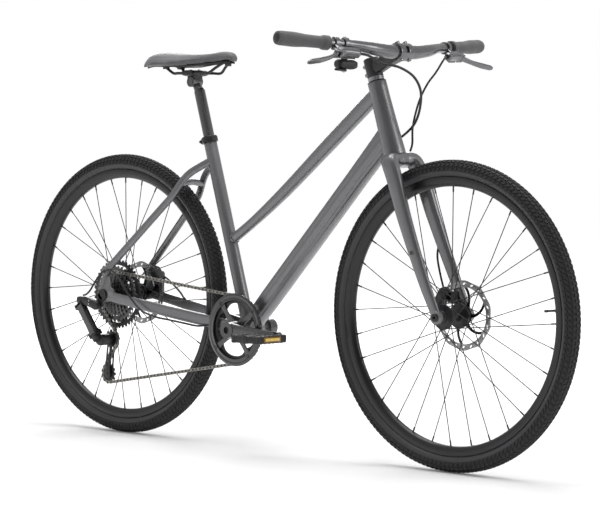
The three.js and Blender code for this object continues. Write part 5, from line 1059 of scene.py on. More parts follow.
def makeChainStay(side, name, node):
    end = dropoutPlace + stays.dropout / 2
    run = bracket - rearAxle

    def along(share, spread, deep, wide):
        return (rearAxle + run * share + across * side * spread, wide, deep, 0.45)

    stations = [along(stays.rearAhead / layout.wheelBase, end, stays.chainRearDepth, stays.dropout),
        along(0.2, end - stays.chainWidth / 3, stays.chainRearDepth, stays.chainWidth),
        along(0.58, mix(end, stays.tyreSpread, 0.55), stays.chainDepth, stays.chainWidth),
        along(0.8, stays.tyreSpread, stays.chainDepth, stays.chainWidth),
        along(0.95, stays.bracketSpread, stays.chainDepth, stays.chainWidth)]
    shaft = tube(name, stations, 48, 28)
    shares = [(0.62, -0.22), (0.62, 0.2), (0.42, 0.34), (0.34, 0.8), (0, 0.9), (-0.1, 0.6), (-0.25, 0.1),
        (-0.2, -0.2), (0.05, -0.32)]
    corners = [spot(x * stays.lug[1], 0, z * stays.lug[1]) for x, z in shares]
    outline = []
    for index, corner in enumerate(corners):
        before, after = corners[index - 1], corners[(index + 1) % len(corners)]
        for weight, near in ((0.22, before), (0.1, before), (0.1, after), (0.22, after)):
            point = corner.lerp(near, weight)
            outline.append((point.x, point.z))
    middle = rearAxle + across * side * (dropoutPlace + stays.dropout / 2)
    shell = flatPlate("dropoutPlate", outline, [ringOf(6.6, 32)], middle, stays.dropout, 1.0)
    eye = spun("dropoutEye", [(6.6, dropoutPlace), (stays.eye, dropoutPlace),
        (stays.eye, dropoutPlace + stays.dropout - 1), (stays.eye - 1, dropoutPlace + stays.dropout),
        (6.6, dropoutPlace + stays.dropout)], rearAxle, across * side, 48)
    piece = together(name, shaft, shell, eye)
    settle(piece, "frame", node, "framePaint", 40)


makeSeatStay(-1, "seatStayRight", "seatstay_right")
makeSeatStay(1, "seatStayLeft", "seatstay_left")
makeChainStay(-1, "chainStayRight", "chainstay_right")
makeChainStay(1, "chainStayLeft", "chainstay_left")
print("rear triangle made")

# Collar, bearings and through axles
collarLook = Look(height=15, wall=4, bolt=3.6)


def makeCollar():
    low = layout.seatTubeLength - collarLook.height / 2
    high = low + collarLook.height
    inner, wall = tubes.seat + clearance, tubes.seat + collarLook.wall
    ring = spun("seatCollar", [(inner, low), (wall - 0.8, low), (wall, low + 0.8), (wall, high - 3),
        (wall - 1.2, high - 1.2), (wall - 3.4, high), (tubes.post + 0.4, high),
        (tubes.post + 0.4, high - 6.8), (inner, high - 7)], bracket, seatUp, 56)
    middle = low + collarLook.height / 2
    ear = rod("collarEar", seatPoint(middle, -wall, -2 * collarLook.bolt),
        seatPoint(middle, -wall, 2 * collarLook.bolt), collarLook.height / 2 - 0.4, 24, 1.2)
    slot = boxAt("collarSlot", seatPoint(middle, -wall - 4, 0), (16, 1.6, 18),
        (seatAhead, across, seatUp))
    ear = cutAway(ear, slot)
    hollow = rod("collarRoom", seatPoint(low - 2), seatPoint(high + 2), tubes.seat + 0.5, 40)
    ear = cutAway(ear, hollow)
    head = rod("collarBolt", seatPoint(middle, -wall - 2.5, -1.6 * 2 * collarLook.bolt),
        seatPoint(middle, -wall - 2.5, 0), collarLook.bolt, 24, 0.5)
    socket = rod("collarSocket", seatPoint(middle, -wall - 2.5, -1.6 * 2 * collarLook.bolt - 1),
        seatPoint(middle, -wall - 2.5, -1.6 * 2 * collarLook.bolt + 2.5), 1.9, 6)
    head = cutAway(head, socket)
    settle(together("seatCollar", ring, ear, head), "frame", "seat_collar", "blackAlloy")


def makeBearing(name, low, outer, shaft, node):
    settle(spun(name, washerLine(shaft + 1, outer, low, low + 8, 0.4), headFoot, steerUp, 48), "frame",
        node, "steel")


def makeAxle(name, centre, side, tail, headLength, body, node):
    neck = headLength + 0.3
    profile = [(0, -tail), (5.4, -tail), (6, -tail + 0.6), (6, neck), (8.4, neck), (9, neck + 0.5),
        (9, neck + 2.4), (8.4, neck + 3), (3.2, neck + 3), (3.2, neck - 3), (0, neck - 3)]
    piece = spun(name, profile, centre, across * side, 40, False)
    settle(piece, body, node, "blackAlloy")


hangerInner = dropoutPlace + stays.dropout + clearance
hangerOuter = hangerInner + 4
forkOuter = layout.hubFrontWidth / 2 + 12
makeCollar()
makeBearing("upperHeadsetBearing", layout.headTubeLength - 8.3, tubes.headTop - 2.6 - 0.9, 14.3,
    "upper_headset_bearing")
makeBearing("lowerHeadsetBearing", 0.3, mix(tubes.headBottom, tubes.headTop, 8 / 178) - 2.6 - 0.9, 19,
    "lower_headset_bearing")
makeAxle("rearAxle", rearAxle, 1, hangerOuter + 0.3, dropoutPlace + stays.dropout, "frame", "rear_axle")
makeAxle("frontAxle", frontAxle, -1, forkOuter, forkOuter, "steering", "front_axle")
print("collar, bearings and axles made")


# Fork
forkLook = Look(crownDepth=50, crownHeight=34, shoulderSpread=46, shoulderAhead=21, shoulderDrop=22,
    legSpread=57, legDepth=36, legWidth=22, tipDepth=24, tipWidth=15, tipThickness=12, eye=15, eyelet=6,
    eyeletOut=2, eyeletShare=0.58, steerer=14.3, crownSteerer=19, taper=90)


def legPlace(share, side):
    shoulder = steerPoint(-forkLook.shoulderDrop, forkLook.shoulderAhead, side * forkLook.shoulderSpread)
    tip = frontAxle + across * side * (layout.hubFrontWidth + forkLook.tipThickness) / 2
    bow = math.sin(math.pi * share)
    spread = bow * (forkLook.legSpread - forkLook.shoulderSpread) * 0.25
    return shoulder.lerp(tip, share) - steerAhead * bow * layout.forkRake * 0.12 + across * side * spread


def forkLeg(side):
    look = forkLook
    middle = -look.crownHeight / 3
    stations = [(steerPoint(middle, 2, -side * 4), look.crownDepth, look.crownHeight, 0.8),
        (steerPoint(middle, 4, side * look.shoulderSpread * 0.45), look.crownDepth * 0.96,
        look.crownHeight * 0.95, 0.8), (steerPoint(-look.crownHeight / 2, look.shoulderAhead * 0.7,
        side * look.shoulderSpread * 0.88), look.crownDepth * 0.82, look.crownHeight * 0.9, 0.8),
        (legPlace(0.1, side), look.crownDepth * 0.8, look.legWidth * 1.2, 0.8),
        (legPlace(0.35, side), look.legDepth, look.legWidth, 0.8),
        (legPlace(0.75, side), mix(look.legDepth, look.tipDepth, 0.6), look.tipWidth * 1.15, 0.8),
        (legPlace(0.985, side), look.tipDepth, look.tipThickness, 0.8)]
    return tube("forkLeg", stations, 56, 32, steerAhead)


def makeFork():
    look = forkLook
    crown = unite(forkLeg(-1), forkLeg(1))
    race = spun("crownRace", [(0, -14), (26.2, -12), (26.2, -3), (25.4, -0.8), (24.6, -0.4), (0, -0.4)],
        headFoot, steerUp, 64, False)
    room = rod("turningRoom", steerPoint(-0.3), steerPoint(40), 27.5, 48)
    hub = boxAt("hubRoom", frontAxle, (78, layout.hubFrontWidth, 78))
    crown = cutAway(crown, room, hub)
    softenEdges(crown, 0.5, 2, 50)
    parts = [crown, race]
    for side in (-1, 1):
        face = layout.hubFrontWidth / 2
        parts.append(spun("forkEye", [(6.4, face), (look.eye - 0.8, face), (look.eye, face + 0.8),
            (look.eye, face + look.tipThickness - 1), (look.eye - 1, face + look.tipThickness),
            (6.4, face + look.tipThickness)], frontAxle, across * side, 48))
    thin, thick, top = look.steerer, look.crownSteerer, layout.headTubeLength + 50
    profile = [(0, -16), (thick, -16), (thick, 8.3), (16, 60), (thin, look.taper), (thin, top), (0, top)]
    parts.append(spun("steerer", profile, headFoot, steerUp, 40, False))
    for part in parts:
        paint(part, "framePaint")
    for side in (-1, 1):
        centre = legPlace(look.eyeletShare, side)
        out = look.tipWidth / 2 + look.eyeletOut
        collar = paint(rod("eyeletCollar", centre, centre + across * side * (out * 1.25 - 0.8),
            look.eyelet, 28, 0.5), "framePaint")
        screw = paint(socketBolt("eyeletScrew", centre + across * side * out,
            centre + across * side * out * 1.25, 4.4, 2, 1.6, 24, 0.5), "blackAlloy")
        parts += [collar, screw]
    settle(together("fork", *parts), "steering", "fork", None, 40)


makeFork()
print("fork made")

# Headset spacers, stem and face plate
stemLook = Look(reach=92, rise=9, clampHeight=40, wall=4.5, width=34, spacers=10, cover=3, barRadius=15.9)
stemFoot = layout.headTubeLength + stemLook.cover + stemLook.spacers
stemMiddle = stemFoot + stemLook.clampHeight / 2
barCentre = steerPoint(stemMiddle + stemLook.rise, stemLook.reach)
barClampRadius = stemLook.barRadius + stemLook.wall


def makeSpacers():
    low, high = layout.headTubeLength + clearance, stemFoot - 0.3
    bore, wall = 14.7, forkLook.steerer + stemLook.wall
    cover = paint(spun("headsetCover", [(bore, low), (tubes.headTop - 0.5, low),
        (tubes.headTop, low + 0.5), (tubes.headTop, low + 1.2), (wall + 0.6, low + 2.8),
        (wall, low + 3.2), (bore, low + 3.2)], headFoot, steerUp, 56), "blackAlloy")
    rest = paint(spun("headsetSpacers", [(bore, low + 3.3), (wall - 0.4, low + 3.3), (wall, low + 3.7),
        (wall, low + 7.2), (wall - 0.5, low + 7.5), (wall, low + 7.8), (wall, high - 0.4),
        (wall - 0.4, high), (bore, high)], headFoot, steerUp, 56), "leverSilver")
    settle(together("headsetSpacers", rest, cover), "steering", "headset_spacers")


def makeStem():
    look = stemLook
    wall = forkLook.steerer + look.wall
    top = stemFoot + look.clampHeight
    clamp = rod("stem", steerPoint(stemFoot), steerPoint(top), wall, 56)
    arm = tube("stemArm", [(steerPoint(stemMiddle), look.width * 0.9, look.clampHeight * 0.9, 0.6),
        (steerPoint(stemMiddle + look.rise / 2, look.reach / 2), look.width * 0.9, look.width * 0.9, 0.6),
        (barCentre, look.width * 1.3, 2 * look.barRadius, 0.5)], 16, 32)
    half = look.width * 0.65
    barClamp = rod("stemBarClamp", barCentre - across * half, barCentre + across * half, barClampRadius,
        56)
    body = unite(clamp, arm, barClamp)
    front = boxAt("stemFront", barCentre + steerAhead * (look.reach / 2 - 0.3),
        (look.reach, 4 * half, 2 * look.reach), (steerAhead, across, steerUp))
    steererRoom = rod("steererRoom", steerPoint(stemFoot - 20), steerPoint(top + 0.1), 14.6, 48)
    barRoom = rod("barRoom", barCentre - across * 60, barCentre + across * 60, look.barRadius + clearance,
        56)
    body = cutAway(body, front, steererRoom, barRoom)
    softenEdges(body, 0.7, 2, 40)
    bolts = []
    for share in (-0.25, 0.25):
        height = stemMiddle + share * look.clampHeight
        barrel = rod("pinchBarrel", steerPoint(height, -wall, -2 * look.wall),
            steerPoint(height, -wall, 2 * look.wall), look.wall, 24, 0.8)
        barrel = paint(cutAway(barrel, rod("clampRoom", steerPoint(height - 12), steerPoint(height + 12),
            15, 40)), "blackAlloy")
        bolt = rod("pinchBolt", steerPoint(height, -wall - 0.4, -2 * look.wall - 0.4),
            steerPoint(height, -wall - 0.4, 0), 3.1, 20, 0.4)
        bolt = paint(cutAway(bolt, rod("boltSocket", steerPoint(height, -wall - 0.4, -2 * look.wall - 2),
            steerPoint(height, -wall - 0.4, -2 * look.wall + 2), 1.6, 6)), "steel")
        bolts += [barrel, bolt]
    paint(body, "blackAlloy")
    cap = paint(spun("topCap", [(0, top), (wall - 0.6, top), (wall, top + 0.6), (wall - 0.1, top + 3.2),
        (wall - 1.4, top + 4.7), (wall - 4, top + 5), (4.4, top + 5), (4.0, top + 4.2), (2.6, top + 4.2),
        (2.4, top + 2.5), (0, top + 2.5)], headFoot, steerUp, 56, False), "blackAlloy")
    settle(together("stem", body, cap, *bolts), "steering", "stem", None, 35)
    band = rod("facePlate", barCentre - across * half, barCentre + across * half, barClampRadius, 64)
    lugs = []
    feet = [barCentre + across * side * half * 0.6 + steerUp * level * barClampRadius for side in (-1, 1)
        for level in (-1, 1)]
    for foot in feet:
        lugs.append(rod("plateLug", foot + steerAhead * 0.6, foot + steerAhead * 2 * look.wall,
            look.wall * 0.9, 24, 0.5))
    band = unite(band, *lugs)
    rear = boxAt("plateRear", barCentre - steerAhead * look.reach / 2,
        (look.reach, 4 * half, 2 * look.reach), (steerAhead, across, steerUp))
    window = boxAt("plateWindow", barCentre + steerAhead * look.barRadius,
        (2 * look.width, half * 0.5, look.barRadius), (steerAhead, across, steerUp), 2, 3)
    barRoom = rod("barRoom", barCentre - across * 60, barCentre + across * 60, look.barRadius + clearance,
        56)
    band = cutAway(band, barRoom, rear, window)
    softenEdges(band, 0.6, 2, 40)
    paint(band, "barAlloy")
    screws = []
    outer = 2 * look.wall + 0.2
    for foot in feet:
        screw = socketBolt("plateScrew", foot + steerAhead * (outer - 3), foot + steerAhead * outer, 2.9,
            1.5, 1.6, 20)
        screws.append(paint(screw, "steel"))
    settle(together("stemFacePlate", band, *screws), "steering", "stem_faceplate", None,
        35)


makeSpacers()
makeStem()
print("headset and stem made")

# Handlebar and grips
barLook = Look(end=11.1, half=350, clampHalf=45, shoulder=100, bend=150, gripStart=214, rise=40, sweep=47)
gripLook = Look(radius=16.5, swell=2.5, endWall=4, ribs=46, ribDepth=0.45)


def barStation(y, riseShare, sweepShare, radius):
    centre = barCentre + steerUp * barLook.rise * riseShare - steerAhead * barLook.sweep * sweepShare
    return (spot(centre.x, y, centre.z), 2 * radius, 2 * radius, 1.0)


def barSide(side):
    radius, end = stemLook.barRadius, barLook.end
    return [barStation(side * barLook.clampHalf * 0.55, 0, 0, radius),
        barStation(side * barLook.clampHalf, 0, 0, radius),
        barStation(side * barLook.shoulder, 0.17, 0.05, mix(radius, end, 0.35)),
        barStation(side * barLook.bend, 0.45, 0.3, end),
        barStation(side * barLook.gripStart, 0.64, 0.6, end), barStation(side * barLook.half, 1, 1, end)]


barStations = barSide(-1)[::-1] + barSide(1)
barPoints = [station[0] for station in barStations]


def barAt(y):
    # the bar's middle at a distance from the centre, and its direction outwards
    side = math.copysign(1, y)
    low, high = 0.0, 1.0
    for _ in range(30):
        middle = (low + high) / 2
        if smoothPath(barPoints, middle).y < y:
            low = middle
        else:
            high = middle
    return smoothPath(barPoints, low), pathDirection(barPoints, low) * side


def makeHandlebar():
    settle(tube("handlebar", barStations, 88, 32, steerUp), "steering", "handlebar",
        "barAlloy")


def makeGrip(name, side, node):
    look = gripLook
    start, _ = barAt(side * barLook.gripStart)
    end, out = barAt(side * barLook.half)
    reach = end + out * look.endWall
    shares, swells = [0, 0.08, 0.16, 0.4, 0.7, 0.93, 1], [1, 1, 0, 0.1, 1, 0.9, 0.4]

    def sizeAt(share):
        index = max(i for i, value in enumerate(shares) if value <= share)
        index = min(index, len(shares) - 2)
        weight = (share - shares[index]) / (shares[index + 1] - shares[index])
        weight = weight * weight * (3 - 2 * weight)
        swell = mix(swells[index], swells[index + 1], weight)
        return 2 * (look.radius + look.swell * (swell - 1)), swell

    steps = 150
    axis = (reach - start).normalized()
    side1, side2 = ringDirections(axis, steerUp)
    rings = [(0.0, 0.9), (0.0006, 0.96), (0.003, 1.0)] + [(step / steps, 1.0)
        for step in range(2, steps - 1)]
    rings += [(0.992, 0.99), (0.997, 0.95), (0.9995, 0.86), (1.0, 0.7)]
    placed = []
    for share, shrink in rings:
        width, swell = sizeAt(share)
        rib = 0.0
        if 0.14 < share < 0.34 or 0.74 < share < 0.93:
            rib = look.ribDepth * (0.5 + 0.5 * math.cos(share * look.ribs * fullTurn))
        wide = (width - 2 * rib) * shrink
        deep = (width * (1 + 0.08 * swell) - 2 * rib) * shrink
        centre = start.lerp(reach, share)
        placed.append([centre + side1 * u + side2 * v for u, v in ovalRing(wide, deep, 40)])
    body = paint(loft(name, placed), "gripRubber")
    cap = paint(rod("gripCap", reach - axis * 2, reach + axis * 0.3, 10, 40, 0.6), "blackPlastic")
    settle(together(name, body, cap), "steering", node, None, 30)


makeHandlebar()
makeGrip("gripRight", -1, "grip_right")
makeGrip("gripLeft", 1, "grip_left")
print("handlebar and grips made")


# Brake levers and shifter, each set out from the bar by a frame of its own
leverLook = Look(place=193, clampWidth=12, clampWall=4, drop=36, bodyReach=35, bodyLength=66,
    bodyRadius=11, pivotOut=20, pivotReach=41, bladeLength=96, bladeFlare=38, bladeWidth=13,
    bladeThickness=7, pin=2.5, ear=3.5)
shifterLook = Look(place=168, drop=45, length=52, width=30, height=22, leverLength=44, leverThickness=5,
    leverWidth=12)


class Control:
    def __init__(self, side, place, drop):
        self.side = side
        self.point, self.out = barAt(side * place)
        dive = math.radians(drop)
        reach = spot(math.cos(dive), 0, -math.sin(dive))
        self.reach = (reach - self.out * reach.dot(self.out)).normalized()
        self.pivot = (self.out.cross(self.reach) * side).normalized()

    def at(self, out, reach, pivot=0):
        return self.point + self.out * out + self.reach * reach + self.pivot * pivot


def clampBand(name, control, width, wall):
    half, radius = width / 2, barLook.end + wall
    return spun(name, washerLine(barLook.end + 0.6, radius, -half, half, 0.8), control.point, control.out,
        48)


def clampScrew(control, wall):
    # the hinge and screw of a clamp, under the bar
    radius = barLook.end + wall
    return paint(rod("clampScrew", control.at(0, -radius - 0.2, -4), control.at(0, -radius - 0.2, 4), 2.2,
        20, 0.4), "steel")


def makeLeverBody(name, side, node):
    look = leverLook
    control = Control(side, look.place, look.drop)
    inner, radius = look.bodyLength * 0.72, look.bodyRadius
    reach = look.bodyReach
    body = tube(name, [(control.at(-inner, reach), radius * 1.2, radius * 1.2, 1),
        (control.at(-inner * 0.9, reach), radius * 1.8, radius * 1.8, 0.8),
        (control.at(0, reach - 2), radius * 2.1, radius * 2.1, 0.7),
        (control.at(look.pivotOut - look.bladeThickness - look.pin, look.pivotReach - 4), radius * 1.9,
        radius * 2, 0.7)], 30, 32, control.pivot)
    neck = tube("leverNeck", [(control.at(0, barLook.end), look.clampWidth, look.clampWidth * 1.6, 0.6),
        (control.at(-2, reach), look.clampWidth, look.clampWidth * 2.2, 0.6)], 6, 24, control.pivot)
    softenEdges(body, 0.8, 2, 40)
    earPlace = look.bladeWidth / 2 + 0.3 + look.ear / 2
    earReach = look.pivotOut + 2 * look.pin
    parts = [body, neck, clampBand("leverClamp", control, look.clampWidth, look.clampWall)]
    for level in (-1, 1):
        centre = control.at(earReach / 2, look.pivotReach - look.pin, level * earPlace)
        parts.append(boxAt("leverEar", centre, (radius, look.ear, earReach),
            (control.reach, control.pivot, control.out), 1.2, 3))
    # the cover of the fluid room, with its two screws
    parts.append(boxAt("leverLid", control.at(-inner * 0.42, reach, radius * 0.98),
        (radius * 1.3, 1.6, inner * 0.72), (control.reach, control.pivot, control.out), 0.6, 2))
    for part in parts:
        paint(part, "barAlloy")
    for place in (-0.14, -0.7):
        parts.append(paint(rod("lidScrew", control.at(inner * place, reach, radius * 0.98),
            control.at(inner * place, reach, radius * 0.98 + 1.3), 1.7, 16, 0.3), "steel"))
    nut = paint(rod("hoseNut", control.at(-inner + 0.5, reach), control.at(-inner - 0.5, reach), 5.2, 6,
        0.4), "blackAlloy")
    pin = paint(rod("leverPin", control.at(look.pivotOut, look.pivotReach, -earPlace - look.ear / 4),
        control.at(look.pivotOut, look.pivotReach, earPlace + look.ear / 4), look.pin, 24, 0.3), "steel")
    parts += [nut, pin, clampScrew(control, look.clampWall)]
    settle(together(name, *parts), "steering", node, None, 40)


def makeLever(name, side, body, node):
    look = leverLook
    control = Control(side, look.place, look.drop)
    shares, flares, widths = [0, 0.25, 0.6, 0.92, 1], [0, 0.42, 0.78, 1, 1.08], [1, 0.85, 1.05, 1, 0.6]
    stations = [(control.at(look.pivotOut + share * look.bladeLength,
        look.pivotReach + flare * look.bladeFlare), look.bladeWidth * width, look.bladeThickness * width,
        0.7) for share, flare, width in zip(shares, flares, widths)]
    blade = tube(name, stations, 40, 28, control.pivot)
    half = look.bladeWidth / 2
    bore = rod("leverBore", control.at(look.pivotOut, look.pivotReach, -20),
        control.at(look.pivotOut, look.pivotReach, 20), look.pin + clearance, 24)
    blade = cutAway(blade, bore)
    eye = spun("leverEye", [(look.pin + clearance, -half), (5.2, -half), (5.6, -half + 0.5),
        (5.6, half - 0.5), (5.2, half), (look.pin + clearance, half)],
        control.at(look.pivotOut, look.pivotReach), control.pivot, 32)
    settle(together(name, blade, eye), body, node, "barAlloy", 40)


def makeShifter():
    look = shifterLook
    control = Control(-1, look.place, 90)
    neck = tube("shifterNeck", [(control.at(0, barLook.end), leverLook.clampWidth, leverLook.clampWidth,
        0.6), (control.at(0, look.drop), leverLook.clampWidth, look.width * 0.6, 0.6)], 8, 24,
        control.out)
    rows = [(-0.5, 0.6, 0.6), (-0.38, 1, 1), (0.3, 1, 0.9), (0.5, 0.7, 0.6)]
    body = tube("shifter", [(control.at(-share * look.length - look.length * 0.1, look.drop),
        look.height * high, look.width * wide, 0.7) for share, high, wide in rows], 28, 32, control.reach)
    softenEdges(body, 0.8, 2, 45)
    top = look.drop + look.height / 2 + look.leverThickness / 2 + 0.3 + look.leverThickness
    pin = rod("shifterPin", control.at(0, look.drop), control.at(0, top), leverLook.pin, 24, 0.3)
    barrel = rod("cableBarrel", control.at(-look.length * 0.58, look.drop),
        control.at(-look.length * 0.6, look.drop), 4, 20, 0.4)
    band = clampBand("shifterClamp", control, leverLook.clampWidth, leverLook.clampWall)
    for part in (neck, body, barrel):
        paint(part, "blackPlastic")
    paint(band, "barAlloy")
    paint(pin, "steel")
    settle(together("shifter", body, neck, pin, barrel, band, clampScrew(control, leverLook.clampWall)),
        "steering", "shifter", None, 40)
    level = look.drop + look.height / 2 + look.leverThickness / 2 + 0.3
    rows = [(0, 0), (0.6, -0.35), (0.8, -0.6)]
    arm = tube("shiftLever", [(control.at(along * look.leverLength, level) + control.pivot * aside
        * look.leverLength, look.leverThickness, look.leverWidth, 0.6) for along, aside in rows], 20, 24,
        control.reach)
    bore = rod("thumbBore", control.at(0, level - 20), control.at(0, level + 20),
        leverLook.pin + clearance, 24)
    arm = cutAway(arm, bore)
    half = look.leverThickness / 2
    eye = spun("thumbEye", washerLine(leverLook.pin + clearance, 6.6, -half, half, 0.4),
        control.at(0, level), control.reach, 32)
    settle(together("shiftLever", arm, eye), "shift_lever", "shift_lever",
        "blackPlastic", 40)


makeLeverBody("leverBodyRight", -1, "brake_lever_body_right")
makeLeverBody("leverBodyLeft", 1, "brake_lever_body_left")
makeLever("brakeLeverRight", -1, "brake_lever_right", "brake_lever_right")
makeLever("brakeLeverLeft", 1, "brake_lever_left", "brake_lever_left")
makeShifter()
print("controls made")


# Seat post, clamp, rails and saddle
seatLook = Look(headHeight=627, setback=9, insertion=165, headRadius=13, headWidth=32, railRise=21,
    railSpacing=44, rail=3.5, railFront=68, railRear=52, noseRise=24, noseReach=38, tailRise=14,
    tailReach=22, clampLength=38, clampWall=4)
saddleLook = Look(length=264, tail=124, width=148, top=50, dip=5, droop=34, crown=9, pad=15, shell=5,
    gap=1, swell=2.2)
seatHead = seatPoint(seatLook.headHeight, -seatLook.setback)


def saddlePoint(ahead, side, rise):
    return seatHead + spot(ahead, side, seatLook.railRise + rise)


def makeSeatPost():
    look = seatLook
    foot = layout.seatTubeLength - look.insertion
    top = look.headHeight - 2 * look.headRadius
    shaft = spun("seatPost", [(0, foot), (12.8, foot), (13.6, foot + 0.8), (13.6, top), (13.2, top + 0.6),
        (0, top + 0.6)], bracket, seatUp, 64, False)
    neckFoot = seatPoint(top) - seatUp * 0.3
    shoulder = tube("postShoulder", [(neckFoot, 24.4, 24.4, 1),
        (neckFoot.lerp(seatHead, 0.5), 21.5, 20, 1), (seatHead, 18, 16, 1)], 12, 40)
    half = look.headWidth / 2
    head = rod("postHead", seatHead - across * half, seatHead + across * half, look.headRadius, 56, 0.8)
    grooves = []
    for side in (-1, 1):
        grooves.append(spun("headGroove", [(8, side * (half - 0.9)), (10, side * (half - 0.9)),
            (10, side * (half + 2)), (8, side * (half + 2))], seatHead, across, 48))
    head = cutAway(head, *grooves)
    settle(together("seatPost", shaft, shoulder, head), "seat_post", "seat_post",
        "glossPost", 35)


def makeSaddleClamp():
    look = seatLook
    half = look.railSpacing / 2 + look.rail + look.clampWall
    lower = look.rail + look.clampWall
    rows = [(-1, 0.7), (-0.8, 1), (0.8, 1), (1, 0.7)]
    jaw = tube("saddleClamp", [(saddlePoint(0, share * half, 0), look.clampLength, 2 * lower * high, 0.6)
        for share, high in rows], 20, 32, forward)
    cradle = boxAt("clampCradle", saddlePoint(0, 0, -look.railRise / 2),
        (2 * look.headRadius, look.headWidth - look.clampWall, look.railRise), (forward, across, upward),
        1.5, 3)
    body = unite(jaw, cradle)
    socket = rod("clampSocket", seatHead - across * 60, seatHead + across * 60,
        look.headRadius + clearance, 56)
    bores = [rod("railBore", saddlePoint(-60, side * look.railSpacing / 2, 0),
        saddlePoint(60, side * look.railSpacing / 2, 0), look.rail + clearance, 24) for side in (-1, 1)]
    body = cutAway(body, socket, *bores)
    softenEdges(body, 0.7, 2, 40)
    paint(body, "blackAlloy")
    parts = [body]
    for end in (-1, 1):
        screw = socketBolt("clampBolt", saddlePoint(end * 14, 0, lower - 0.5),
            saddlePoint(end * 14, 0, lower + 1.8), 3.4, 1.8, 1.4)
        parts.append(paint(screw, "steel"))
    settle(together("saddleClamp", *parts), "saddle_clamp", "saddle_clamp", None, 40)


def railLine(side):
    y = seatLook.railSpacing / 2
    look = seatLook
    return [saddlePoint(-look.railRear - look.tailReach, side * y * 1.2, look.tailRise),
        saddlePoint(-look.railRear, side * y, 0), saddlePoint(-look.clampLength, side * y, 0),
        saddlePoint(look.clampLength, side * y, 0), saddlePoint(look.railFront, side * y, 0),
        saddlePoint(look.railFront + look.noseReach * 0.5, side * y * 0.75, look.noseRise * 0.5),
        saddlePoint(look.railFront + look.noseReach, side * y * 0.35, look.noseRise)]


def makeRails():
    line = railLine(-1) + railLine(1)[::-1]
    wide = 2 * seatLook.rail
    settle(tube("saddleRails", [(point, wide, wide, 1) for point in line], 140, 20, upward), "saddle",
        "saddle_rails", "blackAlloy")


saddleRows = [(0, 0.7, -0.6, 0.75), (0.04, 0.93, 0.2, 1), (0.14, 1, 1, 1), (0.27, 0.93, 0.6, 0.85),
    (0.42, 0.66, 0.1, 0.62), (0.56, 0.41, 0.1, 0.42), (0.7, 0.28, 0.5, 0.34), (0.86, 0.25, 1, 0.32),
    (0.96, 0.21, 0.7, 0.34), (1, 0.13, -0.9, 0.25)]


def saddleRowAt(along):
    # the rows are joined by one smooth curve
    points = [Vector(row[1:]) for row in saddleRows]
    places = [row[0] for row in saddleRows]
    index = min(max(i for i, value in enumerate(places) if value <= along), len(places) - 2)
    weight = (along - places[index]) / (places[index + 1] - places[index])
    p1, p2 = points[index], points[index + 1]
    p0 = points[index - 1] if index else p1
    p3 = points[index + 2] if index + 2 < len(points) else p2
    s1 = (p2 - p0) / ((places[index + 1] - places[max(index - 1, 0)]) or 1)
    s2 = (p3 - p1) / ((places[min(index + 2, len(places) - 1)] - places[index]) or 1)
    span = places[index + 1] - places[index]
    w2, w3 = weight ** 2, weight ** 3
    return p1 * (2 * w3 - 3 * w2 + 1) + s1 * span * (w3 - 2 * w2 + weight) + p2 * (3 * w2 - 2
        * w3) + s2 * span * (w3 - w2)


def saddleCrest(along, share, inset=0.0, drop=0.0):
    width, rise, droop = saddleRowAt(along)
    look = saddleLook
    half = look.width / 2 * width
    x = mix(-look.tail, look.length - look.tail, along)
    edge = look.droop * droop
    fall = look.crown * share ** 2 + (edge - look.crown) * abs(share) ** 5
    level = look.top + (rise - 1) * look.dip
    return saddlePoint(x, share * (half - inset), level - max(fall, 0) - drop)


def saddleRingAt(along, pad, count=20):
    # over the top, round the lip and back underneath
    top = [saddleCrest(along, -math.cos(math.pi * step / count)) for step in range(count + 1)]
    inset = saddleLook.pad / 3
    under = [saddleCrest(along, math.cos(math.pi * step / count) * 0.86, inset, pad)
        for step in range(1, count)]
    return top + under


def makeSaddleCover():
    look = saddleLook
    steps = 64
    shares = [0.002 + 0.996 * (0.5 - 0.5 * math.cos(math.pi * step / steps)) for step in range(steps + 1)]
    body = loft("saddleCover", [saddleRingAt(share, look.pad) for share in shares])
    grooved = stuffSaddle(body)
    shapeSaddle(grooved)
    settle(grooved, "saddle", "saddle_cover", "saddleSkin", 0)
    choose(grooved)
    bpy.ops.object.shade_smooth()


def stuffSaddle(body):
    # the padding presses the skin outwards, and the skin may move only a little
    body.data.transform(Matrix.Scale(0.001, 4))
    remesh = body.modifiers.new("skinMesh", "REMESH")
    remesh.mode = "VOXEL"
    remesh.voxel_size = 0.004
    remesh.use_smooth_shade = True
    applyAll(body)
    before = [vert.co.copy() for vert in body.data.vertices]
    cloth = body.modifiers.new("skinPress", "CLOTH")
    cloth.settings.use_pressure = True
    cloth.settings.uniform_pressure_force = 4
    cloth.settings.effector_weights.gravity = 0
    cloth.settings.quality = 5
    cloth.settings.tension_stiffness = 40
    cloth.settings.compression_stiffness = 40
    cloth.settings.bending_stiffness = 8
    scene = bpy.context.scene
    for step in range(1, 21):
        scene.frame_set(step)
        bpy.context.view_layer.update()
    shaped = body.evaluated_get(bpy.context.evaluated_depsgraph_get())
    after = [vert.co.copy() for vert in shaped.data.vertices]
    body.modifiers.clear()
    cap = saddleLook.swell / 1000
    for vert, start, end in zip(body.data.vertices, before, after):
        step = end - start
        if step.length > cap:
            step = step.normalized() * cap
        vert.co = start + step
    scene.frame_set(1)
    rounding = body.modifiers.new("skinSmooth", "SMOOTH")
    rounding.factor = 0.5
    rounding.iterations = 3
    finer = body.modifiers.new("skinFiner", "SUBSURF")
    finer.levels = finer.render_levels = 1
    applyAll(body)
    body.data.transform(Matrix.Scale(1000, 4))
    return body


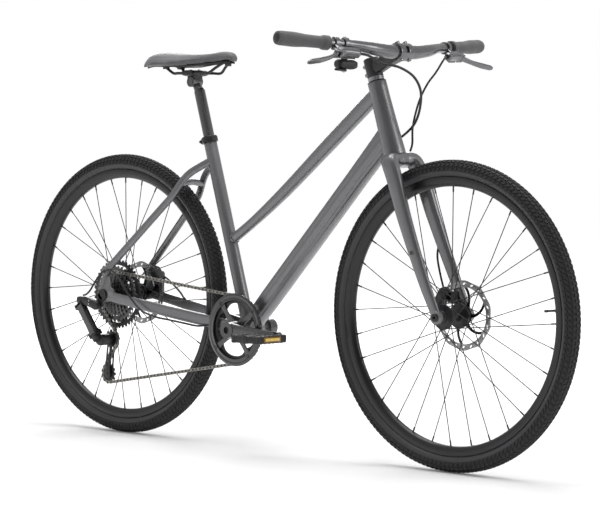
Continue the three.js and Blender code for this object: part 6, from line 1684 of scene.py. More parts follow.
def shapeSaddle(body):
    # the groove down the middle, the sewn line round the top and the tucked lower edge
    look = saddleLook
    for vert in body.data.vertices:
        local = vert.co - seatHead
        along = (local.x + look.tail) / look.length
        if not 0.02 < along < 0.98:
            continue
        half = look.width / 2 * saddleRowAt(along)[0]
        share = local.y / half
        level = local.z - seatLook.railRise
        if level < look.top - look.pad * 0.6 - look.crown and abs(share) < 0.75:
            continue
        groove = math.exp(-(local.y / 7.5) ** 2) * min(max((along - 0.12) / 0.14, 0),
            1) * min(max((0.8 - along) / 0.12, 0), 1)
        seam = math.exp(-((abs(share) - 0.8) * half / 1.1) ** 2) * min(max((along - 0.03) / 0.05, 0),
            1) * (1 if along < 0.93 else 0)
        vert.co.z -= 3.4 * groove + 0.9 * seam
    body.data.update()


def makeSaddleBase():
    look = saddleLook
    count = 16
    steps = 48
    rings = []
    for step in range(steps + 1):
        along = mix(0.045, 0.955, step / steps)
        inset = look.pad / 3
        drop = look.pad + look.gap
        upper = [saddleCrest(along, -math.cos(math.pi * k / count) * 0.84, inset, drop)
            for k in range(count + 1)]
        lower = [saddleCrest(along, math.cos(math.pi * k / count) * 0.8, inset, drop + look.shell)
            for k in range(count + 1)]
        rings.append(upper + lower)
    base = loft("saddleBase", rings)
    tail = seatLook.tailRise
    rails = seatLook
    tops = look.top - look.pad - look.dip
    parts = []
    for side in (-1, 1):
        tip = saddlePoint(-rails.railRear - rails.tailReach, side * rails.railSpacing * 0.6, tail)
        parts.append(rod("railSocket", tip - upward * rails.rail, tip + upward * (tops - tail),
            rails.rail * 2.4, 28, 1.0))
    nose = boxAt("noseSocket", saddlePoint(rails.railFront + rails.noseReach, 0,
        rails.noseRise - 3 * look.gap), (rails.noseReach * 0.5, rails.railSpacing * 0.5, look.shell * 2),
        (forward, across, upward), 1.5, 3)
    tailRooms = [rod("tailRoom", saddlePoint(-rails.railRear, side * rails.railSpacing / 2, 0),
        saddlePoint(-rails.railRear - rails.tailReach * 1.1, side * rails.railSpacing * 0.61,
        rails.tailRise * 1.1), rails.rail + look.gap, 24) for side in (-1, 1)]
    noseRoom = boxAt("noseRoom", saddlePoint(rails.railFront + rails.noseReach * 0.7, 0,
        rails.noseRise / 2), (rails.noseReach, rails.railSpacing,
        rails.noseRise + 2 * (rails.rail + look.gap)))
    cutBlocks = [cutAway(block, room) for block, room in zip(parts, tailRooms)]
    nose = cutAway(nose, noseRoom)
    ribs = []
    for side in (-1, 1):
        line = [saddleCrest(mix(0.12, 0.86, step / 8), side * 0.45, look.pad / 3,
            look.pad + look.gap + look.shell + 0.6) for step in range(9)]
        ribs.append(tube("baseRib", [(point, 3.2, 2.4, 0.7) for point in line], 40, 12, upward))
    settle(together("saddleBase", base, *cutBlocks, nose, *ribs), "saddle",
        "saddle_base", "blackPlastic", 40)


makeSeatPost()
makeSaddleClamp()
makeRails()
makeSaddleCover()
makeSaddleBase()
print("seat made")


# Crankset
crankLook = Look(ringTeeth=40, toothThickness=2, band=17, lobe=8, guardOuter=88, guardBand=17,
    guardThickness=3, spindle=12, arms=4, armTurn=37, armReach=75, armThickness=3.4, length=170, tilt=2,
    boss=20, eye=13, thickness=15, hubInner=57, hubOuter=80, tipInner=76, tipOuter=90, boltBore=7)
ringFace = layout.chainLine + crankLook.toothThickness / 2
spiderInner = ringFace + clearance
guardInner = spiderInner + crankLook.armThickness + clearance
armAngles = [math.radians(crankLook.armTurn) + index * math.pi / 2 for index in range(crankLook.arms)]


def pitchRadius(teeth):
    return layout.chainPitch / 2 / math.sin(math.pi / teeth)


def toothLine(teeth, tip=2.6, root=3.9):
    # a rounded valley and a blunt tip for each tooth
    line = []
    radius = pitchRadius(teeth)
    shape = [(0, tip), (0.1, tip - 0.15), (0.24, 0.6), (0.34, -2.2), (0.43, -root + 0.4), (0.5, -root),
        (0.57, -root + 0.4), (0.66, -2.2), (0.76, 0.6), (0.9, tip - 0.15)]
    for tooth in range(teeth):
        for share, height in shape:
            angle = (tooth + share) * fullTurn / teeth
            line.append(onCircle(radius + height, angle))
    return line


def makeChainring():
    look = crankLook
    inner = pitchRadius(look.ringTeeth) - look.band
    hole = []
    for step in range(144):
        angle = math.radians(look.armTurn) + step * fullTurn / 144
        near = max(max(math.cos(angle - arm), 0) for arm in armAngles) ** 30
        radius = inner - look.lobe * near
        hole.append(onCircle(radius, angle))
    middle = bracket + across * (-ringFace + look.toothThickness / 2)
    plate = flatPlate("chainring", toothLine(look.ringTeeth), [hole], middle, look.toothThickness, 0.35)
    settle(plate, "crankset", "chainring", "blackAlloy", 30)


def makeGuard():
    look = crankLook
    outer, inner = look.guardOuter, look.guardOuter - look.guardBand
    low, thick = -guardInner, look.guardThickness
    profile = [(inner + 0.5, low), (outer - 0.5, low), (outer, low - 0.5), (outer, low - thick * 0.5),
        (outer - 0.8, low - thick * 0.62), (outer - 4.8, low - thick + 0.15), (outer - 5.8, low - thick),
        (outer - 7.2, low - thick + 0.5), (inner + 4, low - thick + 0.5), (inner + 3, low - thick),
        (inner + 0.6, low - thick), (inner, low - thick + 0.6), (inner, low - 0.5)]
    ring = paint(spun("chainringGuard", profile, bracket, across, 128), "guardPlastic")
    parts = [ring]
    for arm in armAngles:
        place = bracket + polar(1, arm) * (inner + 5.5)
        bolt = socketBolt("guardBolt", place - across * (guardInner + 1.2),
            place - across * (guardInner + thick), 4.6, 2.4, 1.2, 28, 0.35)
        parts.append(paint(bolt, "blackAlloy"))
    settle(together("chainringGuard", *parts), "crankset", "chainring_guard", None, 30)


def crankWay(side):
    angle = math.radians(crankLook.tilt)
    ahead = spot(math.cos(angle), 0, -math.sin(angle))
    return ahead if side < 0 else -ahead


def crankArm(side):
    look = crankLook
    way = crankWay(side)

    def place(share, y):
        point = bracket + way * share * look.length
        return spot(point.x, side * y, point.z)

    def middle(share):
        return (mix(look.hubInner, look.tipInner, share) + mix(look.hubOuter, look.tipOuter, share)) / 2

    stations = [(place(0, middle(0)), look.hubOuter - look.hubInner - 4, 2 * look.boss * 0.9, 0.6),
        (place(0.3, middle(0.3)), look.thickness, 2 * look.boss * 0.72, 0.6),
        (place(1, middle(1)), look.tipOuter - look.tipInner, 2 * look.eye * 0.9, 0.6)]
    arm = tube("crankArm", stations, 20, 32)
    boss = rod("crankBoss", bracket + across * side * look.hubInner,
        bracket + across * side * look.hubOuter, look.boss, 64)
    tip = rod("crankTip", place(1, look.tipInner), place(1, look.tipOuter), look.eye, 48)
    return unite(boss, arm, tip)


def pedalRoom(side):
    look = crankLook
    centre = bracket + crankWay(side) * look.length
    return rod("pedalRoom", spot(centre.x, side * (look.tipInner - 6), centre.z),
        spot(centre.x, side * (look.tipOuter + 6), centre.z), 5.3, 32)


def spiderArm(angle):
    look = crankLook
    outward = polar(1, angle)
    aside = outward.cross(across)
    y = -spiderInner - look.armThickness / 2

    def row(radius, wide):
        centre = bracket + outward * radius + across * y
        return [centre + aside * u + across * v for u, v in ovalRing(wide, look.armThickness, 32, 0.35)]

    reach = look.armReach
    rings = [row(radius, wide) for radius, wide in [(2, 24), (14, 23), (22, 20), (30, 15.5), (40, 12.6),
        (52, 12), (60, 13), (66, 15.4), (70, 16.6), (73, 16.2), (reach - 0.8, 14), (reach, 11)]]
    return loft("spiderArm", rings)


def makeRightCrank():
    look = crankLook
    body = crankArm(-1)
    hub = rod("spiderHub", bracket - across * (spiderInner + clearance),
        bracket - across * (look.hubInner + 0.3), look.boss, 64)
    body = unite(body, hub)
    bolt = rod("boltRoom", bracket - across * (look.hubOuter + 6), bracket - across * (look.hubOuter - 6),
        look.boltBore + 1.4, 40)
    body = cutAway(body, bolt, pedalRoom(-1))
    softenEdges(body, 1.6, 3, 40)
    paint(body, "crankAlloy")
    parts = [body]
    for angle in armAngles:
        arm = spiderArm(angle)
        paint(arm, "crankAlloy")
        softenEdges(arm, 0.4, 2, 40)
        parts.append(arm)
    spindle = paint(rod("spindle", bracket - across * (look.hubInner + 0.3),
        bracket + across * (look.hubOuter - 2), look.spindle, 40, 0.8), "steel")
    head = paint(spun("crankBolt", [(0, look.hubOuter - 5.9), (8.2, look.hubOuter - 5.9),
        (8.2, look.hubOuter - 4.2), (7.4, look.hubOuter - 3.4), (4.6, look.hubOuter - 3.2),
        (4.2, look.hubOuter - 5.6), (0, look.hubOuter - 5.6)], bracket, -across, 40, False), "blackAlloy")
    parts += [spindle, head]
    settle(together("crankRight", *parts), "crankset", "crank_right", None, 40)


def makeLeftCrank():
    look = crankLook
    body = crankArm(1)
    bore = rod("spindleRoom", bracket, bracket + across * (look.hubOuter + 6), look.spindle + clearance,
        40)
    body = cutAway(body, bore, pedalRoom(1))
    softenEdges(body, 1.6, 3, 40)
    paint(body, "crankAlloy")
    screws = []
    for share in (-0.3, 0.3):
        place = bracket + across * mix(look.hubInner, look.hubOuter,
            0.5 + share) + upward * (look.boss - 1.5)
        screws.append(paint(rod("pinchScrew", place - forward * 7, place + forward * 7, 2.6, 20, 0.4),
            "steel"))
    settle(together("crankLeft", body, *screws), "crankset", "crank_left", None, 40)


makeChainring()
makeGuard()
makeRightCrank()
makeLeftCrank()
print("crankset made")

# Flat pedals with amber reflectors
pedalLook = Look(axle=5, gap=5, width=98, length=90, thickness=20, rail=14, core=10)


def makePedal(name, side, body, node):
    look = pedalLook
    centre = bracket + crankWay(side) * crankLook.length
    start = crankLook.tipOuter + look.gap

    def place(ahead, y, rise=0.0):
        return spot(centre.x + ahead, side * y, centre.z + rise)

    middle = start + look.width / 2
    face = look.length / 2 - 1.6
    railCentre = face - look.rail / 2
    rails = []
    for end in (-1, 1):
        outline = []
        for step in range(41):
            share = step / 40
            height = look.thickness / 2 - 1.2 * (0.5 - 0.5 * math.cos(share * 14 * math.pi))
            outline.append((share, height))
        rings = []
        for share, height in outline:
            y = start + 0.2 + share * (look.width - 0.4)
            shrink = 0.86 if share in (0.0, 1.0) else 1.0
            ring = [place(end * railCentre + u * shrink, y, v * shrink) for u,
                v in ovalRing(look.rail, 2 * height, 24, 0.45)]
            rings.append(ring)
        rails.append(loft("pedalRail", rings))
    struts = [boxAt("pedalStrut", place(0, start + look.width * share),
        (look.length - look.rail, look.rail * 0.6, look.thickness * 0.8), (forward, across, upward), 1.6,
        3) for share in (0.05, 0.5, 0.95)]
    core = rod("pedalCore", place(0, start), place(0, start + look.width), look.core, 32, 1.0)
    parts = rails + struts + [core]
    # ribs across the frame, where a shoe grips
    for share in (0.275, 0.725):
        for end in (-1, 1):
            parts.append(boxAt("pedalRib", place(end * look.length * 0.22, start + look.width * share, 0),
                (look.length * 0.3, 2.4, look.thickness * 0.7), (forward, across, upward), 0.6, 2))
    for part in parts:
        paint(part, "blackPlastic")
    axle = paint(rod("pedalAxle", place(0, crankLook.tipInner + 2), place(0, start + look.width - 3),
        look.axle, 32), "steel")
    flats = rod("pedalFlats", place(0, crankLook.tipOuter + 0.3), place(0, start + 2), look.axle * 1.5,
        24, 0.5)
    flats = paint(cutAway(flats, *[boxAt("wrenchFlat", place(rise * 9.6, crankLook.tipOuter + 3),
        (6, 4, 30)) for rise in (-1, 1)]), "blackAlloy")
    parts += [axle, flats]
    for end in (-1, 1):
        bed = paint(boxAt("reflectorBed", place(end * (face - 0.2), middle), (2.0, 58, 12.5),
            (forward, across, upward), 0.5, 2), "reflectorBed")
        glass = paint(boxAt("reflectorGlass", place(end * (face + 0.8), middle), (1.2, 47, 7),
            (forward, across, upward), 0.4, 2), "reflectorGlass")
        parts += [bed, glass]
    settle(together(name, *parts), body, node, None, 40)


makePedal("pedalRight", -1, "pedal_right", "pedal_right")
makePedal("pedalLeft", 1, "pedal_left", "pedal_left")
print("pedals made")

# Cassette
cassetteLook = Look(teeth=(42, 34, 28, 24, 21, 18, 15, 13, 11), spacing=4.35, thickness=1.8, first=27.6,
    lockring=16, lockringLength=3)


def sprocketPlace(index):
    return cassetteLook.first + index * cassetteLook.spacing


def makeCassette():
    look = cassetteLook
    parts = []
    for index, teeth in enumerate(look.teeth):
        radius = pitchRadius(teeth)
        holes = [ringOf(13, 24)]
        if index < 4:
            count = 6
            rim = radius - 12
            inner = 24 if index else 30
            if rim - inner > 6:
                for k in range(count):
                    start = k * fullTurn / count + 0.3 * index
                    span = fullTurn / count * 0.62
                    outer = [onCircle(rim, start + span * s / 8) for s in range(9)]
                    turned = [onCircle(inner, start + 0.35 + span * 0.7 * s / 6)
                        for s in range(6, -1, -1)]
                    holes.append(outer + turned)
        middle = rearAxle - across * sprocketPlace(index)
        plate = flatPlate("sprocket", toothLine(teeth, 2.6, 3.7), holes, middle, look.thickness, 0.3)
        parts.append(paint(plate, "sprocketSteel" if index else "blackAlloy"))
    last = len(look.teeth) - 1
    core = paint(spun("cassetteCore", [(6.4, 24.6), (13.2, 24.6), (22, sprocketPlace(0)),
        (23, sprocketPlace(3)), (18, sprocketPlace(5)), (16.4, sprocketPlace(last) - 1),
        (6.4, sprocketPlace(last) - 1)], rearAxle, -across, 48), "blackAlloy")
    place = sprocketPlace(last)
    lock = spun("lockring", [(11, place), (look.lockring - 0.4, place), (look.lockring, place + 0.4),
        (look.lockring, place + look.lockringLength - 0.5),
        (look.lockring - 0.6, place + look.lockringLength), (11.6, place + look.lockringLength),
        (11, place + look.lockringLength - 0.6)], rearAxle, -across, 48)
    notch = rod("lockNotch", rearAxle - across * (place - 1) + upward * 11.2,
        rearAxle - across * (place + 6) + upward * 11.2, 1.4, 10)
    notches = together("lockNotches", *turnedCopies(notch, 12, rearAxle))
    lock = paint(cutAway(lock, notches), "blackAlloy")
    end = layout.hubRearWidth / 2 - 0.3
    cap = paint(spun("endCap", [(6.4, place + look.lockringLength - 1),
        (10, place + look.lockringLength - 1), (10, end - 0.5), (9.5, end), (6.4, end)], rearAxle,
        -across, 40), "blackAlloy")
    settle(together("cassette", *parts, core, lock, cap), "cassette", "cassette", None, 30)


makeCassette()
print("cassette made")

# Chain: a belt of links round four toothed wheels
chainLook = Look(innerWide=2.45, outerWide=3.1, halfHeight=4.1, waist=3.1, roller=3.9, plate=0.9,
    rivet=2.7, rivetProud=0.15)
guideCentre = fromRear(-12, -sprocketPlace(2), -115)
tensionCentre = fromRear(-22, -sprocketPlace(2), -203)
chainWheels = [(rearAxle, 28, 1, -sprocketPlace(2)), (bracket, 40, 1, -layout.chainLine),
    (tensionCentre, 11, 1, -sprocketPlace(2)), (guideCentre, 11, -1, -sprocketPlace(2))]


def chainRun(first, second):
    radii = [wheel[2] * pitchRadius(wheel[1]) for wheel in (first, second)]
    apart = second[0] - first[0]
    heading = math.atan2(apart.z, apart.x) - math.asin((radii[0] - radii[1])
        / math.hypot(apart.x, apart.z))
    left = spot(-math.sin(heading), 0, math.cos(heading))
    ends = [spot(wheel[0].x, wheel[3], wheel[0].z) + left * radius for wheel,
        radius in zip((first, second), radii)]
    return ends[0], ends[1], heading


def chainPins():
    runs = [chainRun(wheel, chainWheels[(index + 1) % 4]) for index, wheel in enumerate(chainWheels)]
    stretches = []
    for index, (start, end, heading) in enumerate(runs):
        centre, teeth, sense, y = chainWheels[(index + 1) % 4]
        turn = (sense * (heading - runs[(index + 1) % 4][2])) % fullTurn
        stretches.append(((end - start).length, "run", start, end, heading, 0, 0))
        stretches.append((turn * pitchRadius(teeth), "arc", spot(centre.x, y, centre.z),
            pitchRadius(teeth), heading, sense, turn))
    total = sum(stretch[0] for stretch in stretches)
    links = 2 * round(total / layout.chainPitch / 2)
    pins = []
    for pin in range(links):
        distance = pin * total / links
        for length, kind, first, second, heading, sense, turn in stretches:
            if distance <= length:
                break
            distance -= length
        share = min(distance / length, 1)
        if kind == "run":
            pins.append(first.lerp(second, share))
        else:
            now = heading - sense * turn * share
            pins.append(first + spot(-math.sin(now), 0, math.cos(now)) * sense * second)
    return pins


def linkOutline(pitch, half, waist):
    # a plate shaped like a figure eight, from pin to pin
    line = []
    for step in range(9):
        angle = math.pi / 2 + math.pi * step / 8
        line.append(onCircle(half, angle))
    line.append((pitch / 2, -waist))
    for step in range(9):
        angle = -math.pi / 2 + math.pi * step / 8
        line.append((pitch + half * math.cos(angle), half * math.sin(angle)))
    line.append((pitch / 2, waist))
    return line


def linkPlates(places, pitch):
    look = chainLook
    parts = []
    for y in places:
        outline = linkOutline(pitch, look.halfHeight, look.waist)
        clear()
        bpy.ops.mesh.primitive_circle_add(vertices=len(outline), radius=1, fill_type="NGON")
        plate = bpy.context.object
        for vert, (x, z) in zip(plate.data.vertices, outline):
            vert.co = (x, y - look.plate / 2, z)
        wall = plate.modifiers.new("plateWall", "SOLIDIFY")
        wall.thickness = look.plate
        wall.offset = 0
        applyAll(plate)
        parts.append(plate)
    return parts


def makeChain():
    look = chainLook
    pins = chainPins()
    pitch = layout.chainPitch
    outer = linkPlates((-look.outerWide + look.plate / 2 + 0.45, look.outerWide + 0.45 - look.plate / 2),
        pitch)
    inner = linkPlates((-look.innerWide + look.plate / 2 + 0.7, look.innerWide + 0.2 - look.plate / 2),
        pitch)
    roller = rod("roller", spot(0, -1.7, 0), spot(0, 1.7, 0), look.roller, 12)
    rivetEnd = look.outerWide + look.rivetProud
    rivet = rod("rivet", spot(0, -rivetEnd, 0), spot(0, rivetEnd, 0), look.rivet, 14)
    for finish, pieces in (("chainSteel", (*outer, *inner)), ("innerLinkSteel", (roller, rivet))):
        for piece in pieces:
            paint(piece, finish)
    kinds = [together("outerLink", *outer, rivet, copyOf(rivet, Matrix.Translation((pitch, 0, 0)))),
        together("innerLink", *inner, roller, copyOf(roller, Matrix.Translation((pitch, 0, 0))))]
    for kind in kinds:
        choose(kind)
        startEdit()
        faceOutwards()
    links = []
    for index, place in enumerate(pins):
        after = pins[(index + 1) % len(pins)]
        ahead = (after - place).normalized()
        rise = ahead.cross(across).normalized()
        if (rise - spot(-ahead.z, 0, ahead.x)).length > 1:
            rise = -rise
        aside = rise.cross(ahead).normalized()
        stretch = (after - place).length / pitch
        basis = Matrix((ahead * stretch, aside, rise)).transposed().to_4x4()
        links.append(copyOf(kinds[index % 2], Matrix.Translation(place) @ basis))
    for kind in kinds:
        bpy.data.objects.remove(kind)
    settle(together("driveChain", *links), "frame", "chain", None, 30)


makeChain()
print("chain made")


# Rear derailleur
shiftLook = Look(linkBehind=72, linkDrop=33, footBehind=24, footDrop=97, place=92, spacing=15, width=20,
    thickness=4.5, boss=4.6, pin=2.0, ear=3, cage=1.8, cageGap=11.6, cageTop=13, cageFoot=11, waist=13,
    pivot=4, hanger=4, hangerEye=14, boltBehind=13, boltDrop=28, bolt=8, knuckleHeight=22,
    knuckleWidth=20, barrel=14, pulleyWidth=7, pulleyBolt=2.5)
chainPlane = -sprocketPlace(2)
linkTop = fromRear(-shiftLook.linkBehind, -shiftLook.place, -shiftLook.linkDrop)
linkFoot = fromRear(-shiftLook.footBehind, -shiftLook.place, -shiftLook.footDrop)
linkAlong = (linkFoot - linkTop).normalized()
linkAxis = spot(-linkAlong.z, 0, linkAlong.x)


def alongLink(origin, along, aside, side=0.0):
    return origin + linkAlong * along + linkAxis * aside + across * side


def linkEars(origin, sign):
    look = shiftLook
    earPlace = look.width / 2 + 0.3 + look.ear / 2
    webPlace = look.boss + 1 + look.ear / 2
    spread = look.spacing + 2 * look.boss
    parts = []
    for level in (-1, 1):
        centre = alongLink(origin, sign * webPlace / 2, level * earPlace, look.spacing / 2)
        parts.append(paint(boxAt("linkEar", centre,
            (webPlace + look.ear + look.pin * 2, look.ear, spread), (linkAlong, linkAxis, across), 1.0,
            3), "blackAlloy"))
    parts.append(paint(boxAt("earWeb", alongLink(origin, sign * webPlace, 0, look.spacing / 2),
        (look.ear, look.width + 2 * look.ear + 0.6, spread), (linkAlong, linkAxis, across), 0.8, 2),
        "blackAlloy"))
    for y in (0, look.spacing):
        outer = earPlace + look.ear / 2
        parts.append(paint(rod("linkPin", alongLink(origin, 0, -outer, y), alongLink(origin, 0, outer, y),
            look.pin, 24, 0.3), "steel"))
    return parts


def makeLink(name, y, width, body, node):
    look = shiftLook
    length = (linkFoot - linkTop).length
    rows = [(0, 1.0), (0.12, 1.0), (0.3, 0.95), (0.7, 0.95), (0.88, 1.0), (1, 1.0)]
    plate = tube(name, [(alongLink(linkTop, share * length, 0, y), width * wide, look.thickness, 0.4)
        for share, wide in rows], 30, 28, linkAxis)
    ends = []
    for along in (0, length):
        start, end = alongLink(linkTop, along, -look.width / 2, y), alongLink(linkTop, along,
            look.width / 2, y)
        ends.append(rod("linkEnd", start, end, look.boss, 28, 0.4))
    plate = unite(plate, *ends)
    bores = [rod("linkBore", alongLink(linkTop, along, -30, y), alongLink(linkTop, along, 30, y),
        look.pin + clearance, 20) for along in (0, length)]
    plate = cutAway(plate, *bores)
    softenEdges(plate, 0.4, 2, 50)
    settle(plate, body, node, "crankAlloy" if y == 0 else "blackAlloy", 40)


def makeKnuckle():
    look = shiftLook
    inner = dropoutPlace + stays.dropout + clearance
    outer = inner + look.hanger
    eye = spun("hangerEye", washerLine(6.4, look.hangerEye, inner, outer, 0.5), rearAxle, -across, 48)
    arm = boxAt("hangerArm", fromRear(-look.boltBehind / 2, -(inner + outer) / 2, -look.boltDrop / 2),
        (2 * look.bolt, look.hanger, look.boltDrop * 1.2), (forward, across, upward), 1.0, 2)
    axleRoom = rod("axleRoom", fromRear(0, -inner + 10, 0), fromRear(0, -outer - 10, 0), 6.4, 32)
    arm = cutAway(arm, axleRoom)
    barrelEnd = look.place + look.boss
    barrel = socketBolt("hangerBolt", fromRear(-look.boltBehind, -inner, -look.boltDrop),
        fromRear(-look.boltBehind, -barrelEnd, -look.boltDrop), look.bolt * 1.3, 3.2, 3, 40, 0.8)
    knuckleY = look.place - look.spacing / 2

    def station(behind, y, drop, deep, wide):
        return (fromRear(-behind, -y, -drop), wide, deep, 0.6)

    body = tube("derailleurKnuckle", [station(look.boltBehind - look.bolt, look.place - 2, look.boltDrop,
        look.knuckleHeight * 0.8, look.knuckleWidth * 0.5),
        station(look.boltBehind + look.bolt, look.place - 2, look.boltDrop * 0.9, look.knuckleHeight,
        look.knuckleWidth * 0.8), station(look.linkBehind * 0.75, knuckleY, look.linkDrop * 0.55,
        look.knuckleHeight, look.knuckleWidth), station(look.linkBehind + 2 * look.boss, knuckleY,
        look.linkDrop * 0.5, look.knuckleHeight * 0.8, look.knuckleWidth)], 24, 32)
    sweep = boxAt("linkSweep", alongLink(linkTop, look.boss * 2 - 0.3, 0, look.spacing / 2),
        (look.boss * 6, look.width + 0.6, look.spacing * 6), (linkAlong, linkAxis, across))
    body = cutAway(body, sweep)
    softenEdges(body, 0.9, 3, 40)
    for part in (eye, arm, barrel, body):
        paint(part, "blackAlloy")
    screws = []
    for rise in (-4, 4):
        place = fromRear(-look.linkBehind * 0.42, -look.place - look.knuckleWidth * 0.34,
            -look.boltDrop * 0.72 + rise)
        screws.append(paint(rod("limitScrew", place + across * 3, place - across * 1.4, 1.8, 16, 0.3),
            "steel"))
    settle(together("derailleurKnuckle", body, eye, arm, barrel, *screws, *linkEars(linkTop, -1)),
        "frame", "derailleur_knuckle", None, 40)


def makeLowerKnuckle():
    look = shiftLook
    inner = chainPlane - look.cageGap / 2 - look.cage - 1
    outer = -look.place + look.spacing - look.boss

    def centre(y):
        return spot(guideCentre.x, y, guideCentre.z)

    barrel = spun("lowerKnuckle", [(look.pivot + clearance, -inner), (look.barrel - 0.6, -inner),
        (look.barrel, -inner + 0.8), (look.barrel, -outer - 3), (look.barrel - 1, -outer - 0.6),
        (look.barrel - 3.4, -outer), (look.pivot + clearance, -outer)], centre(0), -across, 48)
    webPlace = look.boss + 1 + look.ear
    neckFoot = alongLink(linkFoot, webPlace, 0, look.spacing / 2)
    neck = tube("knuckleNeck", [(neckFoot, look.spacing + 2 * look.boss, look.width, 0.5),
        (centre(outer) - across * look.spacing / 3, look.spacing, look.width * 1.1, 0.6)], 10, 28)
    sweep = boxAt("linkSweep", alongLink(linkFoot, -look.boss * 2 + 0.3, 0, look.spacing / 2),
        (look.boss * 6, look.width + 0.6, look.spacing * 6), (linkAlong, linkAxis, across))
    neck = cutAway(neck, sweep, rod("pivotRoom", centre(inner + 6), centre(inner - 12),
        look.pivot + clearance, 24))
    softenEdges(neck, 0.6, 2, 40)
    cap = rod("knuckleCap", centre(outer + 0.5), centre(outer - 0.8), 7.6, 32, 0.4)
    for part in (barrel, neck, cap):
        paint(part, "blackAlloy")
    settle(together("lowerKnuckle", barrel, neck, cap, *linkEars(linkFoot, 1)),
        "derailleur_lower_knuckle", "derailleur_lower_knuckle", None, 40)


def cageLine(bulge):
    # round the guide pulley, down a bowed flank, round the tension pulley and back
    look = shiftLook
    toward = (tensionCentre - guideCentre)
    length = toward.length
    ahead = toward.normalized()
    aside = spot(-ahead.z, 0, ahead.x)
    line = []
    for step in range(13):
        angle = math.pi / 2 + math.pi * step / 12
        line.append(onCircle(look.cageTop, angle))
    for share in (0.2, 0.35, 0.5, 0.65, 0.8):
        line.append((length * share, -mix(look.waist / 2, look.cageFoot * 0.72, share) + bulge
            * math.sin(math.pi * share)))
    for step in range(13):
        angle = -math.pi / 2 + math.pi * step / 12
        line.append((length + look.cageFoot * math.cos(angle), look.cageFoot * math.sin(angle)))
    for share in (0.8, 0.65, 0.5, 0.35, 0.2):
        line.append((length * share, mix(look.waist / 2, look.cageFoot * 0.72, share) + bulge
            * math.sin(math.pi * share)))
    placed = []
    for along, side in line:
        point = ahead * along + aside * side
        placed.append((point.x, point.z))
    return placed, ahead, length


def makeCage():
    look = shiftLook
    line, ahead, length = cageLine(-1.5)
    aside = spot(-ahead.z, 0, ahead.x)
    parts = []
    for sign in (-1, 1):
        y = chainPlane + sign * (look.cageGap / 2 + look.cage / 2)
        holes = []
        for share in (0.34, 0.66):
            middle = ahead * length * share - aside * 1.2
            holes.append([((middle + ahead * u + aside * v).x, (middle + ahead * u + aside * v).z) for u,
                v in ovalRing(21, 5, 20, 0.7)])
        parts.append(paint(flatPlate("cagePlate", line, holes, spot(guideCentre.x, y, guideCentre.z),
            look.cage, 0.35), "blackAlloy"))
    for centre in (guideCentre, tensionCentre):
        start = spot(centre.x, chainPlane - look.cageGap / 2 - look.cage, centre.z)
        end = spot(centre.x, chainPlane + look.cageGap / 2 + look.cage, centre.z)
        bolt = paint(rod("pulleyBolt", start, end, look.pulleyBolt, 24), "steel")
        head = paint(rod("boltHead", end - across * 0.6, end + across * 0.02, 4.2, 24, 0.3), "steel")
        parts += [bolt, head]
    low = chainPlane - look.cageGap / 2
    pivot = paint(rod("cagePivot", spot(guideCentre.x, low - 0.3, guideCentre.z),
        spot(guideCentre.x, low - look.cage - 7, guideCentre.z), look.pivot, 24), "steel")
    settle(together("derailleurCage", *parts, pivot), "derailleur_cage", "derailleur_cage",
        None, 35)


def makePulley(name, centre, body, node):
    look = shiftLook
    holes = [ringOf(7, 24)]
    teeth = paint(flatPlate("pulleyTeeth", toothLine(11, 2.6, 3.9), holes, centre, 2, 0.3),
        "blackPlastic")
    half = look.pulleyWidth / 2
    rim = paint(spun("pulleyRim", [(5.6, -half + 1), (8.4, -half + 1), (9, -half + 1.6), (9, half - 1.6),
        (8.4, half - 1), (5.6, half - 1)], centre, across, 40), "blackPlastic")
    hub = paint(spun("pulleyHub", washerLine(look.pulleyBolt + clearance, 5.8, -half, half, 0.8), centre,
        across, 32), "greyAlloy")
    settle(together(name, teeth, rim, hub), body, node, None, 35)


makeKnuckle()
makeLink("derailleurOuterLink", 0, shiftLook.width, "derailleur_outer_link", "derailleur_outer_link")
makeLink("derailleurInnerLink", shiftLook.spacing, shiftLook.width * 0.8, "derailleur_inner_link",
    "derailleur_inner_link")
makeLowerKnuckle()
makeCage()
makePulley("guidePulley", guideCentre, "guide_pulley", "guide_pulley")
makePulley("tensionPulley", tensionCentre, "tension_pulley", "tension_pulley")
print("derailleur made")

# Brake calipers and their hoses' short leads
caliperLook = Look(gap=0.8, length=46, height=26, width=30, rearAngle=40, frontAngle=148, edge=73,
    thickness=1.8, rearPlace=55.7, frontPlace=39.5, slotTop=8)


hoseLook = Look(radius=2.5, pair=3.0, grommet=4.2)


def grommet(near, far):
    # the rubber ring where a hose goes into a tube
    middle, way = near.lerp(far, 0.25), (far - near).normalized()
    return paint(rod("grommet", middle - way * 4, middle + way * 4, hoseLook.grommet * 0.78, 24, 0.5,
        hoseLook.grommet), "blackPlastic")


def caliperCentre(axle, place, angle):
    turn = math.radians(angle)
    return axle + polar(caliperLook.edge, turn, place)


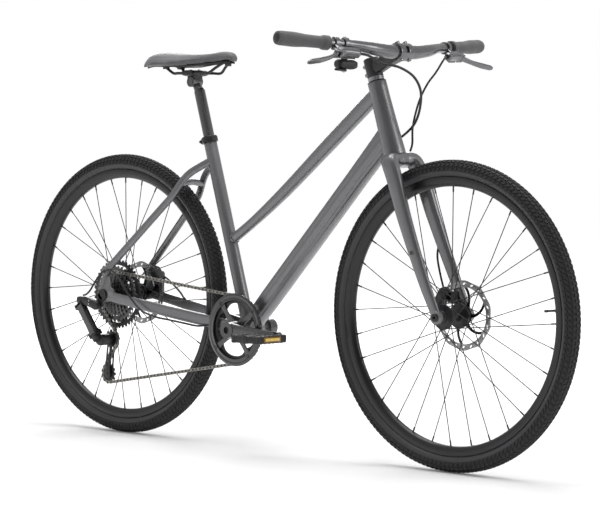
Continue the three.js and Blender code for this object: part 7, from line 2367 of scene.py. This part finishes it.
def makeCaliper(name, axle, place, angle, arm, shares, route, body, node):
    look = caliperLook
    turn, centre = math.radians(angle), caliperCentre(axle, place, angle)
    along = -spot(-math.sin(turn), 0, math.cos(turn))
    up = along.cross(across).normalized()
    rows = [(-0.5, 0.7), (-0.36, 1), (0.36, 1), (0.5, 0.7)]
    shell = tube(name, [(centre + along * share * look.length, look.width * size, look.height * size, 0.6)
        for share, size in rows], 28, 32)
    pot = rod("caliperPot", centre + across * look.width * 0.3, centre + across * look.width * 0.62,
        look.height * 0.4, 40, 0.8)
    shell = unite(shell, pot)
    slot = boxAt("discSlot", centre + up * (look.slotTop - look.height),
        (look.length * 2, look.thickness + 2 * look.gap, 2 * look.height), (along, across, up))
    shell = cutAway(shell, slot)
    softenEdges(shell, 0.8, 2, 45)
    mount = boxAt("caliperArm", centre + arm, (look.length * shares[0], look.width * shares[1],
        look.height * shares[2]), (forward, across, upward), 1.6, 3)
    paint(shell, "blackAlloy")
    paint(mount, "blackAlloy")
    parts = [shell, mount]
    for share in (-0.36, 0.36):
        foot = centre + along * share * look.length * 0.95 + across * look.width * 0.42
        parts.append(paint(socketBolt("bodyBolt", foot, foot + across * 3.2, 3.0, 1.6, 1.6), "steel"))
    lead = hose("caliperLead", route, hoseLook.radius, 36, 12)
    parts += [lead, grommet(route[-2], route[-1])]
    settle(together(name, *parts), body, node, None, 40)


def leadPoints(axle, place, angle, offsets):
    centre = caliperCentre(axle, place, angle)
    return [centre + spot(x, caliperLook.width * 0.27 + aside, z) for x, z, aside in offsets]


armSide = caliperLook.thickness / 2 + caliperLook.gap + caliperLook.width * 0.42 / 2
makeCaliper("rearCaliper", rearAxle, caliperLook.rearPlace, caliperLook.rearAngle,
    spot(0, armSide, -26 * 1.15), (0.55, 0.42, 1.1),
    leadPoints(rearAxle, caliperLook.rearPlace, caliperLook.rearAngle,
    [(11.5, 0, 0), (36.8, -13, 0), (59.8, -28.6, 0), (80, -43, -1.5), (92, -54, -3.5), (100, -63, -3)]),
    "frame", "rear_caliper")
makeCaliper("frontCaliper", frontAxle, caliperLook.frontPlace, caliperLook.frontAngle,
    spot(26, armSide, 0), (0.55, 0.42, 1.1), leadPoints(frontAxle, caliperLook.frontPlace,
    caliperLook.frontAngle, [(-2, 13, 0), (-15.6, 55.2, 0), (-23.4, 92, 0), (-22.6, 110, 2),
    (-16, 120, 4)]), "steering", "front_caliper")
print("calipers made")

# Hoses and housings
def leverStart(side):
    control = Control(side, leverLook.place, leverLook.drop)
    return control, control.at(-leverLook.bodyLength * 0.72 - 0.9, leverLook.bodyReach)


def layCord(name, route, radius, body, node, bend=None):
    # a free hose drawn along its route; one that crosses a joint is left on no body
    steps, sides = 160, 16
    piece = hose(name, route, radius, steps, sides)
    path = [smoothPath(route, step / steps) / 1000 for step in range(steps + 1)]
    length = sum((after - before).length for before, after in zip(path, path[1:]))
    settle(piece, None if bend else body, node, None, 60)
    if bend:
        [tuple(point / 1000) for point in bend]
        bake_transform(piece)


def makeHoses():
    right, start = leverStart(-1)
    route = [start, start - right.out * 18 + spot(4, 0, -3), spot(398, -92, 922), spot(416, -50, 912),
        spot(428, -16, 892), spot(428, 8, 862), spot(412, 26, 822), spot(386, 38, 786),
        spot(352, 41, 760), spot(322, 36, 742), spot(304, 29.5, 731)]
    layCord("controlHoses", route, hoseLook.pair, "steering", "control_hoses", (route[5], route[-1]))
    left, start = leverStart(1)
    port = steerPoint(forkLook.crownHeight * 0.2, forkLook.shoulderAhead * 0.7,
        forkLook.shoulderSpread * 0.86)
    route = [start, start - left.out * 14 + spot(2, 0, -2), spot(386, 112, 904), spot(380, 92, 880),
        spot(374, 74, 848), spot(371, 60, 812), spot(371, 49, 775), spot(376, 42, 738), port]
    layCord("frontBrakeHose", route, hoseLook.radius, "steering", "front_brake_hose")
    route = [spot(-597, -88, 349), spot(-583, -92, 352), spot(-566, -95, 362), spot(-545, -96, 386),
        spot(-519, -94, 412), spot(-489, -91, 416), spot(-455, -89, 386), spot(-427, -88, 353),
        spot(-390, -85, 322), spot(-347, -80, 308), spot(-301, -74, 302), spot(-256, -66, 296),
        spot(-224, -56, 291), spot(-208, -49.5, 292), spot(-192, -41, 295)]
    layCord("rearShiftHousing", route, hoseLook.radius, "frame", "rear_shift_housing")


makeHoses()
print("hoses made")


# Studio: a floor that the camera sees as white with the object's shadow, a pale world, and soft lamps
studio = Look(floor=60, nearWhite=0.07, farWhite=0.54, near=1.3, far=7.0, world=0.62, front=0.16,
    keyPower=150, backPower=75, sidePower=55)


def cameraSees(finish):
    path = finish.add("ShaderNodeLightPath")
    glossy = Wire(finish, path.socket.node.outputs["Is Glossy Ray"])
    through = Wire(finish, path.socket.node.outputs["Is Transmission Ray"])
    return finish.add("ShaderNodeMath", {"operation": "ADD", "use_clamp": True},
        {0: path + glossy, 1: through})


def makeFloor():
    finish = Finish("studioFloor", (0.86, 0.86, 0.86), 0.95, 0.0,
        {"Specular IOR Level": 0.0, "Emission Strength": 1.0})
    coordinates = finish.add("ShaderNodeTexCoord", out="Object")
    away = finish.add("ShaderNodeVectorMath", {"operation": "LENGTH"}, {0: coordinates}, out="Value")
    glow = finish.add("ShaderNodeMapRange", {"clamp": True},
        {"Value": away, "From Min": studio.near, "From Max": studio.far, "To Min": studio.nearWhite,
        "To Max": studio.farWhite})
    finish.feed("Emission Color", glow * cameraSees(finish))
    clear()
    bpy.ops.mesh.primitive_plane_add(size=studio.floor)
    floor = bpy.context.object
    floor.name = "studioFloor"
    floor.data.materials.append(finish.material)


def softLamp(name, place, size, power):
    clear()
    bpy.ops.object.light_add(type="AREA", location=place)
    lamp = bpy.context.object
    lamp.name = name
    lamp.data.shape = "DISK"
    lamp.data.size = size
    lamp.data.energy = power
    aim = Vector((0, 0, 0.5)) - Vector(place)
    lamp.rotation_euler = aim.to_track_quat("-Z", "Y").to_euler()


class WorldFinish(Finish):
    def __init__(self):
        world = bpy.data.worlds.new("studioWorld")
        bpy.context.scene.world = world
        world.use_nodes = True
        self.tree = world.node_tree
        self.shader = next(node for node in self.tree.nodes if node.type == "BACKGROUND")
        self.shader.inputs["Strength"].default_value = 1


def makeWorld():
    # white to the camera, and for the object's light pale all round but darker at the front, as between
    # two white walls
    finish = WorldFinish()
    direction = finish.add("ShaderNodeTexCoord", out="Generated")
    front = Vector(view.place).normalized()
    facing = finish.add("ShaderNodeVectorMath", {"operation": "DOT_PRODUCT"},
        {0: direction, 1: tuple(front)}, out="Value")
    level = finish.add("ShaderNodeMapRange", {"clamp": True, "interpolation_type": "SMOOTHSTEP"},
        {"Value": facing, "From Min": 0.35, "From Max": 0.95, "To Min": studio.world,
        "To Max": studio.front})
    path = finish.add("ShaderNodeLightPath")
    through = Wire(finish, path.socket.node.outputs["Is Transmission Ray"])
    seen = finish.add("ShaderNodeMath", {"operation": "ADD", "use_clamp": True}, {0: path, 1: through})
    finish.feed("Color", level + seen * (1 - level))


makeFloor()
makeWorld()
softLamp("topLamp", (-0.4, 0.2, 4.6), 3.6, studio.keyPower)
softLamp("backLamp", (-3.6, 3.2, 2.6), 2.4, studio.backPower)
softLamp("sideLamp", (4.6, 1.6, 2.4), 2.4, studio.sidePower)
bpy.context.scene.view_settings.view_transform = "Standard"
print("studio made")

# Every node left in view takes the finish of its slot
slotLooks = {"frame_paint": "framePaint", "black_alloy": "blackAlloy", "black_plastic": "blackPlastic",
    "grip_rubber": "gripRubber", "saddle_cover": "saddleSkin", "tyre": "tyreRubber", "hose": "hoseBlack",
    "steel": "steel", "lever_alloy": "leverSilver"}


def dressLeftNodes():
    for name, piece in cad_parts.items():
        if piece.hide_render:
            continue
        for place in piece.material_slots:
            slotName = place.material.name if place.material else ""
            look = next((value for key, value in slotLooks.items() if key in slotName), "blackAlloy")
            place.material = looks[look]
            print("dressed:", name, slotName)


dressLeftNodes()
print("pieces settled:", len(settled))
